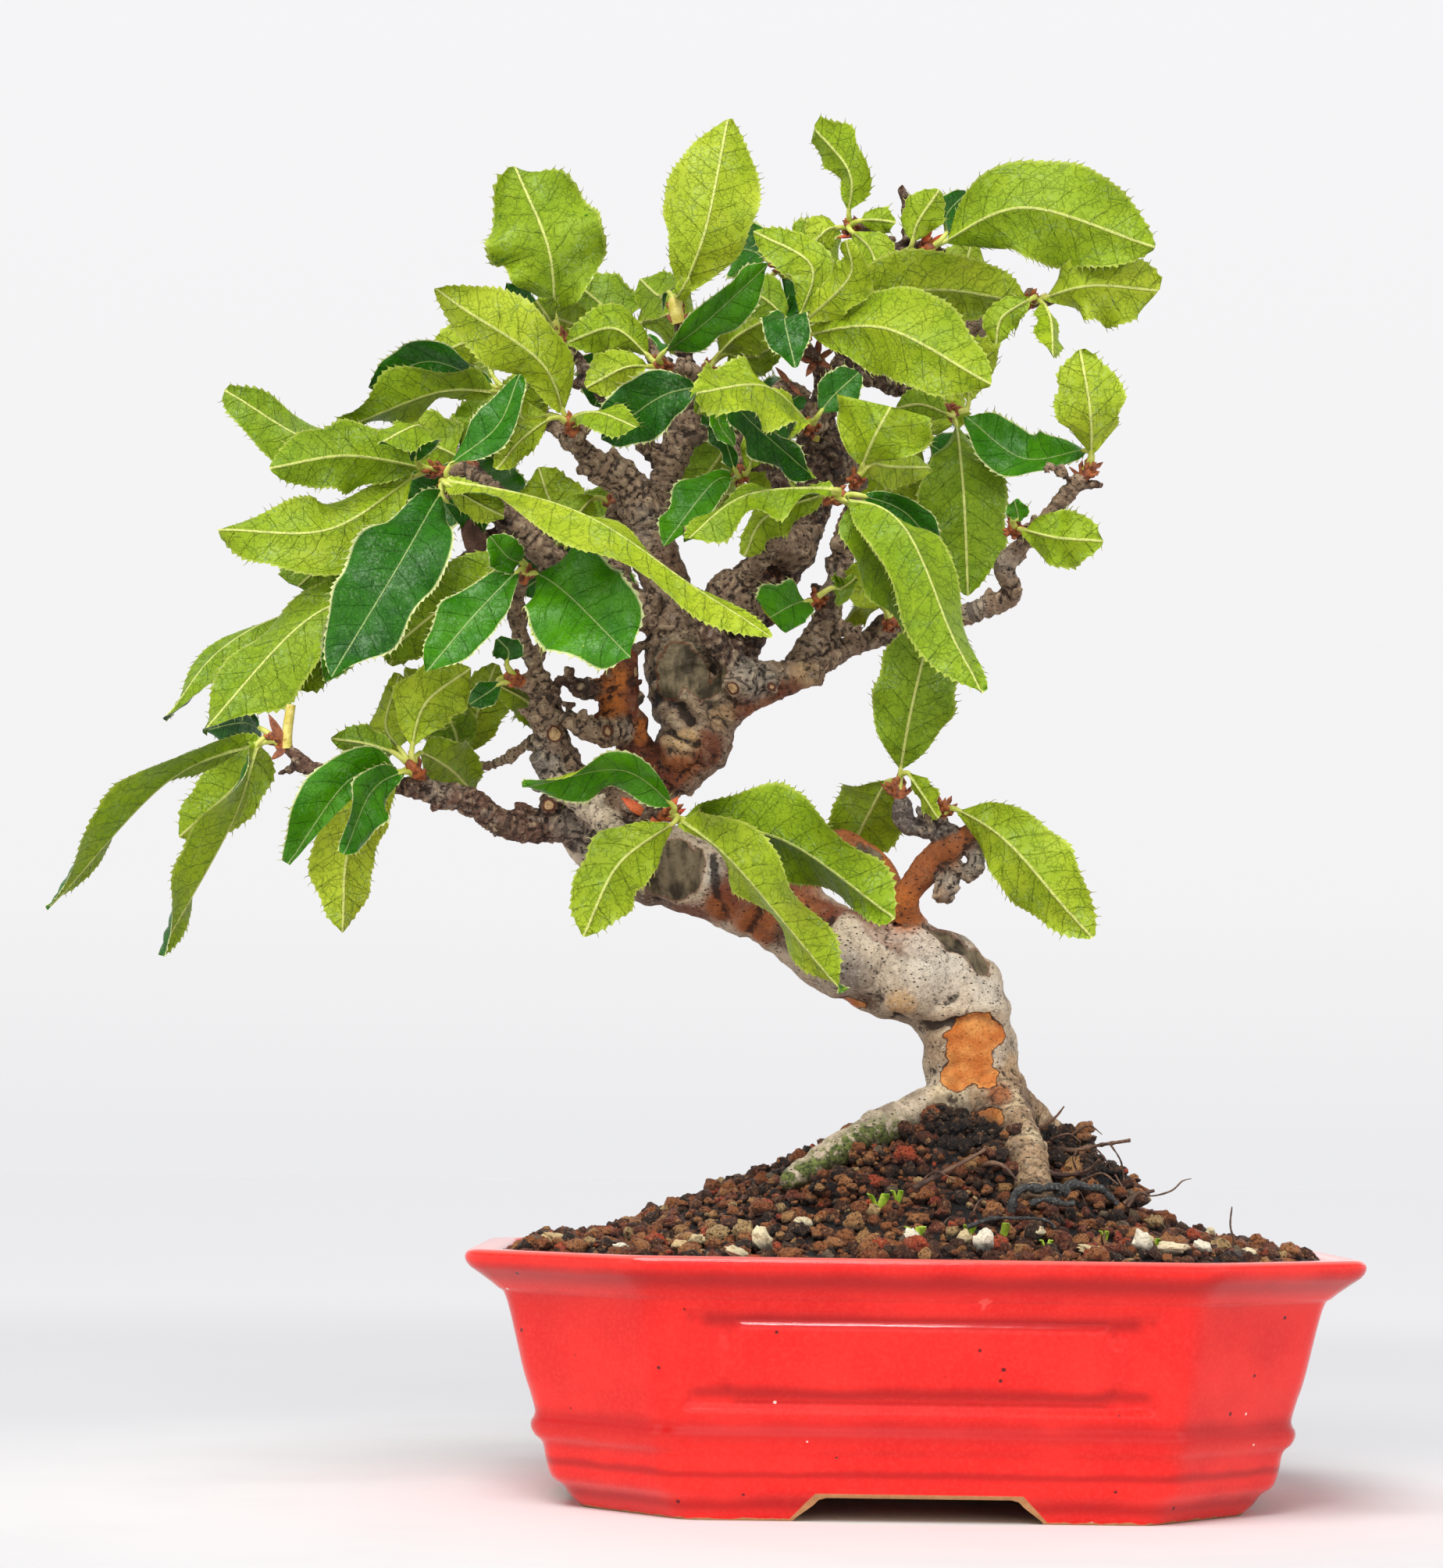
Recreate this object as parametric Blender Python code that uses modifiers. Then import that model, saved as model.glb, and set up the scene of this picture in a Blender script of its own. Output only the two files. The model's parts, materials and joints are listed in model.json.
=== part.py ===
"""A Chinese quince bonsai in a red glazed pot.

The pot has cut corners, four feet and a sunk frame on each face. A mound of granular soil fills it,
over two mesh screens on the drain holes. The woody frame stands in the soil, and each leafy spray
sits on the end of a twig. Lengths are in millimetres, measured from the middle of the pot's foot:
+X is right, -Y is the front and +Z is up. Last of all the model is moved so that its whole bounding
box stands with the middle of its underside on the origin.
"""

import math
import random

import bmesh
import bpy
from mathutils import Matrix, Vector

MM = 0.001
GAP = 0.35

# Pot
RIM_HALF_WIDTH = 80.0
RIM_HALF_DEPTH = 59.0
RIM_FRONT_EDGE_HALF = 50.0
RIM_END_EDGE_HALF = 34.0
DEPTH_PER_WIDTH = 0.57
FRONT_EDGE_PER_WIDTH = 0.46
END_EDGE_PER_WIDTH = 0.33
CORNER_ROUNDING = 2.5
# How far a face's end moves along it for each millimetre of wall, so the cut corners keep their angle
FRONT_EDGE_PER_WALL = 0.36
END_EDGE_PER_WALL = 0.47
POT_OUTSIDE = (
    (58.8, 0), (62.2, 3.7), (64.5, 5), (65.9, 11.6), (67.6, 13.2), (67.9, 14.8),
    (67.4, 16.4), (69.6, 24.4), (72.6, 36.4), (74.3, 38.4), (77, 40.6), (79.6, 42.6), (80, 44.2),
    (79.2, 45.4),
)
# Height and wall thickness of the hollow, from the floor up
POT_HOLLOW = ((9, 6), (36.4, 5.6), (40.6, 5.2), (44.2, 5), (46.5, 4.6))
FOOT_HEIGHT = 4.2
FOOT_WALL = 10.0
UNDERSIDE_HEIGHT = 4.6
FRONT_ARCH_HALVES = (21.5, 17.5)
END_ARCH_HALVES = (15, 11.5)
DRAIN_RADIUS = 7.0
DRAIN_PLACE = 28.0
FRAME_HEIGHT = 18.0
FRAME_MIDDLE = 27.6
FRAME_SINK = 0.9
FRONT_FRAME_WIDTH = 83.0
END_FRAME_WIDTH = 47.0
PANEL_MARGIN = (7.5, 3.6)
PANEL_NOTCH = 3.0
DRAIN_SIDES = 20

# Drain screens
SCREEN_SIDE = 18.0
SCREEN_THICKNESS = 0.9
SCREEN_CELLS = 5

# Soil
SOIL_PEAK = (13.0, 1.0)
SOIL_REACH = (84.0, 56.0, 50.0)
SOIL_EDGE_HEIGHT = 45.0
SOIL_RISE = 32.0
SOIL_STEEPNESS = 1.75
SOIL_STEEPER_RIGHT = 0.33
SOIL_RIM_HEIGHT = 43.0
SOIL_RINGS = (0.1, 0.22, 0.34, 0.47, 0.6, 0.72, 0.84, 0.94, 1.0)
SOIL_SPOKES = 36
GRAIN_RELIEF = 1.2

# Leaves: the eye is the place from which a roll of 0 shows a leaf's underside square on
EYE = Vector((-35.6, -700.0, 67.4))
BLADE_THICKNESS = 0.7
PETIOLE_LENGTH = 3.5
PETIOLE_HALF_WIDTH = 0.5
LEAF_FOLD = 0.16
KNEE_LENGTH = 3.0
KNEE_ALONG_SHOOT = 0.8
PATH_STEPS = 8
LEAF_SHAPE = (0.9, 0.8)
TOOTH_OUT = 1.1
NOTCH_IN = 0.9
TOOTH_BEFORE_NOTCH = 0.3
SHOOT_LEAF_PITCH = 0.35
SHOOT_LENGTH = 2.6
BASE_OUT = 0.45
FIRST_LEAF_AT = 0.3
LEAVES_SPREAD_OVER = 0.55
SHOOT_LEAST_RADIUS = 1.2

# Each limb is a run of (x, y, z, radius), from its root outwards
LIMBS = {
    "trunk": ((16, 1, 44, 8.5), (14.5, 0, 60, 11.5), (13.5, 0, 68.5, 10), (12, 0, 78, 9), (11, 0, 84.5, 9),
        (8.5, 0, 92.5, 9), (0, -2, 96, 8.5), (-9, -2, 98, 8.5), (-17, -1, 102.5, 7.5), (-25, 0, 109, 8),
        (-33.5, 0, 113, 8), (-42.5, 0, 115.5, 8), (-51.5, 1, 117.5, 7.5), (-58.5, 1, 121.5, 6.5),
        (-62, 0, 127, 5), (-65, 0, 131, 3.5)),
    "upper_trunk": ((-58, 0, 123.5, 5.5), (-53, 0, 128.5, 5.5), (-46.5, 0, 133.5, 5.5),
        (-41.5, 0, 141, 6.5), (-42.5, 2, 151, 7.5), (-44.5, 3, 160.5, 6), (-46.5, 3, 169, 5),
        (-49.5, 3, 177, 4.5), (-51, 3, 183.5, 4.5)),
    "right_arm": ((-45, -2, 132, 5), (-40, -3, 137.5, 5), (-37.5, -3, 143.5, 5), (-33, -4, 148, 4.5),
        (-25.5, -4, 151, 3.5), (-17, -4, 152.5, 2)),
    "right_leader": ((-38.5, 2, 147, 5.5), (-34.5, 4, 158, 5.5), (-31.5, 5, 165.5, 6),
        (-27, 6, 172.5, 5.5), (-22, 7, 179.5, 4.5), (-19, 9, 187.5, 4), (-17, 11, 195.5, 4.5),
        (-18, 12, 201.5, 4), (-17, 13, 207, 3), (-13, 14, 215, 2.5), (-9, 14, 225, 2.5),
        (-6.5, 13, 233.5, 2), (-5.5, 12, 240, 2)),
    "low_left": ((-60.5, -2, 124.5, 4), (-68, -5, 123, 3), (-73.5, -8, 122, 2.5),
        (-78.5, -10, 124.5, 2.5), (-82.5, -11, 127, 2.5), (-89, -12, 128.5, 2),
        (-96.5, -13, 129.5, 1.5), (-104.5, -13, 130, 1.5), (-111, -13, 132, 1.5), (-116, -13, 136, 1)),
    "left_riser": ((-62, -4, 128.5, 4), (-66, -6, 135, 3.5), (-68, -8, 141, 3), (-69, -9, 147.5, 2.5),
        (-71, -10, 152.5, 1.5), (-73.5, -11, 158.5, 1.5), (-74, -14, 163.5, 1.5), (-72.5, -18, 167, 1)),
    "left_twig": ((-68.5, -7, 140, 1.5), (-72.5, -3, 138, 1), (-77, 1, 135.5, 1), (-81.5, 4, 134.5, 1)),
    "left_arm": ((-45.5, 0, 161.5, 4), (-56, -2, 166, 3), (-66, -4, 171, 2.5), (-71.5, -6, 176, 3),
        (-76.5, -7, 181, 3.5), (-81, -8, 182.5, 2), (-85, -11, 184.5, 1.5)),
    "left_leader": ((-50.5, 2, 181.5, 4), (-54.5, 1, 189, 3.5), (-59.5, -2, 191, 3),
        (-63, -5, 194.5, 1.5), (-64, -7, 196.5, 1.5)),
    "mid_leader": ((-50.5, 4, 182.5, 3.5), (-46.5, 6, 192, 3), (-44, 7, 199.5, 3), (-40.5, 8, 206.5, 2),
        (-41, 4, 210.5, 1.5), (-46.5, -2, 210.5, 1)),
    "mid_fork": ((-44.5, 7, 199, 2.5), (-35.5, 8, 202, 2.5), (-27.5, 6, 206, 2), (-23.5, 4, 209, 1.5)),
    "fork_bud": ((-40.5, 8, 206.5, 1.5), (-43.5, 9, 214.5, 1.5), (-45, 7, 221.5, 1)),
    "far_right": ((-24, -3, 151.5, 3), (-17.5, 0, 154.5, 2.5), (-11.5, 3, 158.5, 2), (-4.5, 5, 161, 2),
        (5, 6, 163, 2), (13, 4, 166, 2), (19, 2, 168.5, 2), (17.5, 0, 174, 2), (22.5, -2, 179.5, 1.5),
        (27.5, -3, 185.5, 1.5), (31.5, -5, 190, 1.5)),
    "right_riser": ((-22.5, -2, 152.5, 3), (-17, 0, 161.5, 3), (-15, 1, 168, 2.5), (-13, 2, 173.5, 2),
        (-13, 1, 178.5, 2), (-12, -6, 183.5, 1.5), (-11.5, -12, 186.5, 1)),
    "front_spur": ((-34.5, -1, 165.5, 2.5), (-29.5, -8, 172.5, 2), (-26, -15, 177.5, 2),
        (-21.5, -19, 180.5, 1), (-17.5, -21, 182, 1)),
    "bent_spur": ((-30.5, -5, 152, 2.5), (-35, -9, 154.5, 2), (-38.5, -11, 159.5, 2),
        (-39.5, -10, 166, 1.5)),
    "low_right": ((1, -4, 103.5, 3), (-1, -8, 110, 2.5), (2.5, -10, 115.5, 2.5), (6.5, -12, 119, 2.5),
        (11, -13, 122.5, 1.5)),
    "low_right_knobs": ((8, -12, 120.5, 2.5), (5, -11, 122.5, 2.5), (1.5, -10, 123, 2),
        (-1.5, -10, 124, 2), (-2.5, -10, 128.5, 1.5)),
    "low_right_shoot": ((4, -11, 122.5, 1.5), (5, -13, 125, 1)),
    "saddle": ((-1.5, -3, 106.5, 4), (-7, 0, 115, 4), (-12.5, 1, 120, 3), (-20, 1, 120.5, 2.5),
        (-26.5, 1, 117.5, 3)),
    "cut_stub": ((-66.5, -8, 131, 2.5), (-61, -15, 126.5, 2.5), (-56, -19, 122, 2.5),
        (-52.5, -21, 117.5, 2), (-49.5, -23, 114, 2)),
    "front_shoot": ((-56.5, -18, 122.5, 1.5), (-50, -19, 123, 1.5), (-46.5, -22, 123.5, 1)),
    "stub_low_left": ((-65, -3, 130, 2.5), (-68.5, -8, 133.5, 2), (-70.5, -10, 135.5, 1.5)),
    "orange_riser": ((-50.5, -3, 134, 4), (-53, -5, 140.5, 3.5), (-55, -7, 146, 3.5),
        (-54.5, -8, 151.5, 3), (-54, -7, 155.5, 2)),
    "knob_spur_low": ((-54, -7, 141, 3), (-59, -11, 140, 2.5), (-63, -12, 141.5, 2),
        (-65, -12, 143, 1.5)),
    "knob_spur_high": ((-55.5, -8, 148.5, 2.5), (-60.5, -11, 148, 2), (-64, -12, 148.5, 1.5)),
    "thin_riser": ((-52, -2, 146.5, 1.5), (-54, 1, 154, 1.5), (-55.5, 2, 162, 1.5), (-56, 3, 171, 1.5),
        (-56.5, 6, 178, 2), (-57, 9, 185, 1.5)),
    "top_right": ((-6, 12, 235.5, 2), (-1.5, 4, 235, 2), (1.5, -2, 234, 1.5)),
    "top_left": ((-6.5, 12, 237.5, 1.5), (-9.5, 6, 238.5, 1.5), (-11.5, 2, 238.5, 1)),
    "top_mid": ((-3, 6, 235.5, 1.5), (-2, -1, 233, 1)),
    "outer_right": ((-9, 14, 225, 2), (-0.5, 15, 223.5, 1.5), (9, 12, 221.5, 1.5), (17.5, 6, 222, 1.5),
        (21, 1, 224, 1)),
    "behind_right": ((-13.5, 14, 214.5, 2), (-4, 17, 211.5, 1.5), (6, 18, 207.5, 1)),
    "upper_left": ((-59.5, 0, 191.5, 2), (-66.5, 6, 198.5, 1.5), (-71.5, 8, 203.5, 1.5),
        (-75.5, 8, 206, 1)),
    "upper_back_left": ((-46.5, 7, 192.5, 2), (-55, 12, 202.5, 1.5), (-62.5, 12, 212, 1.5),
        (-67, 10, 217.5, 1)),
    "far_left": ((-76.5, -4, 181.5, 2), (-80.5, 2, 188, 1.5), (-85, 4, 191, 1.5), (-89, 3, 191, 1)),
    "left_hidden": ((-75, -4, 179.5, 1.5), (-81, 0, 176, 1.5), (-86, 1, 172.5, 1.5),
        (-90.5, 0, 170.5, 1)),
    "fork_low": ((-35.5, 9, 202.5, 1.5), (-33.5, 7, 196.5, 1), (-33, 4, 192.5, 1)),
    "top_bud": ((-16.5, 12, 207, 2), (-18, 7, 213, 1.5), (-21, -2, 215.5, 1)),
    "fork_front": ((-18, 10, 202, 2), (-19, -4, 199.5, 1.5), (-19.5, -8, 198.5, 1.5)),
    "low_left_spur": ((-89.5, -12, 128.5, 1.5), (-91, -15, 130.5, 1.5)),
    "riser_spur": ((-70, -9, 148, 1.5), (-73, -12, 149, 1.5)),
    "crown_front": ((-41, 8, 206, 1.5), (-39.5, -4, 205.5, 1.5), (-38, -13, 205, 1)),
    "crown_spur": ((-41, 8, 205.5, 2), (-39.5, 12, 212, 1)),
    "riser_side_spur": ((-15.5, 1, 166, 2), (-17.5, -5, 166, 1.5)),
    "far_right_spur": ((-5.5, 5, 161, 2), (-4.5, 1, 162, 1.5)),
    "far_right_bud": ((22.5, -2, 179, 1.5), (20, -5, 179.5, 1.5)),
    "left_root": ((9, -2, 70.5, 6.5), (1, -6, 69.5, 4.5), (-6.5, -10, 67, 3.5), (-13, -13, 63.5, 3),
        (-19, -16, 60, 2.5), (-23.5, -18, 57.5, 1.5)),
    "front_root": ((16, -4, 74.5, 5), (18.5, -9, 68.5, 4), (20.5, -14, 63, 3), (22, -20, 58.5, 3)),
    "right_root": ((19, 4, 71.5, 5.5), (26, 6, 67, 3.5), (31, 8, 62, 2.5), (35.5, 9, 57, 1.5)),
    "back_root": ((11.5, 6, 71.5, 7), (8.5, 18, 68.5, 4.5), (5.5, 30, 62.5, 3), (3, 38, 56, 2)),
    "dry_root_high": ((24, -2, 65.5, 1), (29.5, -8, 64, 0.5), (34.5, -10, 65, 0.5), (40, -13, 66, 0.5)),
    "dry_root_low": ((22, -14, 60.5, 1), (27.5, -17, 59.5, 0.5), (31.5, -20, 60.5, 0.5),
        (33.5, -22, 62.5, 0.5)),
    "back_low": ((-39.5, 6, 155, 3), (-48.5, 15, 165, 2), (-56.5, 23, 174, 1.5), (-63, 28, 180.5, 1)),
    "back_mid": ((-27, 8, 173, 3), (-23.5, 18, 186, 2), (-26.5, 26, 196.5, 1.5), (-31, 31, 203.5, 1)),
    "back_right": ((-19, 10, 187.5, 2.5), (-12, 19, 195.5, 2), (-5, 26, 201.5, 1.5),
        (0.5, 30, 203.5, 1)),
    "back_top": ((-44, 9, 200, 2), (-46.5, 18, 211.5, 1.5), (-52.5, 24, 220.5, 1)),
    "back_top_right": ((-9, 13, 225, 2), (-16, 20, 232.5, 1.5), (-23.5, 25, 236, 1)),
    "back_left": ((-56, 2, 166.5, 2), (-65.5, 12, 175, 1.5), (-76.5, 19, 186.5, 1.5),
        (-84.5, 23, 195, 1)),
}

# The limbs that stand in the soil or touch it
IN_SOIL = (
    "trunk", "left_root", "front_root", "right_root", "back_root", "dry_root_high", "dry_root_low",
)
IN_SOIL_ROWS = 6

# Swellings and old cuts on the wood: x, y, z, radius
KNOBS = (
    (-32, -8, 150, 4), (5, -14, 110.5, 2.4), (11, -14, 117, 2.4), (-43.5, -8, 137, 3.6),
    (-23.5, 1, 177, 5.4), (-33.5, 0, 166, 6.4),
)

# Each spray names the limb that it ends, then its leaves: bend, tip, width and roll in degrees
SPRAYS = {
    "left_tip": ("low_left", (
        ((-137, -20, 129), (-158, -20, 105), 17, -75),
        ((-126, -4, 130), (-137, -2, 120), 12, 0),
        ((-125, -22, 121), (-137, -24, 97), 17, -75),
        ((-126, 0, 142), (-134, 6, 141), 9, 160),
    )),
    "left_branch": ("low_left_spur", (
        ((-103, -26, 129), (-114, -27, 113), 12.5, 165),
        ((-99, -26, 127), (-103, -33, 115), 10, 135),
        ((-104, -13, 118), (-105, -12, 102), 12.5, -20),
        ((-86, -6, 133), (-82, 4, 129), 12, 0),
        ((-90, -19, 144), (-82, -16, 151), 12, 0),
        ((-98, -10, 141), (-96, -6, 151), 8.5, -30),
        ((-101, -13, 137), (-108, -12, 138), 6.5, -25),
    )),
    "left_twig_end": ("left_twig", (
        ((-86, 3, 141), (-90, 2, 148), 9.5, 0),
        ((-82, 8, 146), (-79, 10, 155), 10.5, 0),
        ((-91, 11, 147), (-97, 14, 154), 9.5, 0),
    )),
    "left_riser_side": ("riser_spur", (
        ((-78, -16, 147), (-82, -18, 144), 5, 180),
        ((-75, -18, 154), (-77, -20, 156), 6, 180),
        ((-72, -4, 146), (-71, 2, 142), 7, -20),
    )),
    "left_riser_top": ("left_riser", (
        ((-64, -30, 163), (-52, -42, 150), 20, 180),
        ((-75, -27, 170), (-78, -32, 173), 7, 180),
        ((-81, -27, 159), (-89, -32, 148), 11, -160),
        ((-87, -14, 163), (-99, -8, 154), 15, 0),
    )),
    "left_arm_end": ("left_arm", (
        ((-95, -26, 168), (-106, -32, 147), 17, -165),
        ((-102, -14, 165), (-110, -10, 149), 16, 130),
        ((-59, -38, 175), (-28, -44, 152), 17, -70),
        ((-78, -16, 196), (-74, -16, 206), 9, 145),
        ((-81, -20, 181), (-76, -24, 178), 6.5, 0),
        ((-83, -11, 180), (-83, -8, 175), 5.5, 180),
    )),
    "left_leader_end": ("left_leader", (
        ((-71, -17, 209), (-90, -22, 220), 14, -15),
        ((-59, -20, 198), (-52, -28, 194), 8.5, -50),
        ((-74, -10, 199), (-72, -8, 210), 9.5, 0),
        ((-74, -13, 194), (-78, -16, 188), 6.5, -15),
    )),
    "crown_left": ("upper_back_left", (
        ((-70, 2, 234), (-77, 6, 251), 22.5, 0),
        ((-70, 3, 221), (-72, -2, 223), 6.5, 0),
        ((-76, 12, 226), (-82, 12, 228), 6, 180),
        ((-66, 18, 223), (-63, 24, 225), 9, 0),
    )),
    "crown_mid_left": ("mid_leader", (
        ((-57, -6, 217), (-66, -2, 215), 9, 0),
        ((-55, -8, 209), (-62, -9, 205), 9, 0),
        ((-40, -12, 217), (-28, -10, 229), 11, -135),
        ((-49, 1, 215), (-51, 4, 218), 4.5, 165),
    )),
    "crown_bud": ("fork_bud", (
        ((-40, 0, 238), (-36, 4, 261), 18, 0),
        ((-45, 1, 225), (-43, -2, 228), 3.5, -15),
        ((-49, 15, 228), (-53, 22, 233), 10.5, 0),
    )),
    "crown_front_end": ("crown_front", (
        ((-48, -16, 202), (-59, -10, 195), 12, 180),
        ((-31, -25, 196), (-19, -28, 185), 11.5, -125),
        ((-37, -17, 197), (-34, -16, 193), 4.5, 150),
        ((-40, -13, 202), (-41, -10, 200), 4.5, 0),
    )),
    "crown_mid": ("crown_spur", (
        ((-33, 6, 219), (-25, 10, 224), 11, 0),
        ((-32, 10, 215), (-25, 14, 219), 8.5, 0),
    )),
    "leader_front": ("fork_front", (
        ((-29, -32, 201), (-41, -46, 197), 16, 50),
        ((-16, -13, 203), (-11, -12, 208), 8, 180),
    )),
    "leader_bud": ("top_bud", (
        ((-6, -18, 215), (13, -22, 204), 17.5, 0),
        ((-25, -16, 217), (-23, -20, 207), 9, 180),
        ((1, -7, 225), (21, -2, 224), 16.5, 40),
        ((-20, -8, 229), (-31, -6, 236), 9.5, 20),
        ((-13, -17, 225), (-14, -21, 231), 9, -25),
        ((-29, -7, 223), (-35, -4, 225), 9, 0),
    )),
    "front_spur_end": ("front_spur", (
        ((-3, -36, 174), (9, -38, 144), 17, -45),
        ((-10, -26, 174), (4, -24, 155), 12.5, -55),
        ((-32, -31, 181), (-43, -34, 172), 12.5, 65),
        ((-28, -21, 179), (-32, -18, 172), 8.5, 30),
        ((-3, -24, 180), (4, -20, 173), 8, -150),
    )),
    "right_riser_end": ("right_riser", (
        ((-8, -20, 195), (-2, -22, 206), 19, 0),
        ((-5, -8, 191), (3, -2, 192), 8.5, 0),
    )),
    "fork_low_end": ("fork_low", (
        ((-38, -4, 188), (-47, -10, 175), 9.5, -150),
        ((-30, -2, 195), (-27, -4, 198), 6, 0),
        ((-36, -3, 197), (-40, -6, 201), 5.5, 135),
        ((-35, 12, 189), (-38, 16, 185), 9, 0),
    )),
    "riser_side": ("riser_side_spur", (
        ((-23, -12, 164), (-30, -18, 159), 11, 180),
        ((-14, -6, 168), (-11, -8, 170), 6, 0),
    )),
    "far_right_side": ("far_right_spur", (
        ((-8, -4, 168), (-9, -4, 175), 9, 0),
        ((-10, 6, 166), (-14, 8, 161), 6.5, 40),
    )),
    "low_right_top": ("low_right_knobs", (
        ((-1, -18, 144), (3, -20, 162), 15.5, 0),
        ((-9, 4, 124), (-12, 10, 117), 14, 0),
        ((2, -16, 128), (4, -20, 124), 5.5, 45),
    )),
    "low_right_mid": ("low_right_shoot", (
        ((17, -24, 119), (31, -28, 102), 14.5, 15),
    )),
    "front_low": ("front_shoot", (
        ((-24, -40, 118), (-5, -48, 104), 17, 40),
        ((-33, -40, 114), (-14, -48, 91), 17, 60),
        ((-54, -33, 131), (-71, -38, 127), 12, 120),
        ((-54, -30, 114), (-60, -30, 101), 12.5, 0),
    )),
    "far_right_end": ("far_right", (
        ((32, -14, 201), (30, -14, 213), 13, 0),
        ((21, 4, 195), (10, 8, 204), 11.5, -150),
    )),
    "far_right_mid": ("far_right_bud", (
        ((26, -14, 177), (33, -18, 176), 11, 0),
        ((19, -11, 181), (18, -14, 184), 4.5, 180),
    )),
    "behind_right_end": ("behind_right", (
        ((10, 8, 189), (11, 8, 169), 17, 0),
        ((2, 13, 207), (-3, 12, 206), 6.5, 0),
        ((9, 16, 226), (12, 16, 241), 20.5, 0),
    )),
    "outer_right_end": ("outer_right", (
        ((33, -8, 226), (47, -8, 225), 15, 0),
        ((25, -8, 219), (25, -14, 211), 7, -50),
        ((16, -6, 220), (15, -6, 215), 6.5, 0),
    )),
    "top_right_end": ("top_right", (
        ((20, -11, 240), (44, -14, 232), 19.5, 0),
        ((6, 3, 242), (10, 6, 247), 7, -150),
    )),
    "top_mid_end": ("top_mid", (
        ((0, -6, 238), (4, -8, 244), 8, 0),
    )),
    "top_left_end": ("top_left", (
        ((-13, -6, 248), (-22, -4, 259), 9.5, -35),
        ((-17, -4, 237), (-20, -4, 234), 7.5, 0),
        ((-8, -4, 239), (-4, -6, 238), 5, 0),
        ((-9, -6, 233), (-7, -8, 227), 8.5, 0),
    )),
    "far_left_end": ("far_left", (
        ((-107, -6, 192), (-121, -8, 189), 13, 0),
        ((-115, 8, 197), (-132, 8, 207), 16.5, 45),
        ((-110, -5, 178), (-131, -4, 178), 16.5, 30),
        ((-93, -10, 197), (-100, -18, 192), 9, 55),
    )),
    "upper_left_end": ("upper_left", (
        ((-91, 2, 206), (-110, 2, 198), 13, -50),
        ((-93, 12, 214), (-105, 14, 209), 11, 150),
        ((-85, 18, 219), (-95, 22, 216), 10, -10),
    )),
    "left_hidden_end": ("left_hidden", (
        ((-110, 8, 174), (-123, 8, 163), 13.5, 30),
        ((-113, -6, 161), (-132, -10, 139), 17, 40),
        ((-124, 6, 161), (-143, 2, 145), 17, 70),
        ((-108, 6, 160), (-119, 8, 149), 12.5, 50),
        ((-94, 3, 163), (-99, 6, 154), 9, 0),
    )),
    "thin_riser_end": ("thin_riser", (
        ((-64, 6, 183), (-68, 10, 178), 9.5, 0),
        ((-56, 11, 184), (-53, 16, 179), 6, 0),
    )),
    "back_low_end": ("back_low", (
        ((-70, 35, 190), (-73, 37, 198), 14, 0),
        ((-69, 35, 178), (-76, 38, 173), 14, 180),
        ((-59, 40, 189), (-53, 46, 193), 12.5, 0),
        ((-60, 39, 176), (-55, 43, 170), 12.5, 180),
    )),
    "back_mid_end": ("back_mid", (
        ((-38, 38, 199), (-43, 38, 192), 14, 0),
        ((-36, 39, 213), (-41, 41, 219), 15.5, 0),
        ((-25, 39, 211), (-20, 42, 215), 14, 180),
        ((-25, 41, 199), (-20, 43, 193), 12.5, 0),
    )),
    "back_right_end": ("back_right", (
        ((10, 37, 200), (16, 35, 192), 15, 180),
        ((6, 38, 212), (10, 41, 219), 14, 0),
        ((-3, 38, 196), (-6, 39, 186), 14, 0),
    )),
    "back_top_end": ("back_top", (
        ((-61, 31, 230), (-67, 32, 235), 13.5, 0),
        ((-58, 32, 217), (-62, 35, 210), 14, 180),
        ((-47, 34, 229), (-44, 38, 236), 14, 0),
    )),
    "back_top_right_end": ("back_top_right", (
        ((-30, 32, 230), (-34, 32, 222), 14, 0),
        ((-17, 34, 243), (-13, 37, 246), 12.5, 0),
        ((-19, 30, 232), (-16, 29, 224), 14, 180),
        ((-31, 35, 242), (-36, 41, 244), 12.5, 180),
    )),
    "back_left_end": ("back_left", (
        ((-94, 30, 201), (-102, 30, 202), 13.5, 0),
        ((-92, 30, 191), (-99, 30, 187), 13.5, 180),
        ((-83, 32, 205), (-81, 35, 213), 14, 0),
        ((-82, 38, 195), (-78, 45, 193), 12.5, 180),
    )),
}


def material(name, colour, roughness):
    made = bpy.data.materials.new(name)
    made.use_nodes = True
    shader = made.node_tree.nodes["Principled BSDF"]
    shader.inputs["Base Color"].default_value = (*colour, 1)
    shader.inputs["Roughness"].default_value = roughness
    shader.inputs["Metallic"].default_value = 0
    return made


def add_mesh(name, mesh, collection, look=None):
    made = bpy.data.objects.new(name, mesh)
    collection.objects.link(made)
    if look:
        mesh.materials.clear()
        mesh.materials.append(look)
    return made


def mesh_from(name, points, faces):
    mesh = bpy.data.meshes.new(name)
    mesh.from_pydata([[value * MM for value in point] for point in points], [], faces)
    mesh.update()
    return mesh


def evaluated_mesh(source):
    graph = bpy.context.evaluated_depsgraph_get()
    return bpy.data.meshes.new_from_object(source.evaluated_get(graph), depsgraph=graph)


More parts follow.
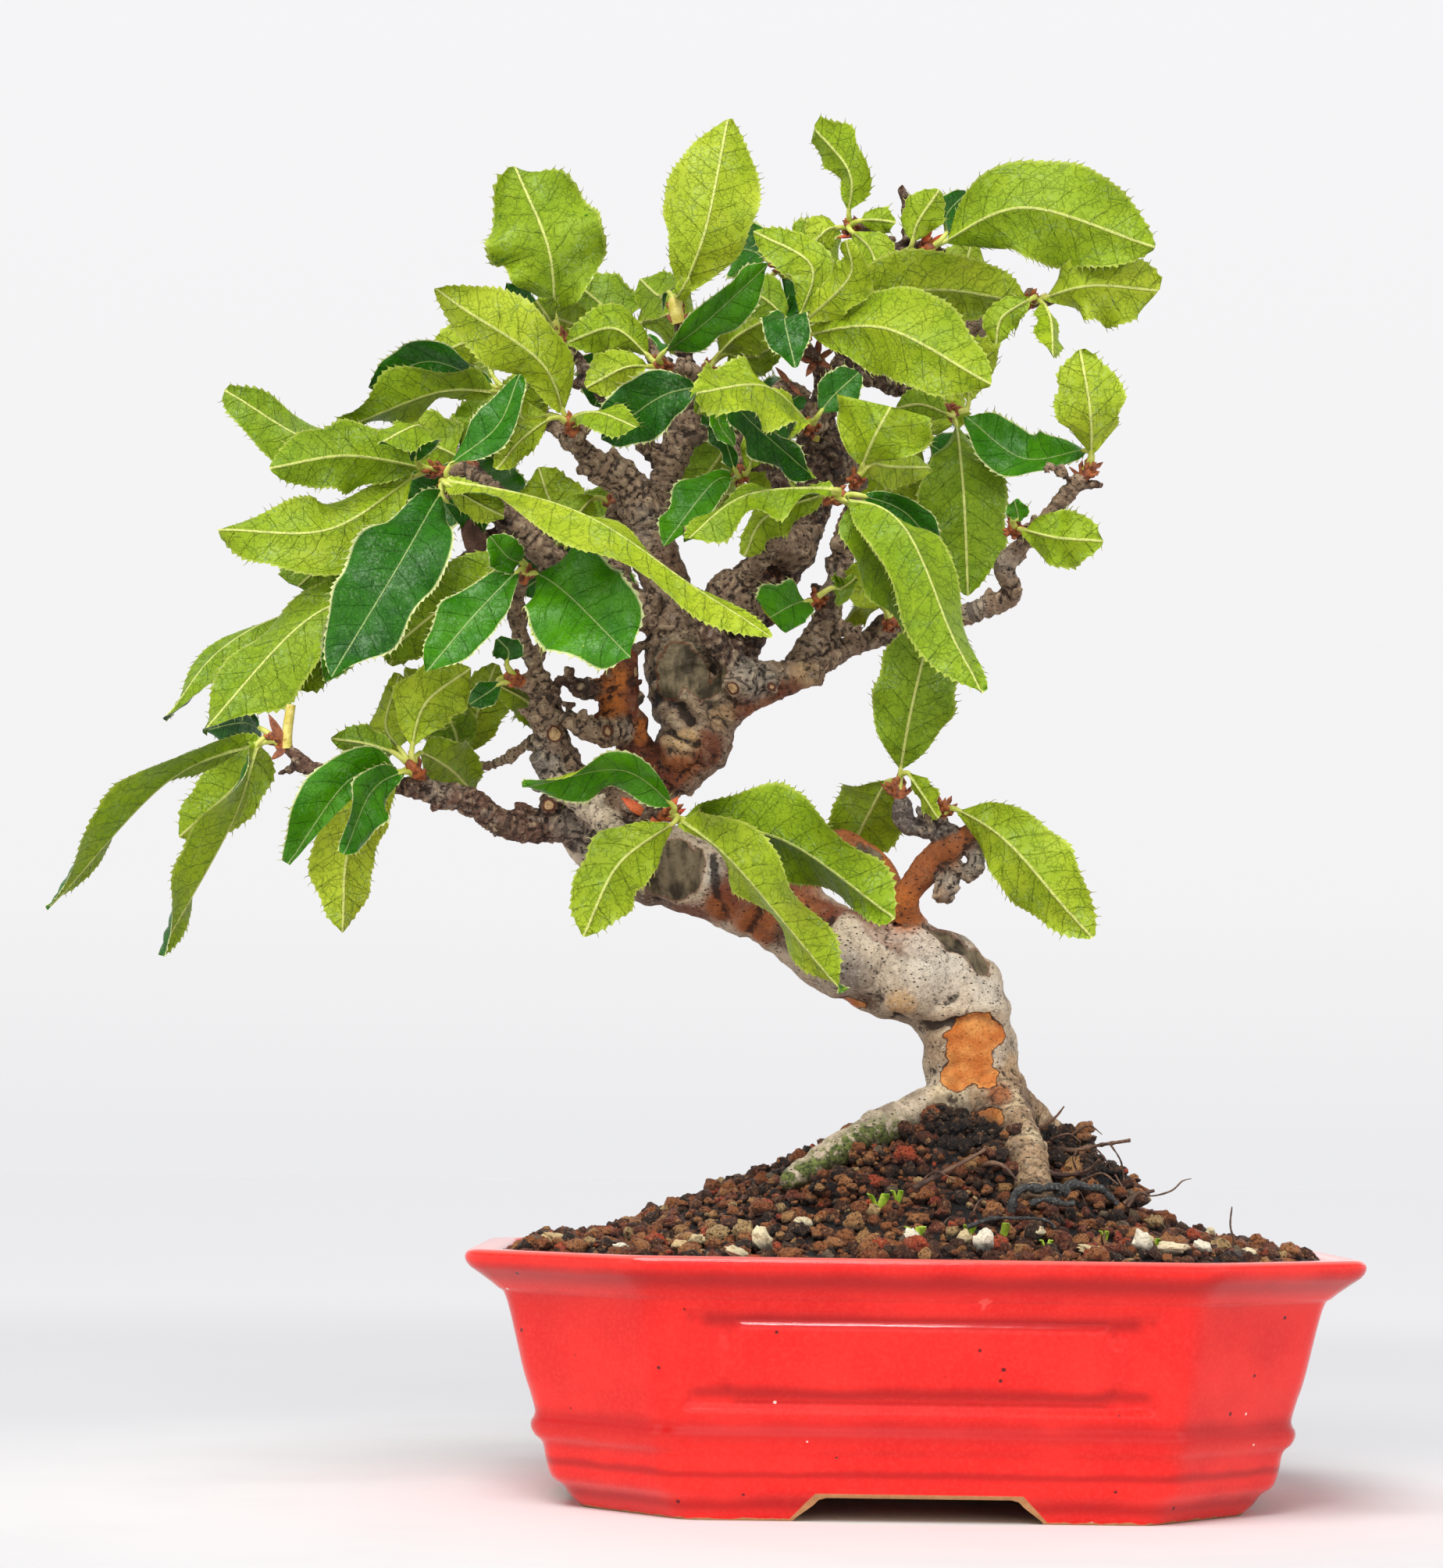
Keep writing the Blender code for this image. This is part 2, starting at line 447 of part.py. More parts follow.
def keep_main_body(mesh):
    """Drops loose scraps and the skins of sealed hollows, so one closed body is left."""
    body = bmesh.new()
    body.from_mesh(mesh)
    unseen = set(body.verts)
    islands = []
    while unseen:
        island = {unseen.pop()}
        edge_of_search = list(island)
        while edge_of_search:
            vert = edge_of_search.pop()
            for edge in vert.link_edges:
                other = edge.other_vert(vert)
                if other in unseen:
                    unseen.discard(other)
                    island.add(other)
                    edge_of_search.append(other)
        islands.append(island)
    islands.sort(key=len)
    for island in islands[:-1]:
        bmesh.ops.delete(body, geom=list(island), context="VERTS")
    body.to_mesh(mesh)
    body.free()


def combine(base, others, operation, solver="EXACT"):
    """Joins the others to the base, or cuts them out of it, then removes them."""
    group = bpy.data.collections.new(base.name + "_group")
    for other in others:
        for holder in list(other.users_collection):
            holder.objects.unlink(other)
        group.objects.link(other)
    step = base.modifiers.new(operation.title(), "BOOLEAN")
    step.operation = operation
    step.solver = solver
    step.operand_type = "COLLECTION"
    step.collection = group
    mesh = evaluated_mesh(base)
    base.modifiers.clear()
    base.data = mesh
    for other in others:
        bpy.data.objects.remove(other)
    bpy.data.collections.remove(group)
    keep_main_body(mesh)


def corner_points(half_width, inset=0.0):
    """The pot's outline where its outside has this half width, set in by a wall, going round once."""
    narrowing = RIM_HALF_WIDTH - half_width
    half_depth = RIM_HALF_DEPTH - DEPTH_PER_WIDTH * narrowing - inset
    front = RIM_FRONT_EDGE_HALF - FRONT_EDGE_PER_WIDTH * narrowing - FRONT_EDGE_PER_WALL * inset
    end = RIM_END_EDGE_HALF - END_EDGE_PER_WIDTH * narrowing - END_EDGE_PER_WALL * inset
    half_width = half_width - inset
    corners = [
        Vector(pair)
        for pair in (
            (front, -half_depth), (half_width, -end), (half_width, end), (front, half_depth),
            (-front, half_depth), (-half_width, end), (-half_width, -end), (-front, -half_depth),
        )
    ]
    rounded = []
    for index, corner in enumerate(corners):
        for neighbour in (corners[index - 1], corners[(index + 1) % 8]):
            rounded.append(corner + (neighbour - corner).normalized() * CORNER_ROUNDING)
    return rounded


def outside_half_width(height):
    """The pot's outside half width at a height, read between the points of its profile."""
    below = POT_OUTSIDE[0]
    for above in POT_OUTSIDE[1:]:
        if height <= above[1]:
            share = (height - below[1]) / (above[1] - below[1])
            return below[0] + share * (above[0] - below[0])
        below = above
    return below[0]


def hollow_outline(height, gap=0.0):
    """The outline of the pot's hollow at a height, or of something that clears it by a gap."""
    for (low, low_wall), (high, high_wall) in zip(POT_HOLLOW, POT_HOLLOW[1:]):
        if height <= high:
            break
    share = (height - low) / (high - low)
    low_width, high_width = outside_half_width(low), outside_half_width(high)
    half_width = low_width + share * (high_width - low_width)
    return corner_points(half_width, low_wall + share * (high_wall - low_wall) + gap)


def stack_of_rings(name, rings):
    """A closed solid through rings of equal count, listed from the bottom up."""
    count = len(rings[0])
    points = [point for ring in rings for point in ring]
    faces = [tuple(reversed(range(count)))]
    for level in range(len(rings) - 1):
        for spoke in range(count):
            low = level * count + spoke
            low_next = level * count + (spoke + 1) % count
            faces.append((low, low_next, low_next + count, low + count))
    faces.append(tuple(range(len(points) - count, len(points))))
    return mesh_from(name, points, faces)


def pot_ring(half_width, height, inset=0.0):
    return [(point.x, point.y, height) for point in corner_points(half_width, inset)]


def arch_cutter(name, halves, length, height, turn):
    """A long prism under the pot, wider at the ground, that leaves an arch between two feet."""
    low, high = halves
    flare = (low - high) / height
    section = ((-low - flare, -1), (low + flare, -1), (high, height), (-high, height))
    points = [(x, y, z) for y in (-length, length) for x, z in section]
    faces = ((0, 1, 2, 3), (7, 6, 5, 4), (1, 0, 4, 5), (2, 1, 5, 6), (3, 2, 6, 7), (0, 3, 7, 4))
    mesh = mesh_from(name, points, faces)
    mesh.transform(Matrix.Rotation(turn, 4, "Z"))
    return add_mesh(name, mesh, CUTTERS)


def frame_cutter(name, width, side):
    """A flat frame round a panel with hollowed corners, laid on the sloping face of one side."""
    margin_x, margin_z = PANEL_MARGIN
    half = (width / 2, FRAME_HEIGHT / 2)
    inner = (half[0] - margin_x, half[1] - margin_z)
    outer_loop = [(-half[0], -half[1]), (half[0], -half[1]), (half[0], half[1]), (-half[0], half[1])]
    inner_loop = []
    for sign_x, sign_z, first in ((1, 1, 0), (-1, 1, 1), (-1, -1, 2), (1, -1, 3)):
        corner = Vector((sign_x * inner[0], sign_z * inner[1]))
        for step in range(3):
            angle = math.radians(90 * first + 90 - 45 * step) + math.pi
            reach = Vector((math.cos(angle), math.sin(angle))) * PANEL_NOTCH
            inner_loop.append(corner + reach)
    curve = bpy.data.curves.new(name, "CURVE")
    curve.dimensions = "2D"
    curve.fill_mode = "BOTH"
    curve.extrude = FRAME_SINK * MM
    for loop in (outer_loop, inner_loop):
        spline = curve.splines.new("POLY")
        spline.points.add(len(loop) - 1)
        for target, (x, z) in zip(spline.points, loop):
            target.co = (x * MM, z * MM, 0, 1)
        spline.use_cyclic_u = True
    carrier = add_mesh(name, curve, CUTTERS)
    mesh = evaluated_mesh(carrier)
    bpy.data.objects.remove(carrier)
    weld(mesh)
    low, high = FRAME_MIDDLE - 5, FRAME_MIDDLE + 5
    rise = outside_half_width(high) - outside_half_width(low)
    middle = outside_half_width(FRAME_MIDDLE)
    if side in ("front", "back"):
        rise *= DEPTH_PER_WIDTH
        middle = RIM_HALF_DEPTH - DEPTH_PER_WIDTH * (RIM_HALF_WIDTH - middle)
    lean = math.atan2(rise, high - low)
    turn = {"front": 0, "right": 90, "back": 180, "left": 270}[side]
    place = (
        Matrix.Rotation(math.radians(turn), 4, "Z")
        @ Matrix.Translation((0, -middle * MM, FRAME_MIDDLE * MM))
        @ Matrix.Rotation(math.radians(90) + lean, 4, "X")
    )
    mesh.transform(place)
    return add_mesh(name, mesh, CUTTERS)


def weld(mesh):
    body = bmesh.new()
    body.from_mesh(mesh)
    bmesh.ops.remove_doubles(body, verts=body.verts, dist=0.02 * MM)
    bmesh.ops.recalc_face_normals(body, faces=body.faces)
    body.to_mesh(mesh)
    body.free()


def build_pot():
    rings = [pot_ring(half_width, height) for half_width, height in POT_OUTSIDE]
    pot = add_mesh("pot", stack_of_rings("pot", rings), PARTS, GLAZE)
    hollow = [[(p.x, p.y, height) for p in hollow_outline(height)] for height, _ in POT_HOLLOW]
    under = [pot_ring(POT_OUTSIDE[0][0], height, FOOT_WALL) for height in (-1, UNDERSIDE_HEIGHT)]
    cutters = [
        add_mesh("hollow", stack_of_rings("hollow", hollow), CUTTERS),
        add_mesh("underside", stack_of_rings("underside", under), CUTTERS),
        arch_cutter("front_arch", FRONT_ARCH_HALVES, 80, FOOT_HEIGHT, 0),
        arch_cutter("end_arch", END_ARCH_HALVES, 100, FOOT_HEIGHT - 0.3, math.radians(90)),
    ]
    for side, width in (
        ("front", FRONT_FRAME_WIDTH), ("back", FRONT_FRAME_WIDTH),
        ("left", END_FRAME_WIDTH), ("right", END_FRAME_WIDTH),
    ):
        cutters.append(frame_cutter(side + "_frame", width, side))
    for place in (-DRAIN_PLACE, DRAIN_PLACE):
        bpy.ops.mesh.primitive_cylinder_add(
            vertices=DRAIN_SIDES, radius=DRAIN_RADIUS * MM, depth=20 * MM, location=(place * MM, 0, 8 * MM)
        )
        drain = bpy.context.object
        drain.data.transform(drain.matrix_world)
        drain.matrix_world = Matrix.Identity(4)
        cutters.append(drain)
    combine(pot, cutters, "DIFFERENCE")


def build_screens():
    """A coarse plastic mesh over each drain hole, lying on the pot's floor."""
    floor = POT_HOLLOW[0][0]
    for name, place in (("drain_screen_left", -DRAIN_PLACE), ("drain_screen_right", DRAIN_PLACE)):
        body = bmesh.new()
        bmesh.ops.create_grid(
            body, x_segments=SCREEN_CELLS, y_segments=SCREEN_CELLS, size=SCREEN_SIDE / 2 * MM
        )
        pitch = SCREEN_SIDE / SCREEN_CELLS
        openings = []
        for face in body.faces:
            column, row = [round(value / MM / pitch) for value in face.calc_center_median()[:2]]
            if abs(column) == 1 and abs(row) == 1:
                openings.append(face)
        bmesh.ops.delete(body, geom=openings, context="FACES")
        mesh = bpy.data.meshes.new(name)
        body.to_mesh(mesh)
        body.free()
        screen = add_mesh(name, mesh, PARTS, PLASTIC)
        thickness = screen.modifiers.new("Solidify", "SOLIDIFY")
        thickness.thickness = SCREEN_THICKNESS * MM
        thickness.offset = 1
        screen.data.transform(Matrix.Translation((place * MM, 0, (floor + GAP) * MM)))


def soil_height(x, y):
    """The mound: a lopsided cone with its top at the trunk, down to the rim of the pot."""
    left_reach, right_reach, depth_reach = SOIL_REACH
    across = (x - SOIL_PEAK[0]) / (left_reach if x < SOIL_PEAK[0] else right_reach)
    along = (y - SOIL_PEAK[1]) / depth_reach
    distance = math.hypot(across, along)
    steepness = SOIL_STEEPNESS + SOIL_STEEPER_RIGHT * across / max(distance, 0.01)
    return SOIL_EDGE_HEIGHT + SOIL_RISE * max(1 - distance, 0) ** steepness


def spread_evenly(outline, count):
    """The outline's points again, spread evenly along it."""
    closed = list(outline) + [outline[0]]
    total = sum((b - a).length for a, b in zip(closed, closed[1:]))
    points = []
    for index in range(count):
        wanted = total * index / count
        for start, end in zip(closed, closed[1:]):
            span = (end - start).length
            if wanted <= span:
                points.append(start.lerp(end, wanted / span))
                break
            wanted -= span
    return points


def build_soil(wood_tubes):
    """Soil that follows the pot's hollow, with the mound's grains raised from its surface."""
    draw = random.Random(11)
    rings = []
    floor = POT_HOLLOW[0][0] + GAP
    for height in (floor, *[height for height, _ in POT_HOLLOW[1:3]]):
        outline = hollow_outline(height, GAP)
        rings.append([(p.x, p.y, height) for p in spread_evenly(outline, SOIL_SPOKES)])
    edge = spread_evenly(hollow_outline(SOIL_RIM_HEIGHT, GAP), SOIL_SPOKES)
    for share in reversed(SOIL_RINGS):
        ring = []
        for spoke, point in enumerate(edge):
            x = SOIL_PEAK[0] + share * (point.x - SOIL_PEAK[0])
            y = SOIL_PEAK[1] + share * (point.y - SOIL_PEAK[1])
            grain = GRAIN_RELIEF * draw.uniform(-1, 1)
            if share == 1:
                height = SOIL_RIM_HEIGHT
            elif share < 0.2:
                height = soil_height(x, y)
            else:
                height = soil_height(x, y) + grain
            ring.append((x, y, height))
        rings.append(ring)
    soil = add_mesh("soil", stack_of_rings("soil", rings), PARTS, EARTH)
    cutters = list(wood_tubes)
    pocket = SCREEN_SIDE + 2 * GAP
    pocket_top = SCREEN_THICKNESS + 3 * GAP
    for place in (-DRAIN_PLACE, DRAIN_PLACE):
        body = bmesh.new()
        bmesh.ops.create_cube(body, size=MM)
        bmesh.ops.scale(body, vec=(pocket, pocket, 2 * pocket_top), verts=body.verts)
        bmesh.ops.translate(body, vec=(place * MM, 0, (floor - GAP) * MM), verts=body.verts)
        mesh = bpy.data.meshes.new("screen_pocket")
        body.to_mesh(mesh)
        body.free()
        cutters.append(add_mesh("screen_pocket", mesh, CUTTERS))
    combine(soil, cutters, "DIFFERENCE", "MANIFOLD")


def roundness(name):
    """A limb's bevel resolution: thick limbs get more sides."""
    thickest = max(row[3] for row in LIMBS[name])
    return 3 if thickest > 9 else 2 if thickest > 6.5 else 1 if thickest > 3 else 0


def tube(name, rows, resolution=1, grow=0.0):
    """A tapered round limb through rows of (x, y, z, radius); grow makes it fatter and longer."""
    rows = [list(row) for row in rows]
    for end, inner in ((0, 1), (-1, -2)):
        way = (Vector(rows[end][:3]) - Vector(rows[inner][:3])).normalized()
        rows[end][:3] = Vector(rows[end][:3]) + way * grow
    curve = bpy.data.curves.new(name, "CURVE")
    curve.dimensions = "3D"
    curve.bevel_depth = MM
    curve.bevel_resolution = resolution
    curve.use_fill_caps = True
    spline = curve.splines.new("POLY")
    spline.points.add(len(rows) - 1)
    for target, (x, y, z, radius) in zip(spline.points, rows):
        target.co = (x * MM, y * MM, z * MM, 1)
        target.radius = radius + grow
    carrier = add_mesh(name, curve, CUTTERS)
    mesh = evaluated_mesh(carrier)
    bpy.data.objects.remove(carrier)
    weld(mesh)
    return add_mesh(name, mesh, CUTTERS)


def build_wood():
    """The trunk, limbs, twigs and surface roots, grown together as one body."""
    wood = tube("wood", LIMBS["trunk"], roundness("trunk"))
    others = [tube(name, LIMBS[name], roundness(name)) for name in LIMBS if name != "trunk"]
    for x, y, z, radius in KNOBS:
        body = bmesh.new()
        bmesh.ops.create_icosphere(body, subdivisions=1 if radius < 5 else 2, radius=radius * MM)
        bmesh.ops.translate(body, vec=Vector((x, y, z)) * MM, verts=body.verts)
        mesh = bpy.data.meshes.new("knob")
        body.to_mesh(mesh)
        body.free()
        others.append(add_mesh("knob", mesh, CUTTERS))
    combine(wood, others, "UNION", "MANIFOLD")
    CUTTERS.objects.unlink(wood)
    PARTS.objects.link(wood)
    wood.data.materials.clear()
    wood.data.materials.append(BARK)


def smooth_path(knots):
    """A fine path on a Catmull-Rom curve through the knots."""
    knots = [2 * knots[0] - knots[1]] + knots + [2 * knots[-1] - knots[-2]]
    path = []
    for a, b, c, d in zip(knots, knots[1:], knots[2:], knots[3:]):
        for step in range(PATH_STEPS):
            t = step / PATH_STEPS
            bend = 2 * a - 5 * b + 4 * c - d
            twist = 3 * b - a - 3 * c + d
            path.append(0.5 * (2 * b + (c - a) * t + bend * t * t + twist * t ** 3))
    path.append(knots[-2])
    return path


class Midrib:
    """A leaf's midrib, with the directions along it, across the blade and out of its underside."""

    def __init__(self, base, shoot_way, bend, tip, roll):
        outward = (bend - base).normalized()
        knee = base + (shoot_way * KNEE_ALONG_SHOOT + outward).normalized() * KNEE_LENGTH
        self.path = smooth_path([base, knee, bend, tip])
        self.runs = [0.0]
        for a, b in zip(self.path, self.path[1:]):
            self.runs.append(self.runs[-1] + (b - a).length)
        self.length = self.runs[-1]
        middle, along = self.place(0.6)
        view = (EYE - middle).normalized()
        face = (view - along * view.dot(along)).normalized()
        angle = math.radians(roll)
        self.face = face * math.cos(angle) + along.cross(face) * math.sin(angle)

    def place(self, share):
        wanted = share * self.length
        index = 0
        while index < len(self.path) - 2 and self.runs[index + 1] < wanted:
            index += 1
        part = (wanted - self.runs[index]) / (self.runs[index + 1] - self.runs[index])
        ahead = self.path[min(index + 2, len(self.path) - 1)]
        behind = self.path[max(index - 1, 0)]
        return self.path[index].lerp(self.path[index + 1], part), (ahead - behind).normalized()

    def point(self, share, across):
        """A point on the blade: across is its distance from the midrib, and the edges rise."""
        spot, along = self.place(share)
        face = (self.face - along * self.face.dot(along)).normalized()
        rise = LEAF_FOLD * abs(across) if abs(across) > PETIOLE_HALF_WIDTH else 0
        return spot + along.cross(face) * across - face * rise


def half_width_at(share, width):
    """Half the blade's width: a pointed oval, widest just past its middle."""
    low, high = LEAF_SHAPE
    peak = low / (low + high)
    return width / 2 * (share / peak) ** low * ((1 - share) / (1 - peak)) ** high


def teeth_on(length):
    return 2 if length < 21 else 3 if length < 38 else 4


def leaf_blade(base, shoot_way, bend, tip, width, roll):
    """A leaf with saw teeth that point to its tip, as an open surface with a thickness."""
    midrib = Midrib(base, shoot_way, Vector(bend), Vector(tip), roll)
    teeth = teeth_on(midrib.length)
    start = PETIOLE_LENGTH / midrib.length
    points = []
    faces = []

    def put(share, across):
        points.append(midrib.point(share, across))
        return len(points) - 1

    low_left, low_right = put(0, -PETIOLE_HALF_WIDTH), put(0, PETIOLE_HALF_WIDTH)
    left, right = put(start, -PETIOLE_HALF_WIDTH), put(start, PETIOLE_HALF_WIDTH)
    faces += [(low_left, low_right, right), (low_left, right, left)]
    rib_before = None
    for tooth in range(1, teeth + 1):
        share = tooth / teeth
        rib = put(start + (1 - start) * share, 0)
        tooth_share = share - TOOTH_BEFORE_NOTCH / teeth
        out = half_width_at(tooth_share, width) * TOOTH_OUT
        tooth_place = start + (1 - start) * tooth_share
        tooth_left, tooth_right = put(tooth_place, -out), put(tooth_place, out)
        last = tooth == teeth
        if last:
            next_left = next_right = rib
        else:
            notch = half_width_at(share, width) * NOTCH_IN
            next_left = put(start + (1 - start) * share, -notch)
            next_right = put(start + (1 - start) * share, notch)
        if rib_before is None:
            faces += [(left, right, rib), (left, rib, next_left), (right, next_right, rib)]
        elif last:
            faces += [(rib_before, rib, left), (rib_before, right, rib)]
        else:
            faces += [(rib_before, rib, next_left), (rib_before, next_left, left)]
            faces += [(rib_before, next_right, rib), (rib_before, right, next_right)]
        faces += [(left, next_left, tooth_left), (right, tooth_right, next_right)]
        rib_before, left, right = rib, next_left, next_right
    leaf = add_mesh("leaf", mesh_from("leaf", points, faces), CUTTERS)
    thickness = leaf.modifiers.new("Solidify", "SOLIDIFY")
    thickness.thickness = BLADE_THICKNESS * MM
    thickness.offset = 0
    return leaf


def build_spray(name, limb, leaves):
    """A short shoot that continues its twig, with its leaves spread along it."""
    end = Vector(LIMBS[limb][-1][:3])
    way = (end - Vector(LIMBS[limb][-2][:3])).normalized()
    radius = max(LIMBS[limb][-1][3] * 1.05, SHOOT_LEAST_RADIUS)
    seat = end + way * GAP
    length = SHOOT_LENGTH + SHOOT_LEAF_PITCH * len(leaves)
    rows = [
        (*(seat + way * length * share), radius * size)
        for share, size in ((0, 1.1), (1, 0.8))
    ]
    spray = tube("spray_" + name, rows, 0)
    blades = []
    for index, (bend, tip, width, roll) in enumerate(leaves):
        share = FIRST_LEAF_AT + LEAVES_SPREAD_OVER * index / max(len(leaves) - 1, 1)
        base = seat + way * length * share
        outward = (Vector(bend) - base).normalized()
        base += (outward - way * outward.dot(way)).normalized() * radius * BASE_OUT
        blades.append(leaf_blade(base, way, bend, tip, width, roll))
    combine(spray, blades, "UNION", "MANIFOLD")
    CUTTERS.objects.unlink(spray)
    PARTS.objects.link(spray)
    spray.data.materials.clear()
    spray.data.materials.append(LEAF)


def stand_on_origin():
    """Moves every piece so that the middle of the bounding box's underside is the origin."""
    corners = [
        piece.matrix_world @ Vector(corner) for piece in PARTS.objects for corner in piece.bound_box
    ]
    shift = []
    for axis in range(2):
        values = [corner[axis] for corner in corners]
        shift.append(-(min(values) + max(values)) / 2)
    shift.append(-min(corner.z for corner in corners))
    for piece in PARTS.objects:
        piece.data.transform(Matrix.Translation(shift))


for old in list(bpy.data.objects):
    bpy.data.objects.remove(old)
PARTS = bpy.data.collections.new("quince_bonsai")
CUTTERS = bpy.data.collections.new("cutters")
for holder in (PARTS, CUTTERS):
    bpy.context.scene.collection.children.link(holder)
GLAZE = material("red_glaze", (0.85, 0.03, 0.03), 0.15)
PLASTIC = material("screen_plastic", (0.03, 0.03, 0.03), 0.5)
EARTH = material("granular_soil", (0.09, 0.045, 0.03), 0.95)
BARK = material("bark", (0.2, 0.13, 0.09), 0.8)
LEAF = material("leaf", (0.2, 0.42, 0.08), 0.5)

build_pot()
build_screens()
build_wood()
build_soil([
    tube(name + "_hole", LIMBS[name][:IN_SOIL_ROWS], roundness(name), GAP) for name in IN_SOIL
])
for spray_name, (limb_name, leaf_rows) in SPRAYS.items():
    build_spray(spray_name, limb_name, leaf_rows)
stand_on_origin()
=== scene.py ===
import json
import math
import random

import bmesh
import bpy
import numpy
from mathutils import Matrix, Vector, noise
from mathutils.bvhtree import BVHTree
from mathutils.kdtree import KDTree

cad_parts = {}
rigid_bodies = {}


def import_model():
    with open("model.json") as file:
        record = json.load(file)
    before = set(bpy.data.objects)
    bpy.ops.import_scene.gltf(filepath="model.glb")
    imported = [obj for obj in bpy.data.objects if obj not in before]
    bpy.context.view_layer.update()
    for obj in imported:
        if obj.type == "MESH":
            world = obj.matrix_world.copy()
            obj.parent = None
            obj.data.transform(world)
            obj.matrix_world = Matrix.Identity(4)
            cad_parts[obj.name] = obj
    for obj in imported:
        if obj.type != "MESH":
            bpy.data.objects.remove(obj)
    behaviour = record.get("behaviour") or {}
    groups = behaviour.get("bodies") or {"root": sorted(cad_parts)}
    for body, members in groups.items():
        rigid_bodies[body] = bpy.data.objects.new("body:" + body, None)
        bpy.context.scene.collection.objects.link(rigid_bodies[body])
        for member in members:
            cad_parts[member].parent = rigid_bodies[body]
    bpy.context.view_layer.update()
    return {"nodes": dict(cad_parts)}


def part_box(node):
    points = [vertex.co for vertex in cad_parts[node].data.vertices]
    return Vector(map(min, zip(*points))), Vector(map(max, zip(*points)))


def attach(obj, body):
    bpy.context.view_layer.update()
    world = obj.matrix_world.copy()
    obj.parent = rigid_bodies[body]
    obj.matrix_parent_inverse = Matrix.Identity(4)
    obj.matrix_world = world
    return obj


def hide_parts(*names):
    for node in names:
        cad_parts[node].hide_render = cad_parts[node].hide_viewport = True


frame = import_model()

# Pot
# Pressed clay with eight sides, a flared rim, a belt moulding and a sunk frame on each face, standing
# on four feet. A thick red glaze covers it down to its feet, whose lower edges are bare clay.
MM = 0.001
pot_low, pot_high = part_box("pot")
POT_MIDDLE = (pot_low + pot_high) / 2
RIM_HALF_WIDTH = (pot_high.x - pot_low.x) / 2 / MM
RIM_HALF_DEPTH = (pot_high.y - pot_low.y) / 2 / MM
POT_HEIGHT = (pot_high.z - pot_low.z) / MM
RIM_FRONT_EDGE_HALF = 50.0
RIM_END_EDGE_HALF = 34.0
DEPTH_PER_WIDTH = 0.57
FRONT_EDGE_PER_WIDTH = 0.46
END_EDGE_PER_WIDTH = 0.33
FRONT_EDGE_PER_WALL = 0.36
END_EDGE_PER_WALL = 0.47
CORNER_ROUNDING = 3.0
CORNER_STEPS = 6
POT_OUTSIDE = (
    (58.8, 0), (60.9, 1.9), (62.2, 3.7), (64.2, 5.2), (65.2, 8), (65.9, 11.2), (67.3, 12.6), (68, 14),
    (67.9, 15.2), (67.3, 16.6), (68.2, 20), (69.6, 24.4), (72.6, 36.4), (74.3, 38.6), (77, 40.7),
    (79.2, 42.3), (80, 43.6), (79.9, 44.6), (79.1, 45.3), (78, POT_HEIGHT),
)
# Half width outside, height and wall thickness, from the top of the rim down to the floor inside
POT_INSIDE = (
    (78, POT_HEIGHT, 2.4), (78, 45.1, 3.4), (78.4, 44.2, 4.2), (78.6, 43, 4.7), (76.9, 40.6, 5.2),
    (72.6, 36.4, 5.6), (67, 20, 5.8), (65.3, 9, 6),
)
POINTS_ALONG_FRONT = 116
POINTS_ALONG_END = 70
POINTS_ALONG_CUT = 12
ROW_SPACING = 0.72
FRAME_MIDDLE = 27.6
FRAME_HALF_HEIGHT = 9.0
FRONT_FRAME_HALF_WIDTH = 41.5
END_FRAME_HALF_WIDTH = 23.5
FRAME_SINK = 1.0
PANEL_MARGIN = (7.5, 3.6)
PANEL_NOTCH = 3.0
FRAME_SOFTNESS = 2.0
FOOT_WALL = 10.0
FOOT_HEIGHT = 4.2
UNDERSIDE_HEIGHT = 4.6
FRONT_ARCH_HALVES = (21.5, 17.5)
END_ARCH_HALVES = (15.0, 11.5)
ARCH_LENGTHS = (80, 100)
DRAIN_RADIUS = 7.0
DRAIN_PLACE = 28.0
DRAIN_BORE = (-2, 12)
BARE_EDGE = 0.9
PINHOLE_SPACING = 5.0
GLINT_SPACING = 8.0
# Lines where the glaze lies thick, painted darker as shade under the rim and the belt, at the panel edges and
# low on the body: height, half height and half width
GLAZE_POOL_SHADES = (
    (41.3, 1.3, 90), (34.3, 0.9, 36), (22.2, 0.9, 38), (15.6, 1.5, 90), (8.2, 0.6, 90), (2.8, 0.9, 90),
)


def place(point):
    """A point in millimetres from the middle of the pot's foot, as metres in the frame."""
    return Vector((POT_MIDDLE.x + point[0] * MM, POT_MIDDLE.y + point[1] * MM, point[2] * MM))


def smoothstep(low, high, value):
    share = min(max((value - low) / (high - low), 0), 1)
    return share * share * (3 - 2 * share)


def curve_through(knots, spacing):
    """Points on a smooth curve through the knots, about as far apart as the spacing."""
    knots = [Vector(knot) for knot in knots]
    knots = [2 * knots[0] - knots[1], *knots, 2 * knots[-1] - knots[-2]]
    path = []
    for a, b, c, d in zip(knots, knots[1:], knots[2:], knots[3:]):
        steps = max(2, round((c - b).length / spacing))
        for step in range(steps):
            t = step / steps
            bend = 2 * a - 5 * b + 4 * c - d
            twist = 3 * b - a - 3 * c + d
            path.append(0.5 * (2 * b + (c - a) * t + bend * t * t + twist * t ** 3))
    path.append(knots[-2])
    return path


def new_piece(name, points, faces, finishes, smooth_angle=40):
    """A mesh piece that rides with the pot, from points in millimetres."""
    return dress_piece(name, raw_mesh(name, points, faces), finishes, smooth_angle)


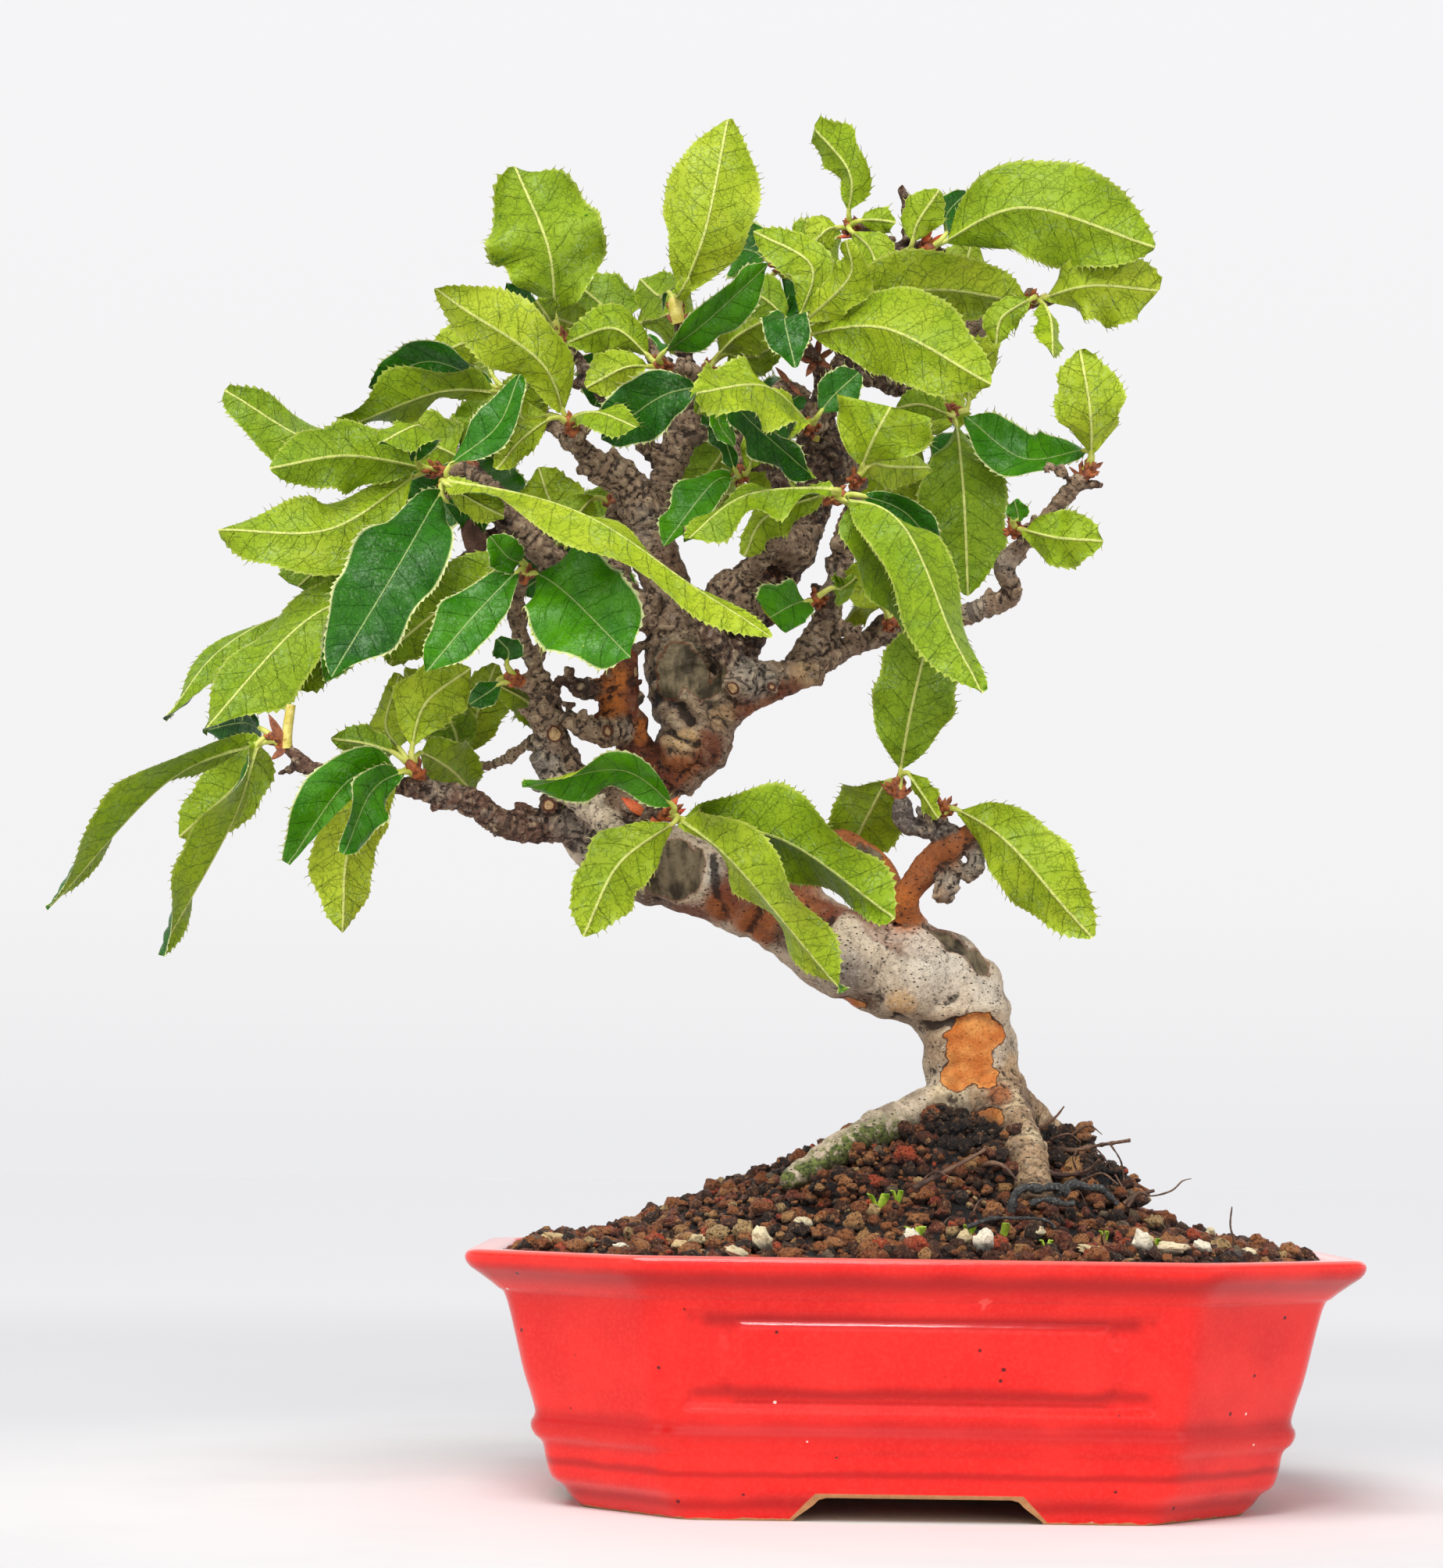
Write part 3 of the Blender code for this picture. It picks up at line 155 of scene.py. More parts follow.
def dress_piece(name, mesh, finishes, smooth_angle=40):
    """Makes a mesh a piece: its finishes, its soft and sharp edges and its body."""
    made = bpy.data.objects.new(name, mesh)
    bpy.context.scene.collection.objects.link(made)
    mesh.materials.clear()
    for finish in finishes:
        mesh.materials.append(finish)
    mesh.update()
    mesh.shade_smooth()
    mesh.set_sharp_from_angle(angle=math.radians(smooth_angle))
    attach(made, "root")
    return made


def frame_depth(along, height, half_width):
    """How deep the sunk frame is at a place on a face: it runs round a panel with hollowed corners."""
    outer = max(abs(along) - half_width, abs(height) - FRAME_HALF_HEIGHT)
    panel_x = half_width - PANEL_MARGIN[0]
    panel_z = FRAME_HALF_HEIGHT - PANEL_MARGIN[1]
    from_corner = math.hypot(abs(along) - panel_x, abs(height) - panel_z)
    panel = max(abs(along) - panel_x, abs(height) - panel_z, PANEL_NOTCH - from_corner)
    inside = smoothstep(-0.2, FRAME_SOFTNESS, -outer)
    return FRAME_SINK * inside * smoothstep(-0.2, FRAME_SOFTNESS, panel)


def pot_ring(half_width, height, wall=0.0):
    """One level of the pot, going round from its front right corner, as (x, y, z) points."""
    narrowing = RIM_HALF_WIDTH - half_width
    half_depth = RIM_HALF_DEPTH - DEPTH_PER_WIDTH * narrowing - wall
    front = RIM_FRONT_EDGE_HALF - FRONT_EDGE_PER_WIDTH * narrowing - FRONT_EDGE_PER_WALL * wall
    end = RIM_END_EDGE_HALF - END_EDGE_PER_WIDTH * narrowing - END_EDGE_PER_WALL * wall
    half_width = half_width - wall
    corners = [
        Vector(pair)
        for pair in (
            (front, -half_depth), (half_width, -end), (half_width, end), (front, half_depth),
            (-front, half_depth), (-half_width, end), (-half_width, -end), (-front, -half_depth),
        )
    ]
    ring = []
    for index, corner in enumerate(corners):
        before = corners[index - 1]
        after = corners[(index + 1) % 8]
        start = corner + (before - corner).normalized() * CORNER_ROUNDING
        stop = corner + (after - corner).normalized() * CORNER_ROUNDING
        for step in range(CORNER_STEPS):
            t = step / CORNER_STEPS
            ring.append(start * (1 - t) ** 2 + corner * 2 * t * (1 - t) + stop * t * t)
        side_end = after + (corner - after).normalized() * CORNER_ROUNDING
        face = index % 4
        count = {0: POINTS_ALONG_CUT, 1: POINTS_ALONG_END, 2: POINTS_ALONG_CUT, 3: POINTS_ALONG_FRONT}[face]
        framed = {1: END_FRAME_HALF_WIDTH, 3: FRONT_FRAME_HALF_WIDTH}.get(face) if not wall else None
        way = (after - corner).normalized()
        inward = Vector((-way.y, way.x))
        middle = (corner + after) / 2
        for step in range(count):
            point = stop.lerp(side_end, step / count)
            if framed:
                depth = frame_depth((point - middle).dot(way), height - FRAME_MIDDLE, framed)
                point = point + inward * depth
            ring.append(point)
    return [(point.x, point.y, height) for point in ring]


def stacked(rings):
    """The points and faces of a closed solid through rings of equal count, from the bottom up."""
    count = len(rings[0])
    faces = [tuple(reversed(range(count)))]
    for level in range(len(rings) - 1):
        for spoke in range(count):
            low = level * count + spoke
            low_next = level * count + (spoke + 1) % count
            faces.append((low, low_next, low_next + count, low + count))
    faces.append(tuple(range((len(rings) - 1) * count, len(rings) * count)))
    return [point for ring in rings for point in ring], faces


def arch(halves, length, turned):
    """A long prism under the pot, wider at the ground, with rounded upper corners."""
    low, high = halves
    section = [(-low - 1, -1), (low + 1, -1), (low - 0.4, 0.6), (high + 0.6, FOOT_HEIGHT - 1.3)]
    section += [(high - 0.3, FOOT_HEIGHT - 0.35), (high - 1.6, FOOT_HEIGHT)]
    section += [(-x, z) for x, z in reversed(section[2:])]
    rings = []
    for along in (-length, length):
        if turned:
            rings.append([(along, x, z) for x, z in section])
        else:
            rings.append([(x, -along, z) for x, z in section])
    return stacked(rings)


def cylinder(x, y, radius, low, high, sides=48):
    turns = [2 * math.pi * side / sides for side in range(sides)]
    return stacked([
        [(x + radius * math.cos(turn), y + radius * math.sin(turn), z) for turn in turns]
        for z in (low, high)
    ])


def raw_mesh(name, points, faces):
    mesh = bpy.data.meshes.new(name)
    mesh.from_pydata([place(point) for point in points], [], faces)
    return mesh


def worked(mesh, *steps):
    """The mesh after its modifiers, each given as its kind and settings."""
    blank = bpy.data.objects.new("blank", mesh)
    bpy.context.scene.collection.objects.link(blank)
    for kind, settings in steps:
        step = blank.modifiers.new(kind, kind)
        for name, value in settings.items():
            setattr(step, name, value)
    graph = bpy.context.evaluated_depsgraph_get()
    made = bpy.data.meshes.new_from_object(blank.evaluated_get(graph), depsgraph=graph)
    bpy.data.objects.remove(blank)
    return made


def cut(mesh, cutters):
    """The mesh with every cutter taken out of it."""
    group = bpy.data.collections.new("cutters")
    for points, faces in cutters:
        group.objects.link(bpy.data.objects.new("cutter", raw_mesh("cutter", points, faces)))
    tools = {"operand_type": "COLLECTION", "collection": group}
    made = worked(mesh, ("BOOLEAN", {"operation": "DIFFERENCE", "solver": "MANIFOLD", **tools}))
    for cutter in list(group.objects):
        bpy.data.objects.remove(cutter)
    bpy.data.collections.remove(group)
    return made


def srgb(red, green, blue):
    """A colour given as it looks on screen, 0 to 255, as linear light."""
    shares = [value / 255 for value in (red, green, blue)]
    return [s / 12.92 if s < 0.04045 else ((s + 0.055) / 1.055) ** 2.4 for s in shares] + [1]


class Wire:
    """A node's output. Arithmetic on it adds Math nodes to its finish."""

    def __init__(self, finish, socket):
        self.finish = finish
        self.socket = socket

    def maths(self, operation, *values):
        return self.finish.node("Math", {"operation": operation}, dict(enumerate(values)))

    def __add__(self, other):
        return self.maths("ADD", self, other)

    def __radd__(self, other):
        return self.maths("ADD", other, self)

    def __sub__(self, other):
        return self.maths("SUBTRACT", self, other)

    def __rsub__(self, other):
        return self.maths("SUBTRACT", other, self)

    def __mul__(self, other):
        return self.maths("MULTIPLY", self, other)

    def __rmul__(self, other):
        return self.maths("MULTIPLY", other, self)

    def __truediv__(self, other):
        return self.maths("DIVIDE", self, other)

    def __abs__(self):
        return self.maths("ABSOLUTE", self)

    def fraction(self):
        return self.maths("FRACT", self)

    def most(self, other):
        return self.maths("MAXIMUM", self, other)

    def rise(self, low, high):
        """0 below low, 1 above high and smooth between, or the other way if low is more than high."""
        settings = {"interpolation_type": "SMOOTHSTEP"}
        return self.finish.node("MapRange", settings, {0: self, 1: low, 2: high, 3: 0.0, 4: 1.0})


class Finish:
    """A material that ends in a Principled BSDF, and the colour that is laid up for it."""

    def __init__(self, name):
        self.material = bpy.data.materials.new(name)
        self.material.use_nodes = True
        self.nodes = self.material.node_tree.nodes
        self.links = self.material.node_tree.links
        self.shader = self.nodes["Principled BSDF"]
        self.place = self.node("TexCoord", {}, {}, "Object")
        self.colour = None

    def node(self, kind, settings, sockets, output=0):
        """Adds a node with its settings, then the values or wires of its sockets."""
        made = self.nodes.new("ShaderNode" + kind)
        for name, value in settings.items():
            if name == "stops":
                ramp = made.color_ramp.elements
                while len(ramp) < len(value):
                    ramp.new(0.5)
                for stop, (position, colour) in zip(ramp, value):
                    stop.position = position
                    stop.color = colour
            elif name == "between":
                made.color_ramp.interpolation = value
            else:
                setattr(made, name, value)
        for name, value in sockets.items():
            self.put(made.inputs[name], value)
        return Wire(self, made.outputs[output])

    def put(self, socket, value):
        if isinstance(value, Wire):
            self.links.new(value.socket, socket)
        else:
            socket.default_value = value

    def attribute(self, name, output="Fac"):
        return self.node("Attribute", {"attribute_name": name}, {}, output)

    def axis(self, vector, letter):
        return self.node("SeparateXYZ", {}, {0: vector}, letter)

    def scaled(self, vector, scale):
        return self.node("VectorMath", {"operation": "MULTIPLY"}, {0: vector, 1: scale})

    def noise(self, size, detail=3.0, rough=0.5, where=None):
        """Noise from 0 to 1 whose blotches are about this many millimetres across."""
        sockets = {"Scale": 1 / (size * MM), "Detail": detail, "Roughness": rough}
        return self.node("TexNoise", {}, {"Vector": where or self.place, **sockets})

    def cells(self, size, feature="F1", output="Distance", where=None):
        """Voronoi cells of this many millimetres."""
        sockets = {"Vector": where or self.place, "Scale": 1 / (size * MM)}
        return self.node("TexVoronoi", {"feature": feature}, sockets, output)

    def drawn(self, size, channel=0, where=None):
        """A number from 0 to 1 for each cell of this many millimetres."""
        return self.node("SeparateColor", {}, {0: self.cells(size, output="Color", where=where)}, channel)

    def mix(self, share, first, second):
        return self.node("Mix", {"data_type": "RGBA"}, {0: share, 6: first, 7: second}, 2)

    def bump(self, height, depth, onto=None):
        """The normal of a surface raised by a height of 0 to 1 times this many millimetres."""
        sockets = {"Height": height, "Distance": depth * MM}
        if onto:
            sockets["Normal"] = onto
        return self.node("Bump", {}, sockets)

    def lay(self, share, shade):
        """Lays a shade over the colour so far."""
        self.colour = self.mix(share, self.colour, shade)

    def dress(self, sockets):
        for name, value in {"Base Color": self.colour, **sockets}.items():
            self.put(self.shader.inputs[name], value)
        return self.material


def red_glaze():
    """Thick red glaze: paler where it thins over edges, darker in hollows where it pools and where shade is
    painted, with pinholes, painted glints, and bare clay at the feet.
    """
    finish = Finish("red_glaze")
    x = abs(finish.axis(finish.place, "X") - POT_MIDDLE.x) / MM
    y = abs(finish.axis(finish.place, "Y") - POT_MIDDLE.y) / MM
    z = finish.axis(finish.place, "Z") / MM
    clouds = finish.noise(14, 3)
    speckle = finish.noise(0.7, 2)
    finish.colour = finish.mix(clouds.rise(0.3, 0.75), srgb(222, 18, 12), srgb(240, 36, 27))
    finish.lay(speckle.rise(0.35, 0.8) * 0.3, srgb(250, 66, 54))
    edge = finish.node("NewGeometry", {}, {}, "Pointiness")
    thin = edge.rise(0.515, 0.58)
    finish.lay(thin * 0.5, srgb(250, 104, 92))
    # Darker red in concave places: the glaze pools thick there, and is darkened further as painted shade in
    # the hollows
    pooled_shade = edge.rise(0.49, 0.44)
    finish.lay(pooled_shade * 0.7, srgb(160, 0, 4))
    level = z + (clouds - 0.5) * 1.6
    # Painted shade in bands where the glaze also pools
    for height, half, reach in GLAZE_POOL_SHADES:
        pool_shade = abs(level - height).rise(half * 2.2, 0) * x.rise(reach + 3, reach)
        finish.lay(pool_shade * 0.62, srgb(150, 0, 4))
    lip = z.rise(POT_HEIGHT - 0.9, POT_HEIGHT - 0.1)
    finish.lay(lip * 0.25, srgb(255, 180, 168))
    spot = finish.cells(PINHOLE_SPACING)
    pinhole = spot.rise(0.085, 0.055) * finish.drawn(PINHOLE_SPACING).rise(0.5, 0.55)
    finish.lay(pinhole * 0.9, srgb(70, 8, 12))
    # Tiny near-white spots: painted glints of light on the glaze
    painted_glint = finish.cells(GLINT_SPACING).rise(0.045, 0.03) * finish.noise(20, 1).rise(0.45, 0.55)
    finish.lay(painted_glint, srgb(255, 214, 200))
    wander = finish.noise(3, 2) * 1.1
    front_arch = (z - FOOT_HEIGHT).most((x - FRONT_ARCH_HALVES[0] + 0.95 * z) * 0.72)
    end_arch = (z - FOOT_HEIGHT).most((y - END_ARCH_HALVES[0] + 0.83 * z) * 0.77)
    near_front = y.rise(30, 34)
    near_arch = front_arch.rise(BARE_EDGE, BARE_EDGE - 0.35) * near_front
    near_arch = near_arch.most(end_arch.rise(BARE_EDGE, BARE_EDGE - 0.35) * (1 - near_front))
    bare = near_arch.most((z + wander).rise(1.0, 0.7))
    clay = finish.mix(finish.noise(1.2, 4), srgb(206, 160, 108), srgb(160, 108, 66))
    finish.lay(bare, clay)
    ripple = finish.bump(finish.noise(9, 2), 0.12)
    dimple = finish.bump(1 - pinhole, 0.15, ripple)
    return finish.dress({
        "Roughness": 0.13 + bare * 0.6,
        "Specular IOR Level": 0.3,
        "Coat Weight": 0.15 - bare * 0.15,
        "Coat Roughness": 0.04,
        "Normal": finish.bump(finish.noise(0.4, 3) * bare, 0.2, dimple),
    })


wall = curve_through(POT_OUTSIDE, ROW_SPACING)
rings = [pot_ring(half_width, height) for half_width, height in wall]
rings += [pot_ring(half_width, height, inset) for half_width, height, inset in POT_INSIDE]
underside = [pot_ring(POT_OUTSIDE[0][0], height, FOOT_WALL) for height in (-1, UNDERSIDE_HEIGHT)]
pot_mesh = cut(raw_mesh("glazed_pot", *stacked(rings)), [
    stacked(underside),
    arch(FRONT_ARCH_HALVES, ARCH_LENGTHS[0], False),
    arch(END_ARCH_HALVES, ARCH_LENGTHS[1], True),
    *(cylinder(x, 0, DRAIN_RADIUS, *DRAIN_BORE) for x in (-DRAIN_PLACE, DRAIN_PLACE)),
])
pot = dress_piece("glazed_pot", pot_mesh, [red_glaze()], 50)
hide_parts("pot")

# Soil
# Moist fired-clay grains, lava and a little pumice, one to five millimetres across, heaped loose round
# the roots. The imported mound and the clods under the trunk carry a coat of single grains.

# Name, count, least and most size, and how finely each lump is made
GRAIN_KINDS = (
    ("crumbly_grains", 280, (2.6, 4.4), 3),
    ("clay_grains", 980, (1.8, 3.5), 2),
    ("lava_grains", 900, (1.6, 3.3), 2),
    ("fine_grains", 3900, (1.1, 2.1), 1),
)
# The bed between the loose grains
BED_GRAIN = 2.0
BED_SHADES = [
    (0, srgb(70, 42, 28)), (0.3, srgb(108, 66, 42)), (0.5, srgb(46, 30, 22)), (0.7, srgb(132, 78, 50)),
    (0.9, srgb(88, 58, 40)),
]
# The share of the grains that cling to the clods
CLINGING_SHARE = 0.2
GRAIN_SHAPES = 14
GRAIN_EDGE_ANGLE = 38
GRAIN_SINK = 0.25
GRAIN_RISE = (-0.3, 0.9)
SOIL_EDGE_CLEARANCE = 1.2
# How far above the rim soil is looked for, and the free space that a grain on a clod needs
LOOK_FROM = 60
FREE_SPACE = 3
# Clods that hang on to the roots: middle and half sizes
CLODS = (
    ((9.5, -10.5, 61), (9, 7.5, 8.5)), ((14, -14, 58), (8, 6, 6)), ((-2, -13.5, 58.5), (8.5, 6.5, 7)),
    ((-12, -16.5, 55), (8.5, 6, 6)), ((27, -3, 59.5), (7.5, 7, 8)), ((33, -7, 55), (7.5, 7, 6)),
    ((12, 14, 59), (11, 8, 8)), ((-2, 6, 58), (9, 7, 7)),
)
# Where black root mass shows instead of grains: middle, radius and count of crumbs
PEAT = (((10, -13, 68), 6.2, 260), ((27, -6, 66), 4.6, 130), ((35, -12, 60), 3.6, 60))
PEBBLE_SHAPES = 5
# Pumice pebbles: place, half sizes and turn in degrees
PEBBLES = (
    ((-64, -30), (2.6, 1.6, 1.2), 15), ((58, -40), (1.6, 1.2, 1.1), 25),
    ((-41.5, -40), (2.0, 1.6, 1.5), 20), ((-39, -36), (2.0, 1.3, 1.4), -20),
    ((-31.5, -50), (3.4, 2.0, 1.5), 20), ((-27.5, -46), (2.0, 1.8, 2.6), -30),
    ((11, -46), (1.8, 1.5, 3.2), 10), ((21.5, -34), (2.2, 1.4, 1.6), 30), ((39, -43), (1.7, 1.5, 3.6), -14),
    ((43.4, -48), (2.6, 1.8, 1.6), 0), ((30.3, -40), (2.6, 1.4, 1.0), 10), ((-1, -40), (2.4, 1.8, 1.8), 60),
    ((8, -40), (1.4, 1.2, 2.2), 0), ((49.5, -44), (2.0, 1.6, 1.5), 40), ((41.5, -30), (2.2, 1.8, 1.6), 15),
    ((-20, -30), (1.7, 1.2, 1.2), 15), ((-48, 8), (2.2, 1.6, 1.3), 0), ((40, 22), (2.0, 1.7, 1.5), 50),
    ((-8, 38), (2.4, 1.8, 1.5), 0), ((56, -4), (1.8, 1.3, 1.3), 80), ((44.5, -40), (1.3, 1.3, 1.3), 0),
    ((-52, -40), (1.5, 1.2, 1.0), 10),
)


def soil_finish():
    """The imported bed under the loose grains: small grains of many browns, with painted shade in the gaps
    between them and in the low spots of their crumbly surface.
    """
    finish = Finish("damp_earth")
    crumb = finish.noise(0.5, 4, 0.7)
    inside = finish.cells(BED_GRAIN).rise(0.75, 0.1)
    tint = finish.node("ValToRGB", {"stops": BED_SHADES}, {0: finish.drawn(BED_GRAIN)})
    # Painted shade in the low spots of the crumbly relief
    finish.colour = finish.mix(crumb.rise(0.52, 0.38) * 0.8, tint, srgb(24, 14, 9))
    # Painted shade in the gaps between the small grains
    finish.lay(inside.rise(0.55, 0.2), srgb(12, 8, 6))
    return finish.dress({
        "Roughness": 0.4 + crumb * 0.4,
        "Normal": finish.bump(crumb, 0.5, finish.bump(inside, 1.2)),
    })


def grain_finish(name, stops, pitted=1.0):
    """Rough grains, each of its own colour from the stops, pitted, with painted shade in the pits and low
    down on each grain and painted highlight where the pitted surface rises.
    """
    finish = Finish(name)
    tint = finish.node("ValToRGB", {"between": "CONSTANT", "stops": stops}, {0: finish.attribute("tint")})
    rise = finish.attribute("rise")
    pits = finish.noise(0.48, 5, 0.7)
    crust = finish.noise(1.4, 3)
    finish.colour = finish.mix(crust.rise(0.5, 0.72) * 0.4 * pitted, tint, srgb(190, 134, 86))
    # Painted shade in the sunk pits
    finish.lay(pits.rise(0.51, 0.38) * 0.85 * pitted, srgb(26, 14, 8))
    # Painted highlight where the pitted surface rises
    finish.lay(pits.rise(0.57, 0.68) * 0.6, srgb(232, 190, 146))
    # Painted shade on the lower side of each grain
    finish.lay(rise.rise(0.4, -0.6) * 0.92, srgb(12, 7, 5))
    return finish.dress({
        "Roughness": 0.28 + pits * 0.5,
        "Normal": finish.bump(pits, 1.3 * pitted),
    })


def lump(draw, detail):
    """A crumbly, cornered lump of unit size, as points and faces."""
    body = bmesh.new()
    bmesh.ops.create_icosphere(body, subdivisions=detail, radius=1)
    shift = Vector([draw.uniform(0, 50) for _ in range(3)])
    stretch = Vector((draw.uniform(0.8, 1.15), draw.uniform(0.75, 1.05), draw.uniform(0.65, 0.95)))
    points = []
    for vert in body.verts:
        size = 1 + 0.42 * noise.noise(vert.co * 1.2 + shift) + 0.34 * noise.noise(vert.co * 2.9 + shift)
        size += 0.16 * abs(noise.noise(vert.co * 5.5 + shift)) if detail > 2 else 0
        points.append(vert.co * size * stretch)
    faces = [tuple(vert.index for vert in face.verts) for face in body.faces]
    body.free()
    return points, faces


def join_on(points, faces, more_points, more_faces):
    """Adds a shape's points and faces to those of others."""
    start = len(points)
    points += more_points
    faces += [tuple(start + corner for corner in face) for face in more_faces]


def store(mesh, name, values, kind="FLOAT", field="value"):
    """Keeps one value for each point of the mesh under a name that its finish reads."""
    layer = mesh.attributes.new(name, kind, "POINT")
    layer.data.foreach_set(field, numpy.array(values, numpy.float32).ravel())


def scattered(name, shapes, spots, finish):
    """Copies of the shapes at spots of (place, turn, size, tint), joined in one piece of soil."""
    points, faces, tints, shade_heights = [], [], [], []
    for index, (spot, turn, size, tint) in enumerate(spots):
        shape_points, shape_faces = shapes[index % len(shapes)]
        offsets = [turn @ (point * size) for point in shape_points]
        join_on(points, faces, [spot + offset for offset in offsets], shape_faces)
        tints += [tint] * len(shape_points)
        # How far each point faces up, for the painted shade low on each grain
        shade_heights += [offset.normalized().z for offset in offsets]
    made = new_piece(name, points, faces, [finish], GRAIN_EDGE_ANGLE)
    store(made.data, "tint", tints)
    store(made.data, "rise", shade_heights)


def random_turn(draw):
    axis = Vector((draw.gauss(0, 1), draw.gauss(0, 1), draw.gauss(0, 1))).normalized()
    return Matrix.Rotation(draw.uniform(0, 2 * math.pi), 3, axis)


def dress_node(name, material):
    """Gives a node of the frame its material. Its shape stays as it is."""
    mesh = frame["nodes"][name].data
    mesh.materials.clear()
    mesh.materials.append(material)
    return mesh


draw = random.Random(5)
damp_earth = soil_finish()
bed = dress_node("soil", damp_earth)
ground_points = [vert.co.copy() for vert in bed.vertices]
ground_faces = [tuple(face.vertices) for face in bed.polygons]
clod_points, clod_faces, clod_outward = [], [], []
for middle, half in CLODS:
    lump_points, lump_faces = lump(draw, 4)
    stretch = Matrix.Diagonal(Vector(half))
    clod_outward += [point.normalized() for point in lump_points]
    join_on(clod_points, clod_faces, [Vector(middle) + stretch @ point for point in lump_points], lump_faces)
new_piece("root_clods", clod_points, clod_faces, [damp_earth])
join_on(ground_points, ground_faces, [place(point) for point in clod_points], clod_faces)
soil_tree = BVHTree.FromPolygons(ground_points, ground_faces)


def soil_top(x, y):
    """The height of the soil at a place, and its upward direction, or None outside it."""
    start = place((x, y, POT_HEIGHT + LOOK_FROM))
    hit, normal, _, _ = soil_tree.ray_cast(start, Vector((0, 0, -1)))
    if hit is None:
        return None
    return hit.z / MM, normal


def on_soil(x, y, size, draw):
    """One grain's place, turn, size and tint, or None outside the soil."""
    top = soil_top(x, y)
    if top is None:
        return None
    height, up = top
    spot = Vector((x, y, height + size * GRAIN_SINK)) + up * draw.uniform(*GRAIN_RISE)
    return spot, random_turn(draw), size, draw.random()


def on_clod(size, draw):
    """The same for a grain that clings to the open side of a clod, or None."""
    index = draw.randrange(len(clod_points))
    spot, out = clod_points[index], clod_outward[index]
    faces_down = out.z < -0.25
    if faces_down or soil_tree.ray_cast(place(spot + out * 0.3), out, FREE_SPACE * MM)[0] is not None:
        return None
    return spot + out * draw.uniform(*GRAIN_RISE), random_turn(draw), size, draw.random()


def in_peat(spot, middle, radius):
    return (spot - Vector(middle)).length < radius


soil_low, soil_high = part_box("soil")
half_x = (soil_high.x - soil_low.x) / 2 / MM - SOIL_EDGE_CLEARANCE
half_y = (soil_high.y - soil_low.y) / 2 / MM - SOIL_EDGE_CLEARANCE
clay_stops = [
    (0, srgb(160, 90, 48)), (0.2, srgb(182, 110, 60)), (0.34, srgb(92, 50, 30)),
    (0.5, srgb(192, 126, 74)), (0.64, srgb(126, 64, 40)), (0.76, srgb(204, 150, 92)),
    (0.84, srgb(206, 86, 48)), (0.89, srgb(58, 40, 32)), (0.96, srgb(218, 180, 122)),
]
lava_stops = [
    (0, srgb(88, 54, 36)), (0.24, srgb(42, 28, 22)), (0.46, srgb(122, 74, 46)), (0.64, srgb(140, 70, 48)),
    (0.8, srgb(176, 74, 50)), (0.86, srgb(70, 56, 46)), (0.94, srgb(132, 112, 88)),
]
clay = grain_finish("fired_clay_grain", clay_stops)
lava = grain_finish("lava_grain", lava_stops)
for name, count, (least, most), detail in GRAIN_KINDS:
    shapes = [lump(draw, detail) for _ in range(GRAIN_SHAPES)]
    spots = []
    while len(spots) < count:
        size = draw.uniform(least, most) / 2
        if len(spots) < count * CLINGING_SHARE:
            grain = on_clod(size, draw)
        else:
            grain = on_soil(draw.uniform(-half_x, half_x), draw.uniform(-half_y, half_y), size, draw)
        if grain and not any(in_peat(grain[0], middle, radius) for middle, radius, _ in PEAT):
            spots.append(grain)
    scattered(name, shapes, spots, lava if name == "lava_grains" else clay)

peat = grain_finish("black_root_mass", [
    (0, srgb(34, 24, 20)), (0.4, srgb(22, 16, 14)), (0.7, srgb(58, 38, 28)), (0.9, srgb(88, 56, 38)),
])
spots = []
for middle, radius, count in PEAT:
    made = 0
    while made < count:
        size = draw.uniform(0.5, 1.3)
        x, y = (middle[axis] + draw.uniform(-radius, radius) for axis in (0, 1))
        grain = on_soil(x, y, size, draw) if draw.random() < 0.1 else on_clod(size, draw)
        if grain and in_peat(grain[0], middle, radius + 1):
            spots.append(grain)
            made += 1
scattered("root_mass_crumbs", [lump(draw, 2) for _ in range(GRAIN_SHAPES)], spots, peat)

pumice = grain_finish("pumice", [
    (0, srgb(244, 228, 186)), (0.35, srgb(228, 206, 156)), (0.6, srgb(250, 240, 214)),
    (0.85, srgb(224, 194, 140)),
], 0.35)
spots = []
for (x, y), size, turn in PEBBLES:
    height = soil_top(x, y)[0] + size[2] * 0.75 + 0.4
    stretch = Matrix.Diagonal(Vector(size))
    tilt = Matrix.Rotation(math.radians(turn), 3, "Y") @ Matrix.Rotation(math.radians(turn * 3), 3, "Z")
    spots.append((Vector((x, y, height)), tilt @ stretch, 1, draw.random()))
scattered("pumice_pebbles", [lump(draw, 3) for _ in range(PEBBLE_SHAPES)], spots, pumice)

# Wood
# Surface roots, trunk, limbs, twigs and old cuts, grown as one piece. The lower trunk has smooth grey
# bark that peels in plates to orange new bark; the limbs above are darker, ringed and knobbed.

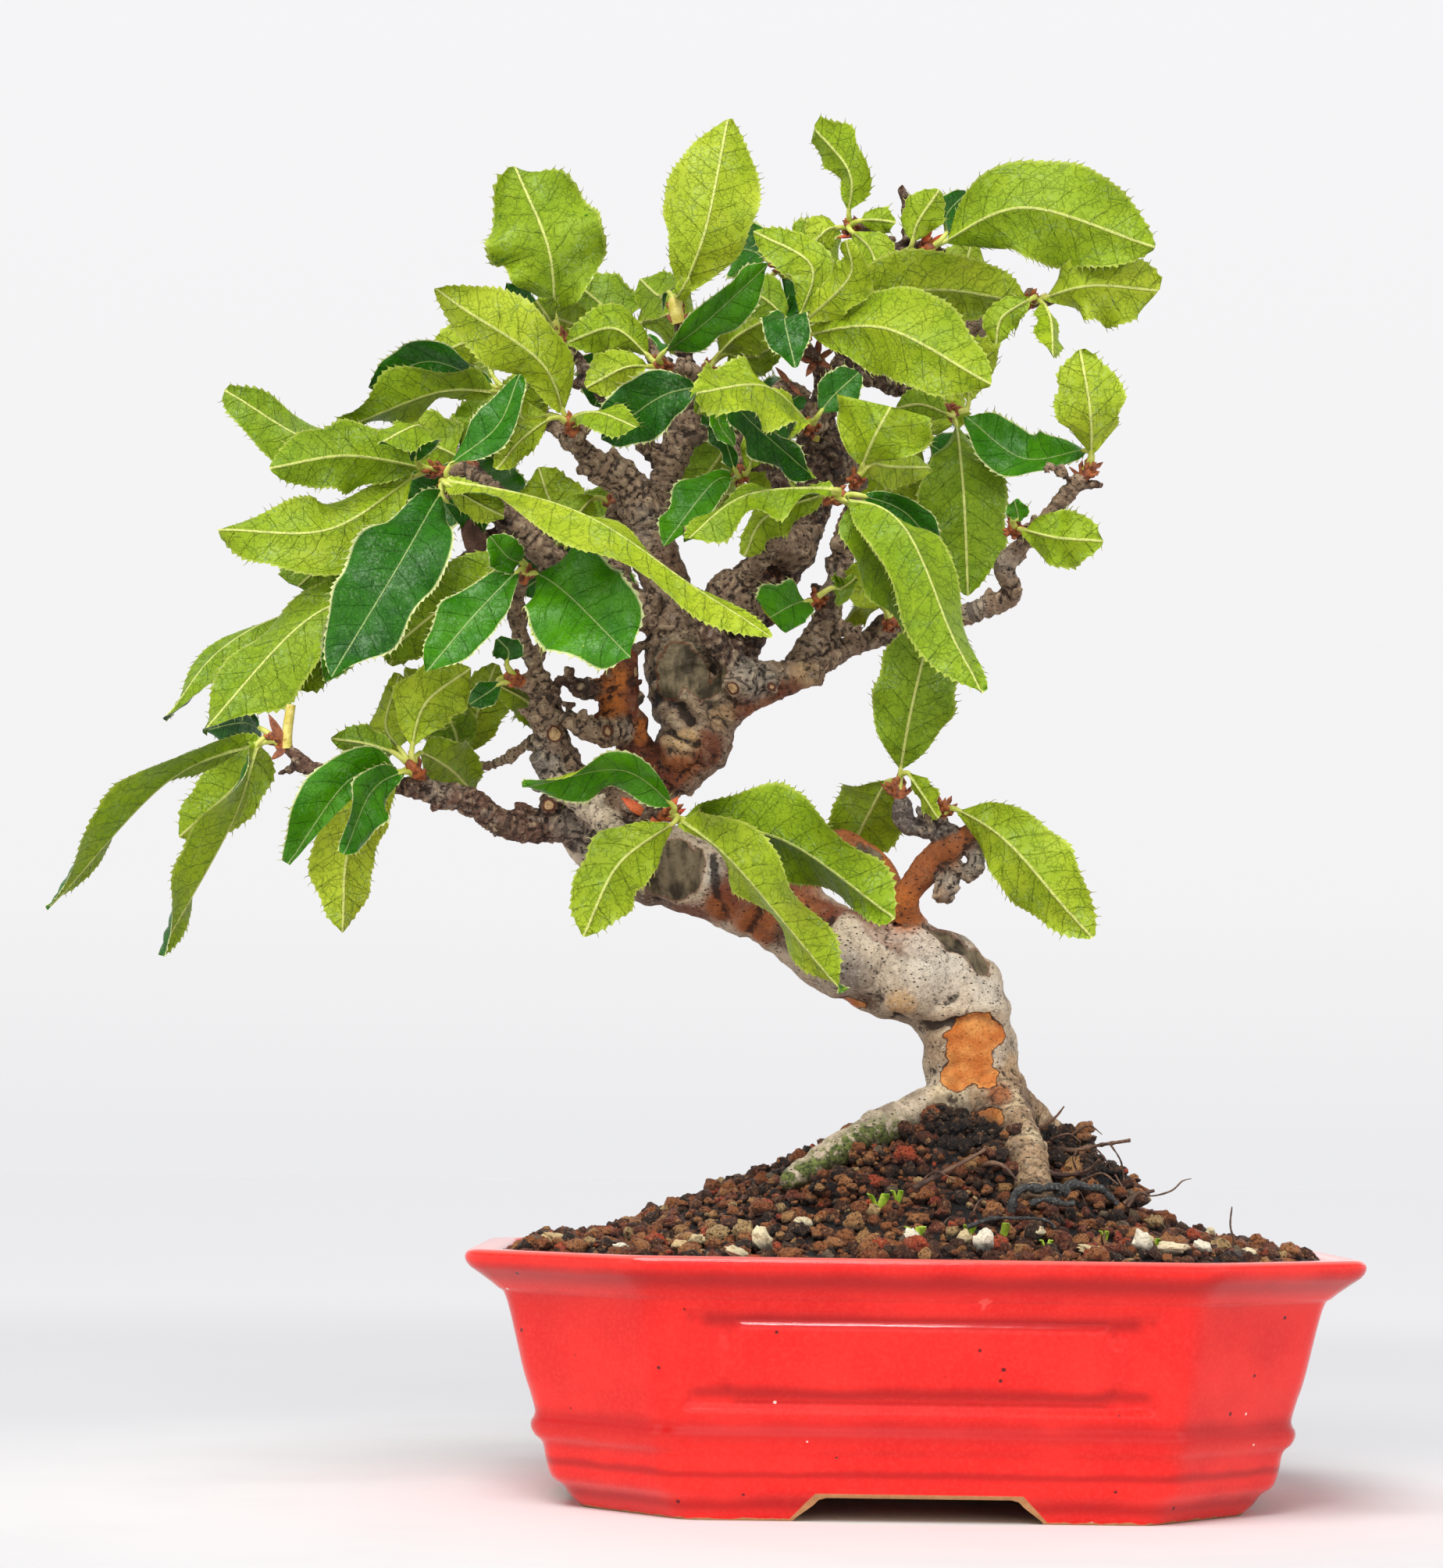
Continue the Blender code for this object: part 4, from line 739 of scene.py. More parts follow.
# Each limb is a run of (x, y, z, radius), from its root outwards.
LIMBS = {
    "trunk": ((16, 1, 44, 8.5), (14.5, 0, 60, 11.5), (13.5, 0, 68.5, 10), (12, 0, 78, 9), (11, 0, 84.5, 9),
        (8.5, 0, 92.5, 9), (0, -2, 96, 8.5), (-9, -2, 98, 8.5), (-17, -1, 102.5, 7.5), (-25, 0, 109, 8),
        (-33.5, 0, 113, 8), (-42.5, 0, 115.5, 8), (-51.5, 1, 117.5, 7.5), (-58.5, 1, 121.5, 6.5),
        (-62, 0, 127, 5), (-65, 0, 131, 3.5)),
    "upper_trunk": ((-58, 0, 123.5, 5.5), (-53, 0, 128.5, 5.5), (-46.5, 0, 133.5, 5.5),
        (-41.5, 0, 141, 6.5), (-42.5, 2, 151, 7.5), (-44.5, 3, 160.5, 6), (-46.5, 3, 169, 5),
        (-49.5, 3, 177, 4.5), (-51, 3, 183.5, 4.5)),
    "right_arm": ((-45, -2, 132, 5), (-40, -3, 137.5, 5), (-37.5, -3, 143.5, 5), (-33, -4, 148, 4.5),
        (-25.5, -4, 151, 3.5), (-17, -4, 152.5, 2)),
    "right_leader": ((-38.5, 2, 147, 5.5), (-34.5, 4, 158, 5.5), (-31.5, 5, 165.5, 6), (-27, 6, 172.5, 5.5),
        (-22, 7, 179.5, 4.5), (-19, 9, 187.5, 4), (-17, 11, 195.5, 4.5), (-18, 12, 201.5, 4),
        (-17, 13, 207, 3), (-13, 14, 215, 2.5), (-9, 14, 225, 2.5), (-6.5, 13, 233.5, 2),
        (-5.5, 12, 240, 2)),
    "low_left": ((-60.5, -2, 124.5, 4), (-68, -5, 123, 3), (-73.5, -8, 122, 2.5), (-78.5, -10, 124.5, 2.5),
        (-82.5, -11, 127, 2.5), (-89, -12, 128.5, 2), (-96.5, -13, 129.5, 1.5), (-104.5, -13, 130, 1.5),
        (-111, -13, 132, 1.5), (-116, -13, 136, 1)),
    "left_riser": ((-62, -4, 128.5, 4), (-66, -6, 135, 3.5), (-68, -8, 141, 3), (-69, -9, 147.5, 2.5),
        (-71, -10, 152.5, 1.5), (-73.5, -11, 158.5, 1.5), (-74, -14, 163.5, 1.5), (-72.5, -18, 167, 1)),
    "left_twig": ((-68.5, -7, 140, 1.5), (-72.5, -3, 138, 1), (-77, 1, 135.5, 1), (-81.5, 4, 134.5, 1)),
    "left_arm": ((-45.5, 0, 161.5, 4), (-56, -2, 166, 3), (-66, -4, 171, 2.5), (-71.5, -6, 176, 3),
        (-76.5, -7, 181, 3.5), (-81, -8, 182.5, 2), (-85, -11, 184.5, 1.5)),
    "left_leader": ((-50.5, 2, 181.5, 4), (-54.5, 1, 189, 3.5), (-59.5, -2, 191, 3), (-63, -5, 194.5, 1.5),
        (-64, -7, 196.5, 1.5)),
    "mid_leader": ((-50.5, 4, 182.5, 3.5), (-46.5, 6, 192, 3), (-44, 7, 199.5, 3), (-40.5, 8, 206.5, 2),
        (-41, 4, 210.5, 1.5), (-46.5, -2, 210.5, 1)),
    "mid_fork": ((-44.5, 7, 199, 2.5), (-35.5, 8, 202, 2.5), (-27.5, 6, 206, 2), (-23.5, 4, 209, 1.5)),
    "fork_bud": ((-40.5, 8, 206.5, 1.5), (-43.5, 9, 214.5, 1.5), (-45, 7, 221.5, 1)),
    "far_right": ((-24, -3, 151.5, 3), (-17.5, 0, 154.5, 2.5), (-11.5, 3, 158.5, 2), (-4.5, 5, 161, 2),
        (5, 6, 163, 2), (13, 4, 166, 2), (19, 2, 168.5, 2), (17.5, 0, 174, 2), (22.5, -2, 179.5, 1.5),
        (27.5, -3, 185.5, 1.5), (31.5, -5, 190, 1.5)),
    "right_riser": ((-22.5, -2, 152.5, 3), (-17, 0, 161.5, 3), (-15, 1, 168, 2.5), (-13, 2, 173.5, 2),
        (-13, 1, 178.5, 2), (-12, -6, 183.5, 1.5), (-11.5, -12, 186.5, 1)),
    "front_spur": ((-34.5, -1, 165.5, 2.5), (-29.5, -8, 172.5, 2), (-26, -15, 177.5, 2),
        (-21.5, -19, 180.5, 1), (-17.5, -21, 182, 1)),
    "bent_spur": ((-30.5, -5, 152, 2.5), (-35, -9, 154.5, 2), (-38.5, -11, 159.5, 2),
        (-39.5, -10, 166, 1.5)),
    "low_right": ((1, -4, 103.5, 3), (-1, -8, 110, 2.5), (2.5, -10, 115.5, 2.5), (6.5, -12, 119, 2.5),
        (11, -13, 122.5, 1.5)),
    "low_right_knobs": ((8, -12, 120.5, 2.5), (5, -11, 122.5, 2.5), (1.5, -10, 123, 2), (-1.5, -10, 124, 2),
        (-2.5, -10, 128.5, 1.5)), "low_right_shoot": ((4, -11, 122.5, 1.5), (5, -13, 125, 1)),
    "saddle": ((-1.5, -3, 106.5, 4), (-7, 0, 115, 4), (-12.5, 1, 120, 3), (-20, 1, 120.5, 2.5),
        (-26.5, 1, 117.5, 3)),
    "cut_stub": ((-66.5, -8, 131, 2.5), (-61, -15, 126.5, 2.5), (-56, -19, 122, 2.5),
        (-52.5, -21, 117.5, 2), (-49.5, -23, 114, 2)),
    "front_shoot": ((-56.5, -18, 122.5, 1.5), (-50, -19, 123, 1.5), (-46.5, -22, 123.5, 1)),
    "stub_low_left": ((-65, -3, 130, 2.5), (-68.5, -8, 133.5, 2), (-70.5, -10, 135.5, 1.5)),
    "orange_riser": ((-50.5, -3, 134, 4), (-53, -5, 140.5, 3.5), (-55, -7, 146, 3.5), (-54.5, -8, 151.5, 3),
        (-54, -7, 155.5, 2)),
    "knob_spur_low": ((-54, -7, 141, 3), (-59, -11, 140, 2.5), (-63, -12, 141.5, 2), (-65, -12, 143, 1.5)),
    "knob_spur_high": ((-55.5, -8, 148.5, 2.5), (-60.5, -11, 148, 2), (-64, -12, 148.5, 1.5)),
    "thin_riser": ((-52, -2, 146.5, 1.5), (-54, 1, 154, 1.5), (-55.5, 2, 162, 1.5), (-56, 3, 171, 1.5),
        (-56.5, 6, 178, 2), (-57, 9, 185, 1.5)),
    "top_right": ((-6, 12, 235.5, 2), (-1.5, 4, 235, 2), (1.5, -2, 234, 1.5)),
    "top_left": ((-6.5, 12, 237.5, 1.5), (-9.5, 6, 238.5, 1.5), (-11.5, 2, 238.5, 1)),
    "top_mid": ((-3, 6, 235.5, 1.5), (-2, -1, 233, 1)),
    "outer_right": ((-9, 14, 225, 2), (-0.5, 15, 223.5, 1.5), (9, 12, 221.5, 1.5), (17.5, 6, 222, 1.5),
        (21, 1, 224, 1)), "behind_right": ((-13.5, 14, 214.5, 2), (-4, 17, 211.5, 1.5), (6, 18, 207.5, 1)),
    "upper_left": ((-59.5, 0, 191.5, 2), (-66.5, 6, 198.5, 1.5), (-71.5, 8, 203.5, 1.5),
        (-75.5, 8, 206, 1)),
    "upper_back_left": ((-46.5, 7, 192.5, 2), (-55, 12, 202.5, 1.5), (-62.5, 12, 212, 1.5),
        (-67, 10, 217.5, 1)),
    "far_left": ((-76.5, -4, 181.5, 2), (-80.5, 2, 188, 1.5), (-85, 4, 191, 1.5), (-89, 3, 191, 1)),
    "left_hidden": ((-75, -4, 179.5, 1.5), (-81, 0, 176, 1.5), (-86, 1, 172.5, 1.5), (-90.5, 0, 170.5, 1)),
    "fork_low": ((-35.5, 9, 202.5, 1.5), (-33.5, 7, 196.5, 1), (-33, 4, 192.5, 1)),
    "top_bud": ((-16.5, 12, 207, 2), (-18, 7, 213, 1.5), (-21, -2, 215.5, 1)),
    "fork_front": ((-18, 10, 202, 2), (-19, -4, 199.5, 1.5), (-19.5, -8, 198.5, 1.5)),
    "low_left_spur": ((-89.5, -12, 128.5, 1.5), (-91, -15, 130.5, 1.5)),
    "riser_spur": ((-70, -9, 148, 1.5), (-73, -12, 149, 1.5)),
    "crown_front": ((-41, 8, 206, 1.5), (-39.5, -4, 205.5, 1.5), (-38, -13, 205, 1)),
    "crown_spur": ((-41, 8, 205.5, 2), (-39.5, 12, 212, 1)),
    "riser_side_spur": ((-15.5, 1, 166, 2), (-17.5, -5, 166, 1.5)),
    "far_right_spur": ((-5.5, 5, 161, 2), (-4.5, 1, 162, 1.5)),
    "far_right_bud": ((22.5, -2, 179, 1.5), (20, -5, 179.5, 1.5)),
    "left_root": ((9, -2, 70.5, 6.5), (1, -6, 69.5, 4.5), (-6.5, -10, 67, 3.5), (-13, -13, 63.5, 3),
        (-19, -16, 60, 2.5), (-23.5, -18, 57.5, 1.5)),
    "front_root": ((16, -4, 74.5, 5), (18.5, -9, 68.5, 4), (20.2, -14, 63.5, 4.2), (21.5, -18.5, 58.5, 4),
        (22, -21, 54, 3.6)),
    "right_root": ((19, 4, 71.5, 5.5), (26, 6, 67, 3.5), (31, 8, 62, 2.5), (35.5, 9, 57, 1.5)),
    "back_root": ((11.5, 6, 71.5, 7), (8.5, 18, 68.5, 4.5), (5.5, 30, 62.5, 3), (3, 38, 56, 2)),
    "dry_root_high": ((24, -2, 65.5, 1), (29.5, -8, 64, 0.5), (34.5, -10, 65, 0.5), (40, -13, 66, 0.5)),
    "dry_root_low": ((22, -14, 60.5, 1), (27.5, -17, 59.5, 0.5), (31.5, -20, 60.5, 0.5),
        (33.5, -22, 62.5, 0.5)),
    "back_low": ((-39.5, 6, 155, 3), (-48.5, 15, 165, 2), (-56.5, 23, 174, 1.5), (-63, 28, 180.5, 1)),
    "back_mid": ((-27, 8, 173, 3), (-23.5, 18, 186, 2), (-26.5, 26, 196.5, 1.5), (-31, 31, 203.5, 1)),
    "back_right": ((-19, 10, 187.5, 2.5), (-12, 19, 195.5, 2), (-5, 26, 201.5, 1.5), (0.5, 30, 203.5, 1)),
    "back_top": ((-44, 9, 200, 2), (-46.5, 18, 211.5, 1.5), (-52.5, 24, 220.5, 1)),
    "back_top_right": ((-9, 13, 225, 2), (-16, 20, 232.5, 1.5), (-23.5, 25, 236, 1)),
    "back_left": ((-56, 2, 166.5, 2), (-65.5, 12, 175, 1.5), (-76.5, 19, 186.5, 1.5), (-84.5, 23, 195, 1)),
}
# Spurs, cut stubs, dry fruit stalks and buds that stand on the limbs
SPURS = (
    ((8.5, -12, 117, 1), (6.5, -12, 114, 2.2), (6, -12, 111, 2), (6, -12, 109, 0.7)),
    ((10, -13, 121, 1), (11.5, -13, 118, 1.9), (11, -13, 115, 1.7), (9.5, -12, 113, 0.9)),
    ((10, -13, 122, 1.1), (11, -14, 123.5, 0.9), (11, -14, 126, 0.9)),
    ((-63, -12, 149, 1.3), (-66, -12, 149.5, 0.9), (-66.5, -12, 147, 0.7), (-65, -12, 145, 0.6),
        (-62.5, -12, 145, 0.6)), ((-47.5, -2, 211, 1.2), (-50.5, -3, 214.5, 0.9), (-53.5, -4, 217, 0.7)),
    ((-1, 2, 235, 1.2), (-2, 0, 241, 0.9), (-3, -1, 246.5, 0.9)),
    ((21, 1, 224, 0.9), (24.5, -1, 224, 0.7), (27, -2, 224.5, 0.7)),
    ((30.5, -4, 189, 0.9), (34, -5, 188.5, 0.7), (35.5, -5, 188.5, 0.7)),
    ((28.5, -5, 190, 0.9), (26.5, -6, 191.5, 0.7), (25, -7, 191.5, 0.7), (24, -8, 190.5, 0.5)),
    ((-23.5, 5, 192.5, 1.3), (-27.5, 2, 192.5, 0.9), (-32, 0, 192, 0.9)),
    ((-32, -8, 151.5, 1.7), (-34, -11, 148, 1.3)), ((-27, -8, 151, 1.6), (-26.5, -11, 148.5, 1.2)),
    ((-19, -4, 152.5, 2.5), (-16.5, -4, 152, 2.5)), ((-50, -23, 115, 1.8), (-48.5, -25, 112.5, 1.6)),
    ((-51.5, -23, 115, 1.4), (-51, -25, 113, 1.4)), ((-67.5, -6, 127.5, 2), (-67.5, -10, 126, 1.6)),
    ((-68.5, -7, 137, 2), (-66.5, -10, 139, 1.6)), ((-42, -10, 177.5, 1.3), (-41.5, -13, 178, 1.3)),
    ((-14.5, 0, 162, 1.3), (-11, -3, 160, 1), (-10, -4, 161.5, 0.7)),
    ((18, 2, 168, 1.6), (19, 0, 169.5, 1.2)), ((-22, 4, 179, 1.8), (-18, 0, 180.5, 1.2)),
    ((-16.5, 8, 193.5, 1.5), (-13, 6, 194.5, 1)), ((-66, -4, 170.5, 1.5), (-69, -8, 167.5, 1)),
    ((-76.5, -8, 178.5, 1.7), (-77.5, -12, 174, 1)), ((-83.5, -9, 183.5, 1.2), (-85, -12, 180.5, 0.9)),
    ((-76.5, -9, 123.5, 1.4), (-77.5, -12, 121, 1)), ((-88, -12, 128, 1.1), (-89.5, -15, 130, 0.9)),
)
# Swellings, old cuts and lumps: x, y, z, radius
KNOBS = (
    (-32, -8, 150, 4), (5, -14, 110.5, 1.6), (-43.5, -8, 137, 3.6), (-23.5, 1, 177, 5.4),
    (-33.5, 0, 166, 6.4), (0, -3, 96.5, 9.6), (-11, -4, 99.5, 8.6), (5.5, -1, 96, 9),
)
VOXEL = 0.55
KEPT_SHARE = 0.6
ROOT_TOP = 74.0
HOLLOW_STEPS = 5
SAMPLES_BLENDED = 7
FAR_OUTSIDE = -20.0
LIMB_SPACING = 0.9
TWIG_RADIUS = 6.0
RING_HEIGHT = 0.2
BUDS_EVERY = 6.0
BUDLESS = (
    "saddle", "low_right", "spur", "trunk", "upper_trunk", "left_root", "front_root", "right_root",
    "back_root",
)
# Too thin for the skin: they are made with the hair roots
DRY_ROOTS = ("dry_root_high", "dry_root_low")
# Bark shades
PALE_GREY = srgb(226, 214, 194)
DULL_GREY = srgb(142, 132, 120)
GREY_BARK = srgb(212, 192, 164)
ASH = srgb(158, 146, 130)
SLATE = srgb(112, 100, 92)
OLIVE_GREY = srgb(88, 78, 52)
FAWN = srgb(172, 140, 104)
TAN = srgb(218, 176, 120)
CREAM = srgb(222, 200, 158)
# Painted shadow, for the spots where the trunk and roots lie in shade
PAINTED_SHADOW_BROWN = srgb(104, 80, 62)
RUSSET = srgb(126, 62, 34)
RUSSET_ORANGE = srgb(162, 90, 42)
UMBER = srgb(112, 78, 62)
ORANGE = srgb(206, 116, 46)
NEAR_BLACK = srgb(34, 24, 21)
DARK_TWIG = srgb(96, 68, 52)
GREY_TWIG = srgb(152, 124, 98)
# The base shade of the limbs that aren't dark twigs, and how smooth their bark is, from 0 to 1
LIMB_BARK = {
    "trunk": (GREY_BARK, 1.0), "left_root": (GREY_BARK, 0.8), "front_root": (FAWN, 0.4),
    "right_root": (FAWN, 0.5), "back_root": (GREY_BARK, 0.8), "upper_trunk": (GREY_TWIG, 0.5),
    "right_arm": (GREY_TWIG, 0.45), "saddle": (RUSSET_ORANGE, 0.9), "low_right": (RUSSET_ORANGE, 0.8),
    "orange_riser": (RUSSET, 0.5), "cut_stub": (GREY_BARK, 0.2), "left_arm": (GREY_TWIG, 0.2),
    "low_left": (UMBER, 0.1),
    "low_right_knobs": (SLATE, 0.4), "stub_low_left": (ASH, 0.3), "right_riser": (GREY_TWIG, 0.1),
    "mid_leader": (GREY_TWIG, 0.2), "far_right": (GREY_TWIG, 0.2), "left_riser": (GREY_TWIG, 0.1),
}
# Places where the bark changes shade: middle, radius, shade and share. Most are the bark's own colours; the
# shadow brown spots are painted shadow, and the pale grey on the front of the bulge is partly painted
# highlight.
TONES = (
    ((4.5, -9, 99.5), 8, PALE_GREY, 0.8), ((-5.5, -9, 105), 5, PALE_GREY, 0.5),
    ((14, -7, 93.5), 4, PALE_GREY, 0.7), ((-12, -9, 97), 5, DULL_GREY, 0.8), ((-2, -10, 90.5), 3, TAN, 0.9),
    ((-8.5, -8, 90), 3, PAINTED_SHADOW_BROWN, 0.9), ((-13, -6, 90), 2.5, PAINTED_SHADOW_BROWN, 0.6),
    ((3.5, -7, 83), 5, FAWN, 0.8), ((18.5, -4, 79.5), 3, TAN, 0.8), ((7, -8, 73.5), 4, CREAM, 0.8),
    ((18, -9, 72.5), 3, CREAM, 0.8), ((3, -6, 77.5), 2, PAINTED_SHADOW_BROWN, 0.7),
    ((21.5, -15, 66), 2.5, CREAM, 0.8), ((19.5, -6, 84), 3.5, PAINTED_SHADOW_BROWN, 0.4),
    ((20.5, -6, 77.5), 3, UMBER, 0.4), ((21.5, -5, 71), 3.5, UMBER, 0.7),
    ((16.5, -10, 74), 2.6, RUSSET_ORANGE, 0.9), ((0, -8, 74.5), 2.5, PAINTED_SHADOW_BROWN, 0.5),
    ((-5, -9, 71), 2.5, PAINTED_SHADOW_BROWN, 0.5), ((-8.5, -6, 106), 4, RUSSET, 0.9),
    ((-15.5, -6, 105), 3, NEAR_BLACK, 0.95), ((-29.5, -6, 103.5), 4, ORANGE, 1),
    ((-34.5, -7, 109.5), 4, RUSSET, 1), ((-38, -8, 114.5), 2.5, PALE_GREY, 1),
    ((-45.5, -8, 114.5), 5, OLIVE_GREY, 1), ((-59.5, -5, 120.5), 5, ASH, 0.8),
    ((-65, -5, 124), 4, ASH, 0.8), ((-21.5, -3, 113), 5, RUSSET_ORANGE, 1),
    ((-26.5, -3, 117.5), 4, RUSSET, 0.9), ((-8.5, -3, 116), 6, ORANGE, 1),
    ((-12, -2, 121.5), 3, RUSSET_ORANGE, 1), ((-8, -3, 119), 2, SLATE, 1), ((-1, -8, 108.5), 5, ORANGE, 1),
    ((3, -10, 114.5), 4.5, RUSSET_ORANGE, 1), ((8, -12, 118.5), 3.5, RUSSET_ORANGE, 0.8),
    ((-1, -12, 123), 3.5, SLATE, 0.7), ((4.5, -12, 123), 3, SLATE, 0.7),
    ((-38.5, -9, 137), 4.5, RUSSET, 0.9), ((-30.5, -9, 144), 4, RUSSET, 0.9),
    ((-43.5, -9, 133.5), 4, RUSSET_ORANGE, 0.9), ((-25, -8, 147), 3, RUSSET, 0.8),
    ((-46.5, -6, 131), 4, RUSSET, 0.9), ((-43, -10, 139), 3.5, TAN, 0.9), ((-30, -9, 151), 5, ASH, 0.9),
    ((-20.5, -6, 151.5), 3, TAN, 0.5), ((-35.5, -9, 143.5), 3, TAN, 0.5),
    ((-44, -5, 153.5), 6.5, OLIVE_GREY, 0.9), ((-46.5, -2, 149.5), 3, NEAR_BLACK, 0.7),
    ((-48.5, -5, 140.5), 3, NEAR_BLACK, 0.5), ((-56, -10, 150), 3.5, ORANGE, 1),
    ((-56.5, -10, 145), 3, ORANGE, 0.9), ((-51, -8, 140.5), 2.5, ORANGE, 1),
    ((-53.5, -9, 140.5), 2, ASH, 0.7), ((-50, -5, 181.5), 4, ASH, 0.7), ((-51.5, -3, 177.5), 2.5, ASH, 0.5),
    ((-25, 3, 174.5), 3.5, RUSSET, 0.5), ((-27, 2, 171), 2.5, RUSSET_ORANGE, 0.7),
    ((-19, 3, 177.5), 3, ASH, 0.4), ((-16, 0, 171), 3, ASH, 0.5), ((-76.5, 0, 171.5), 3, RUSSET, 0.6),
    ((-68, -8, 138.5), 3, ASH, 0.6), ((-88, -13, 129), 3, ASH, 0.5), ((18, 0, 174.5), 3, ASH, 0.7),
    ((11.5, 3, 166.5), 3, ASH, 0.7), ((-45.5, -1, 173.5), 3.5, RUSSET, 0.4),
    ((6.5, -12, 112.5), 3, ASH, 0.9), ((11, -13, 116.5), 3, ASH, 0.9), ((8, 10, 92), 7, PALE_GREY, 0.6),
    ((-20, 9, 106), 6, DULL_GREY, 0.7), ((-48, -3, 108.5), 6, PAINTED_SHADOW_BROWN, 0.9),
    ((-41, -3, 105), 5, RUSSET, 0.9), ((-36.5, -7, 103.5), 4, RUSSET, 0.9),
    ((-24.5, -6, 108), 6.5, RUSSET, 1), ((-27, -7, 143), 4.5, RUSSET_ORANGE, 0.9),
    ((-23, -6, 148.5), 3, RUSSET, 0.8), ((-19, -6, 106.5), 5, RUSSET_ORANGE, 1),
    ((-28, -7, 105), 5, RUSSET_ORANGE, 1), ((-14.5, -6, 107), 3.5, RUSSET, 0.9),
    ((-22, -7, 103), 4, PAINTED_SHADOW_BROWN, 0.8), ((-36, -7, 106.5), 4, RUSSET_ORANGE, 1),
    ((-31, -7, 112.5), 5, RUSSET, 0.9), ((13.5, -12, 73), 3, NEAR_BLACK, 0.5),
    ((-44, -9, 157), 4, OLIVE_GREY, 0.9), ((-38, -9, 148), 3.5, OLIVE_GREY, 0.8),
    ((-38, 8, 116), 6, RUSSET, 0.7), ((-48, 9, 145), 5, ASH, 0.7), ((-30, 10, 168), 5, ASH, 0.5),
)
# Plates where the bark has just peeled: middle and half sizes
PEELED = (
    ((11.2, -9, 82.2), (4.7, 6, 6.8)), ((14.6, -9, 85.6), (3.2, 6, 3.2)), ((8.6, -9, 77.6), (3.2, 6, 3.2)),
    ((13.6, -9, 77.4), (2.4, 6, 2.6)), ((14.5, -10, 69.5), (3.2, 5, 2.4)),
    ((-11.8, -6, 89.8), (3.2, 6, 2.2)), ((-22, 9, 100), (5, 5, 4)), ((3, 9, 82), (4, 5, 6)),
    ((-43, 9, 138), (4, 5, 5)),
)
# Bare old wood where limbs were cut off long ago: points of its middle line, then its half width
OLD_WOOD = (
    (((-1, -5, 104), (5, -6, 101.8), (12.5, -5, 98)), 2.7), (((-45, -8, 113.5), (-44, -8, 115)), 5.4),
    (((-9, -3, 120), (-7.5, -3, 118)), 1.5), (((-39, -8, 151), (-45, -7, 155), (-47, -7, 150)), 4.3),
)
# A seam runs on over the surface in front of and behind its points
SEEN_FLAT = numpy.array((1, 0.2, 1))
# Folds and seams where the bark is pinched, each with its depth. Each fold line is painted dark as shade.
CREASES = (
    (((-16, -7, 102), (-15, -6, 105.5)), 1.0), (((2, -6, 78), (5, -8, 78.5), (8, -9, 79.5)), 0.5),
    (((-3, -6, 88), (0, -7, 87), (4, -8, 86.6), (8, -9, 87.4)), 1.0),
    (((8, -9, 87.4), (12, -9, 88.6), (17, -7, 86.8)), 0.5),
    (((-17.5, -5, 105.5), (-16, -7, 102), (-15.5, -8, 98.5)), 1.0),
    (((-48.5, -6, 127), (-43.5, -4, 125), (-38.5, 0, 123.5)), 1.2),
    (((-50, -5, 145.5), (-47.5, -6, 147.5), (-43.5, -7, 145.5), (-41.5, -8, 142.5)), 1.2),
    (((-40.5, -10, 138), (-44.5, -10, 140)), 0.9), (((-41, -10, 136), (-45.5, -10, 137)), 0.7),
    (((-34, -8, 106), (-36.5, -9, 111), (-37, -8, 117)), 0.5),
)
# Round scars of cut twigs: middle and radius
SCARS = (
    ((-34, -12, 148), 1.2), ((-26.5, -12, 148.5), 1.0), ((-14, 2, 156), 0.9), ((-66.5, -11, 139.5), 1.3),
    ((-57, -12, 140), 1), ((-48, -26, 112.3), 1.5), ((-51, -26, 112.8), 1.2), ((-67.5, -11, 126), 1.4),
    ((-41.5, -14, 178), 1.1), ((-15, -4, 152), 2.2), ((-51.5, -9, 151.5), 1), ((11, -14, 126.5), 0.9),
    ((36, -5, 188.5), 0.8), ((-3.2, -1, 247), 0.9), ((27.5, -2, 224.5), 0.8), ((-32.6, 0, 192), 0.9),
)


def tube_mesh(path, radii, sides, points, faces):
    """Adds a closed round tube along the path to the points and faces."""
    start = len(points)
    ahead = (path[1] - path[0]).normalized()
    across = ahead.orthogonal().normalized()
    for index, (spot, radius) in enumerate(zip(path, radii)):
        way = path[min(index + 1, len(path) - 1)] - path[max(index - 1, 0)]
        way.normalize()
        across = (across - way * across.dot(way)).normalized()
        side = way.cross(across)
        for step in range(sides):
            turn = 2 * math.pi * step / sides
            points.append(spot + (across * math.cos(turn) + side * math.sin(turn)) * radius)
    faces.append(tuple(start + step for step in reversed(range(sides))))
    for ring in range(len(path) - 1):
        for step in range(sides):
            low = start + ring * sides + step
            low_next = start + ring * sides + (step + 1) % sides
            faces.append((low, low_next, low_next + sides, low + sides))
    last = start + (len(path) - 1) * sides
    faces.append(tuple(last + step for step in range(sides)))


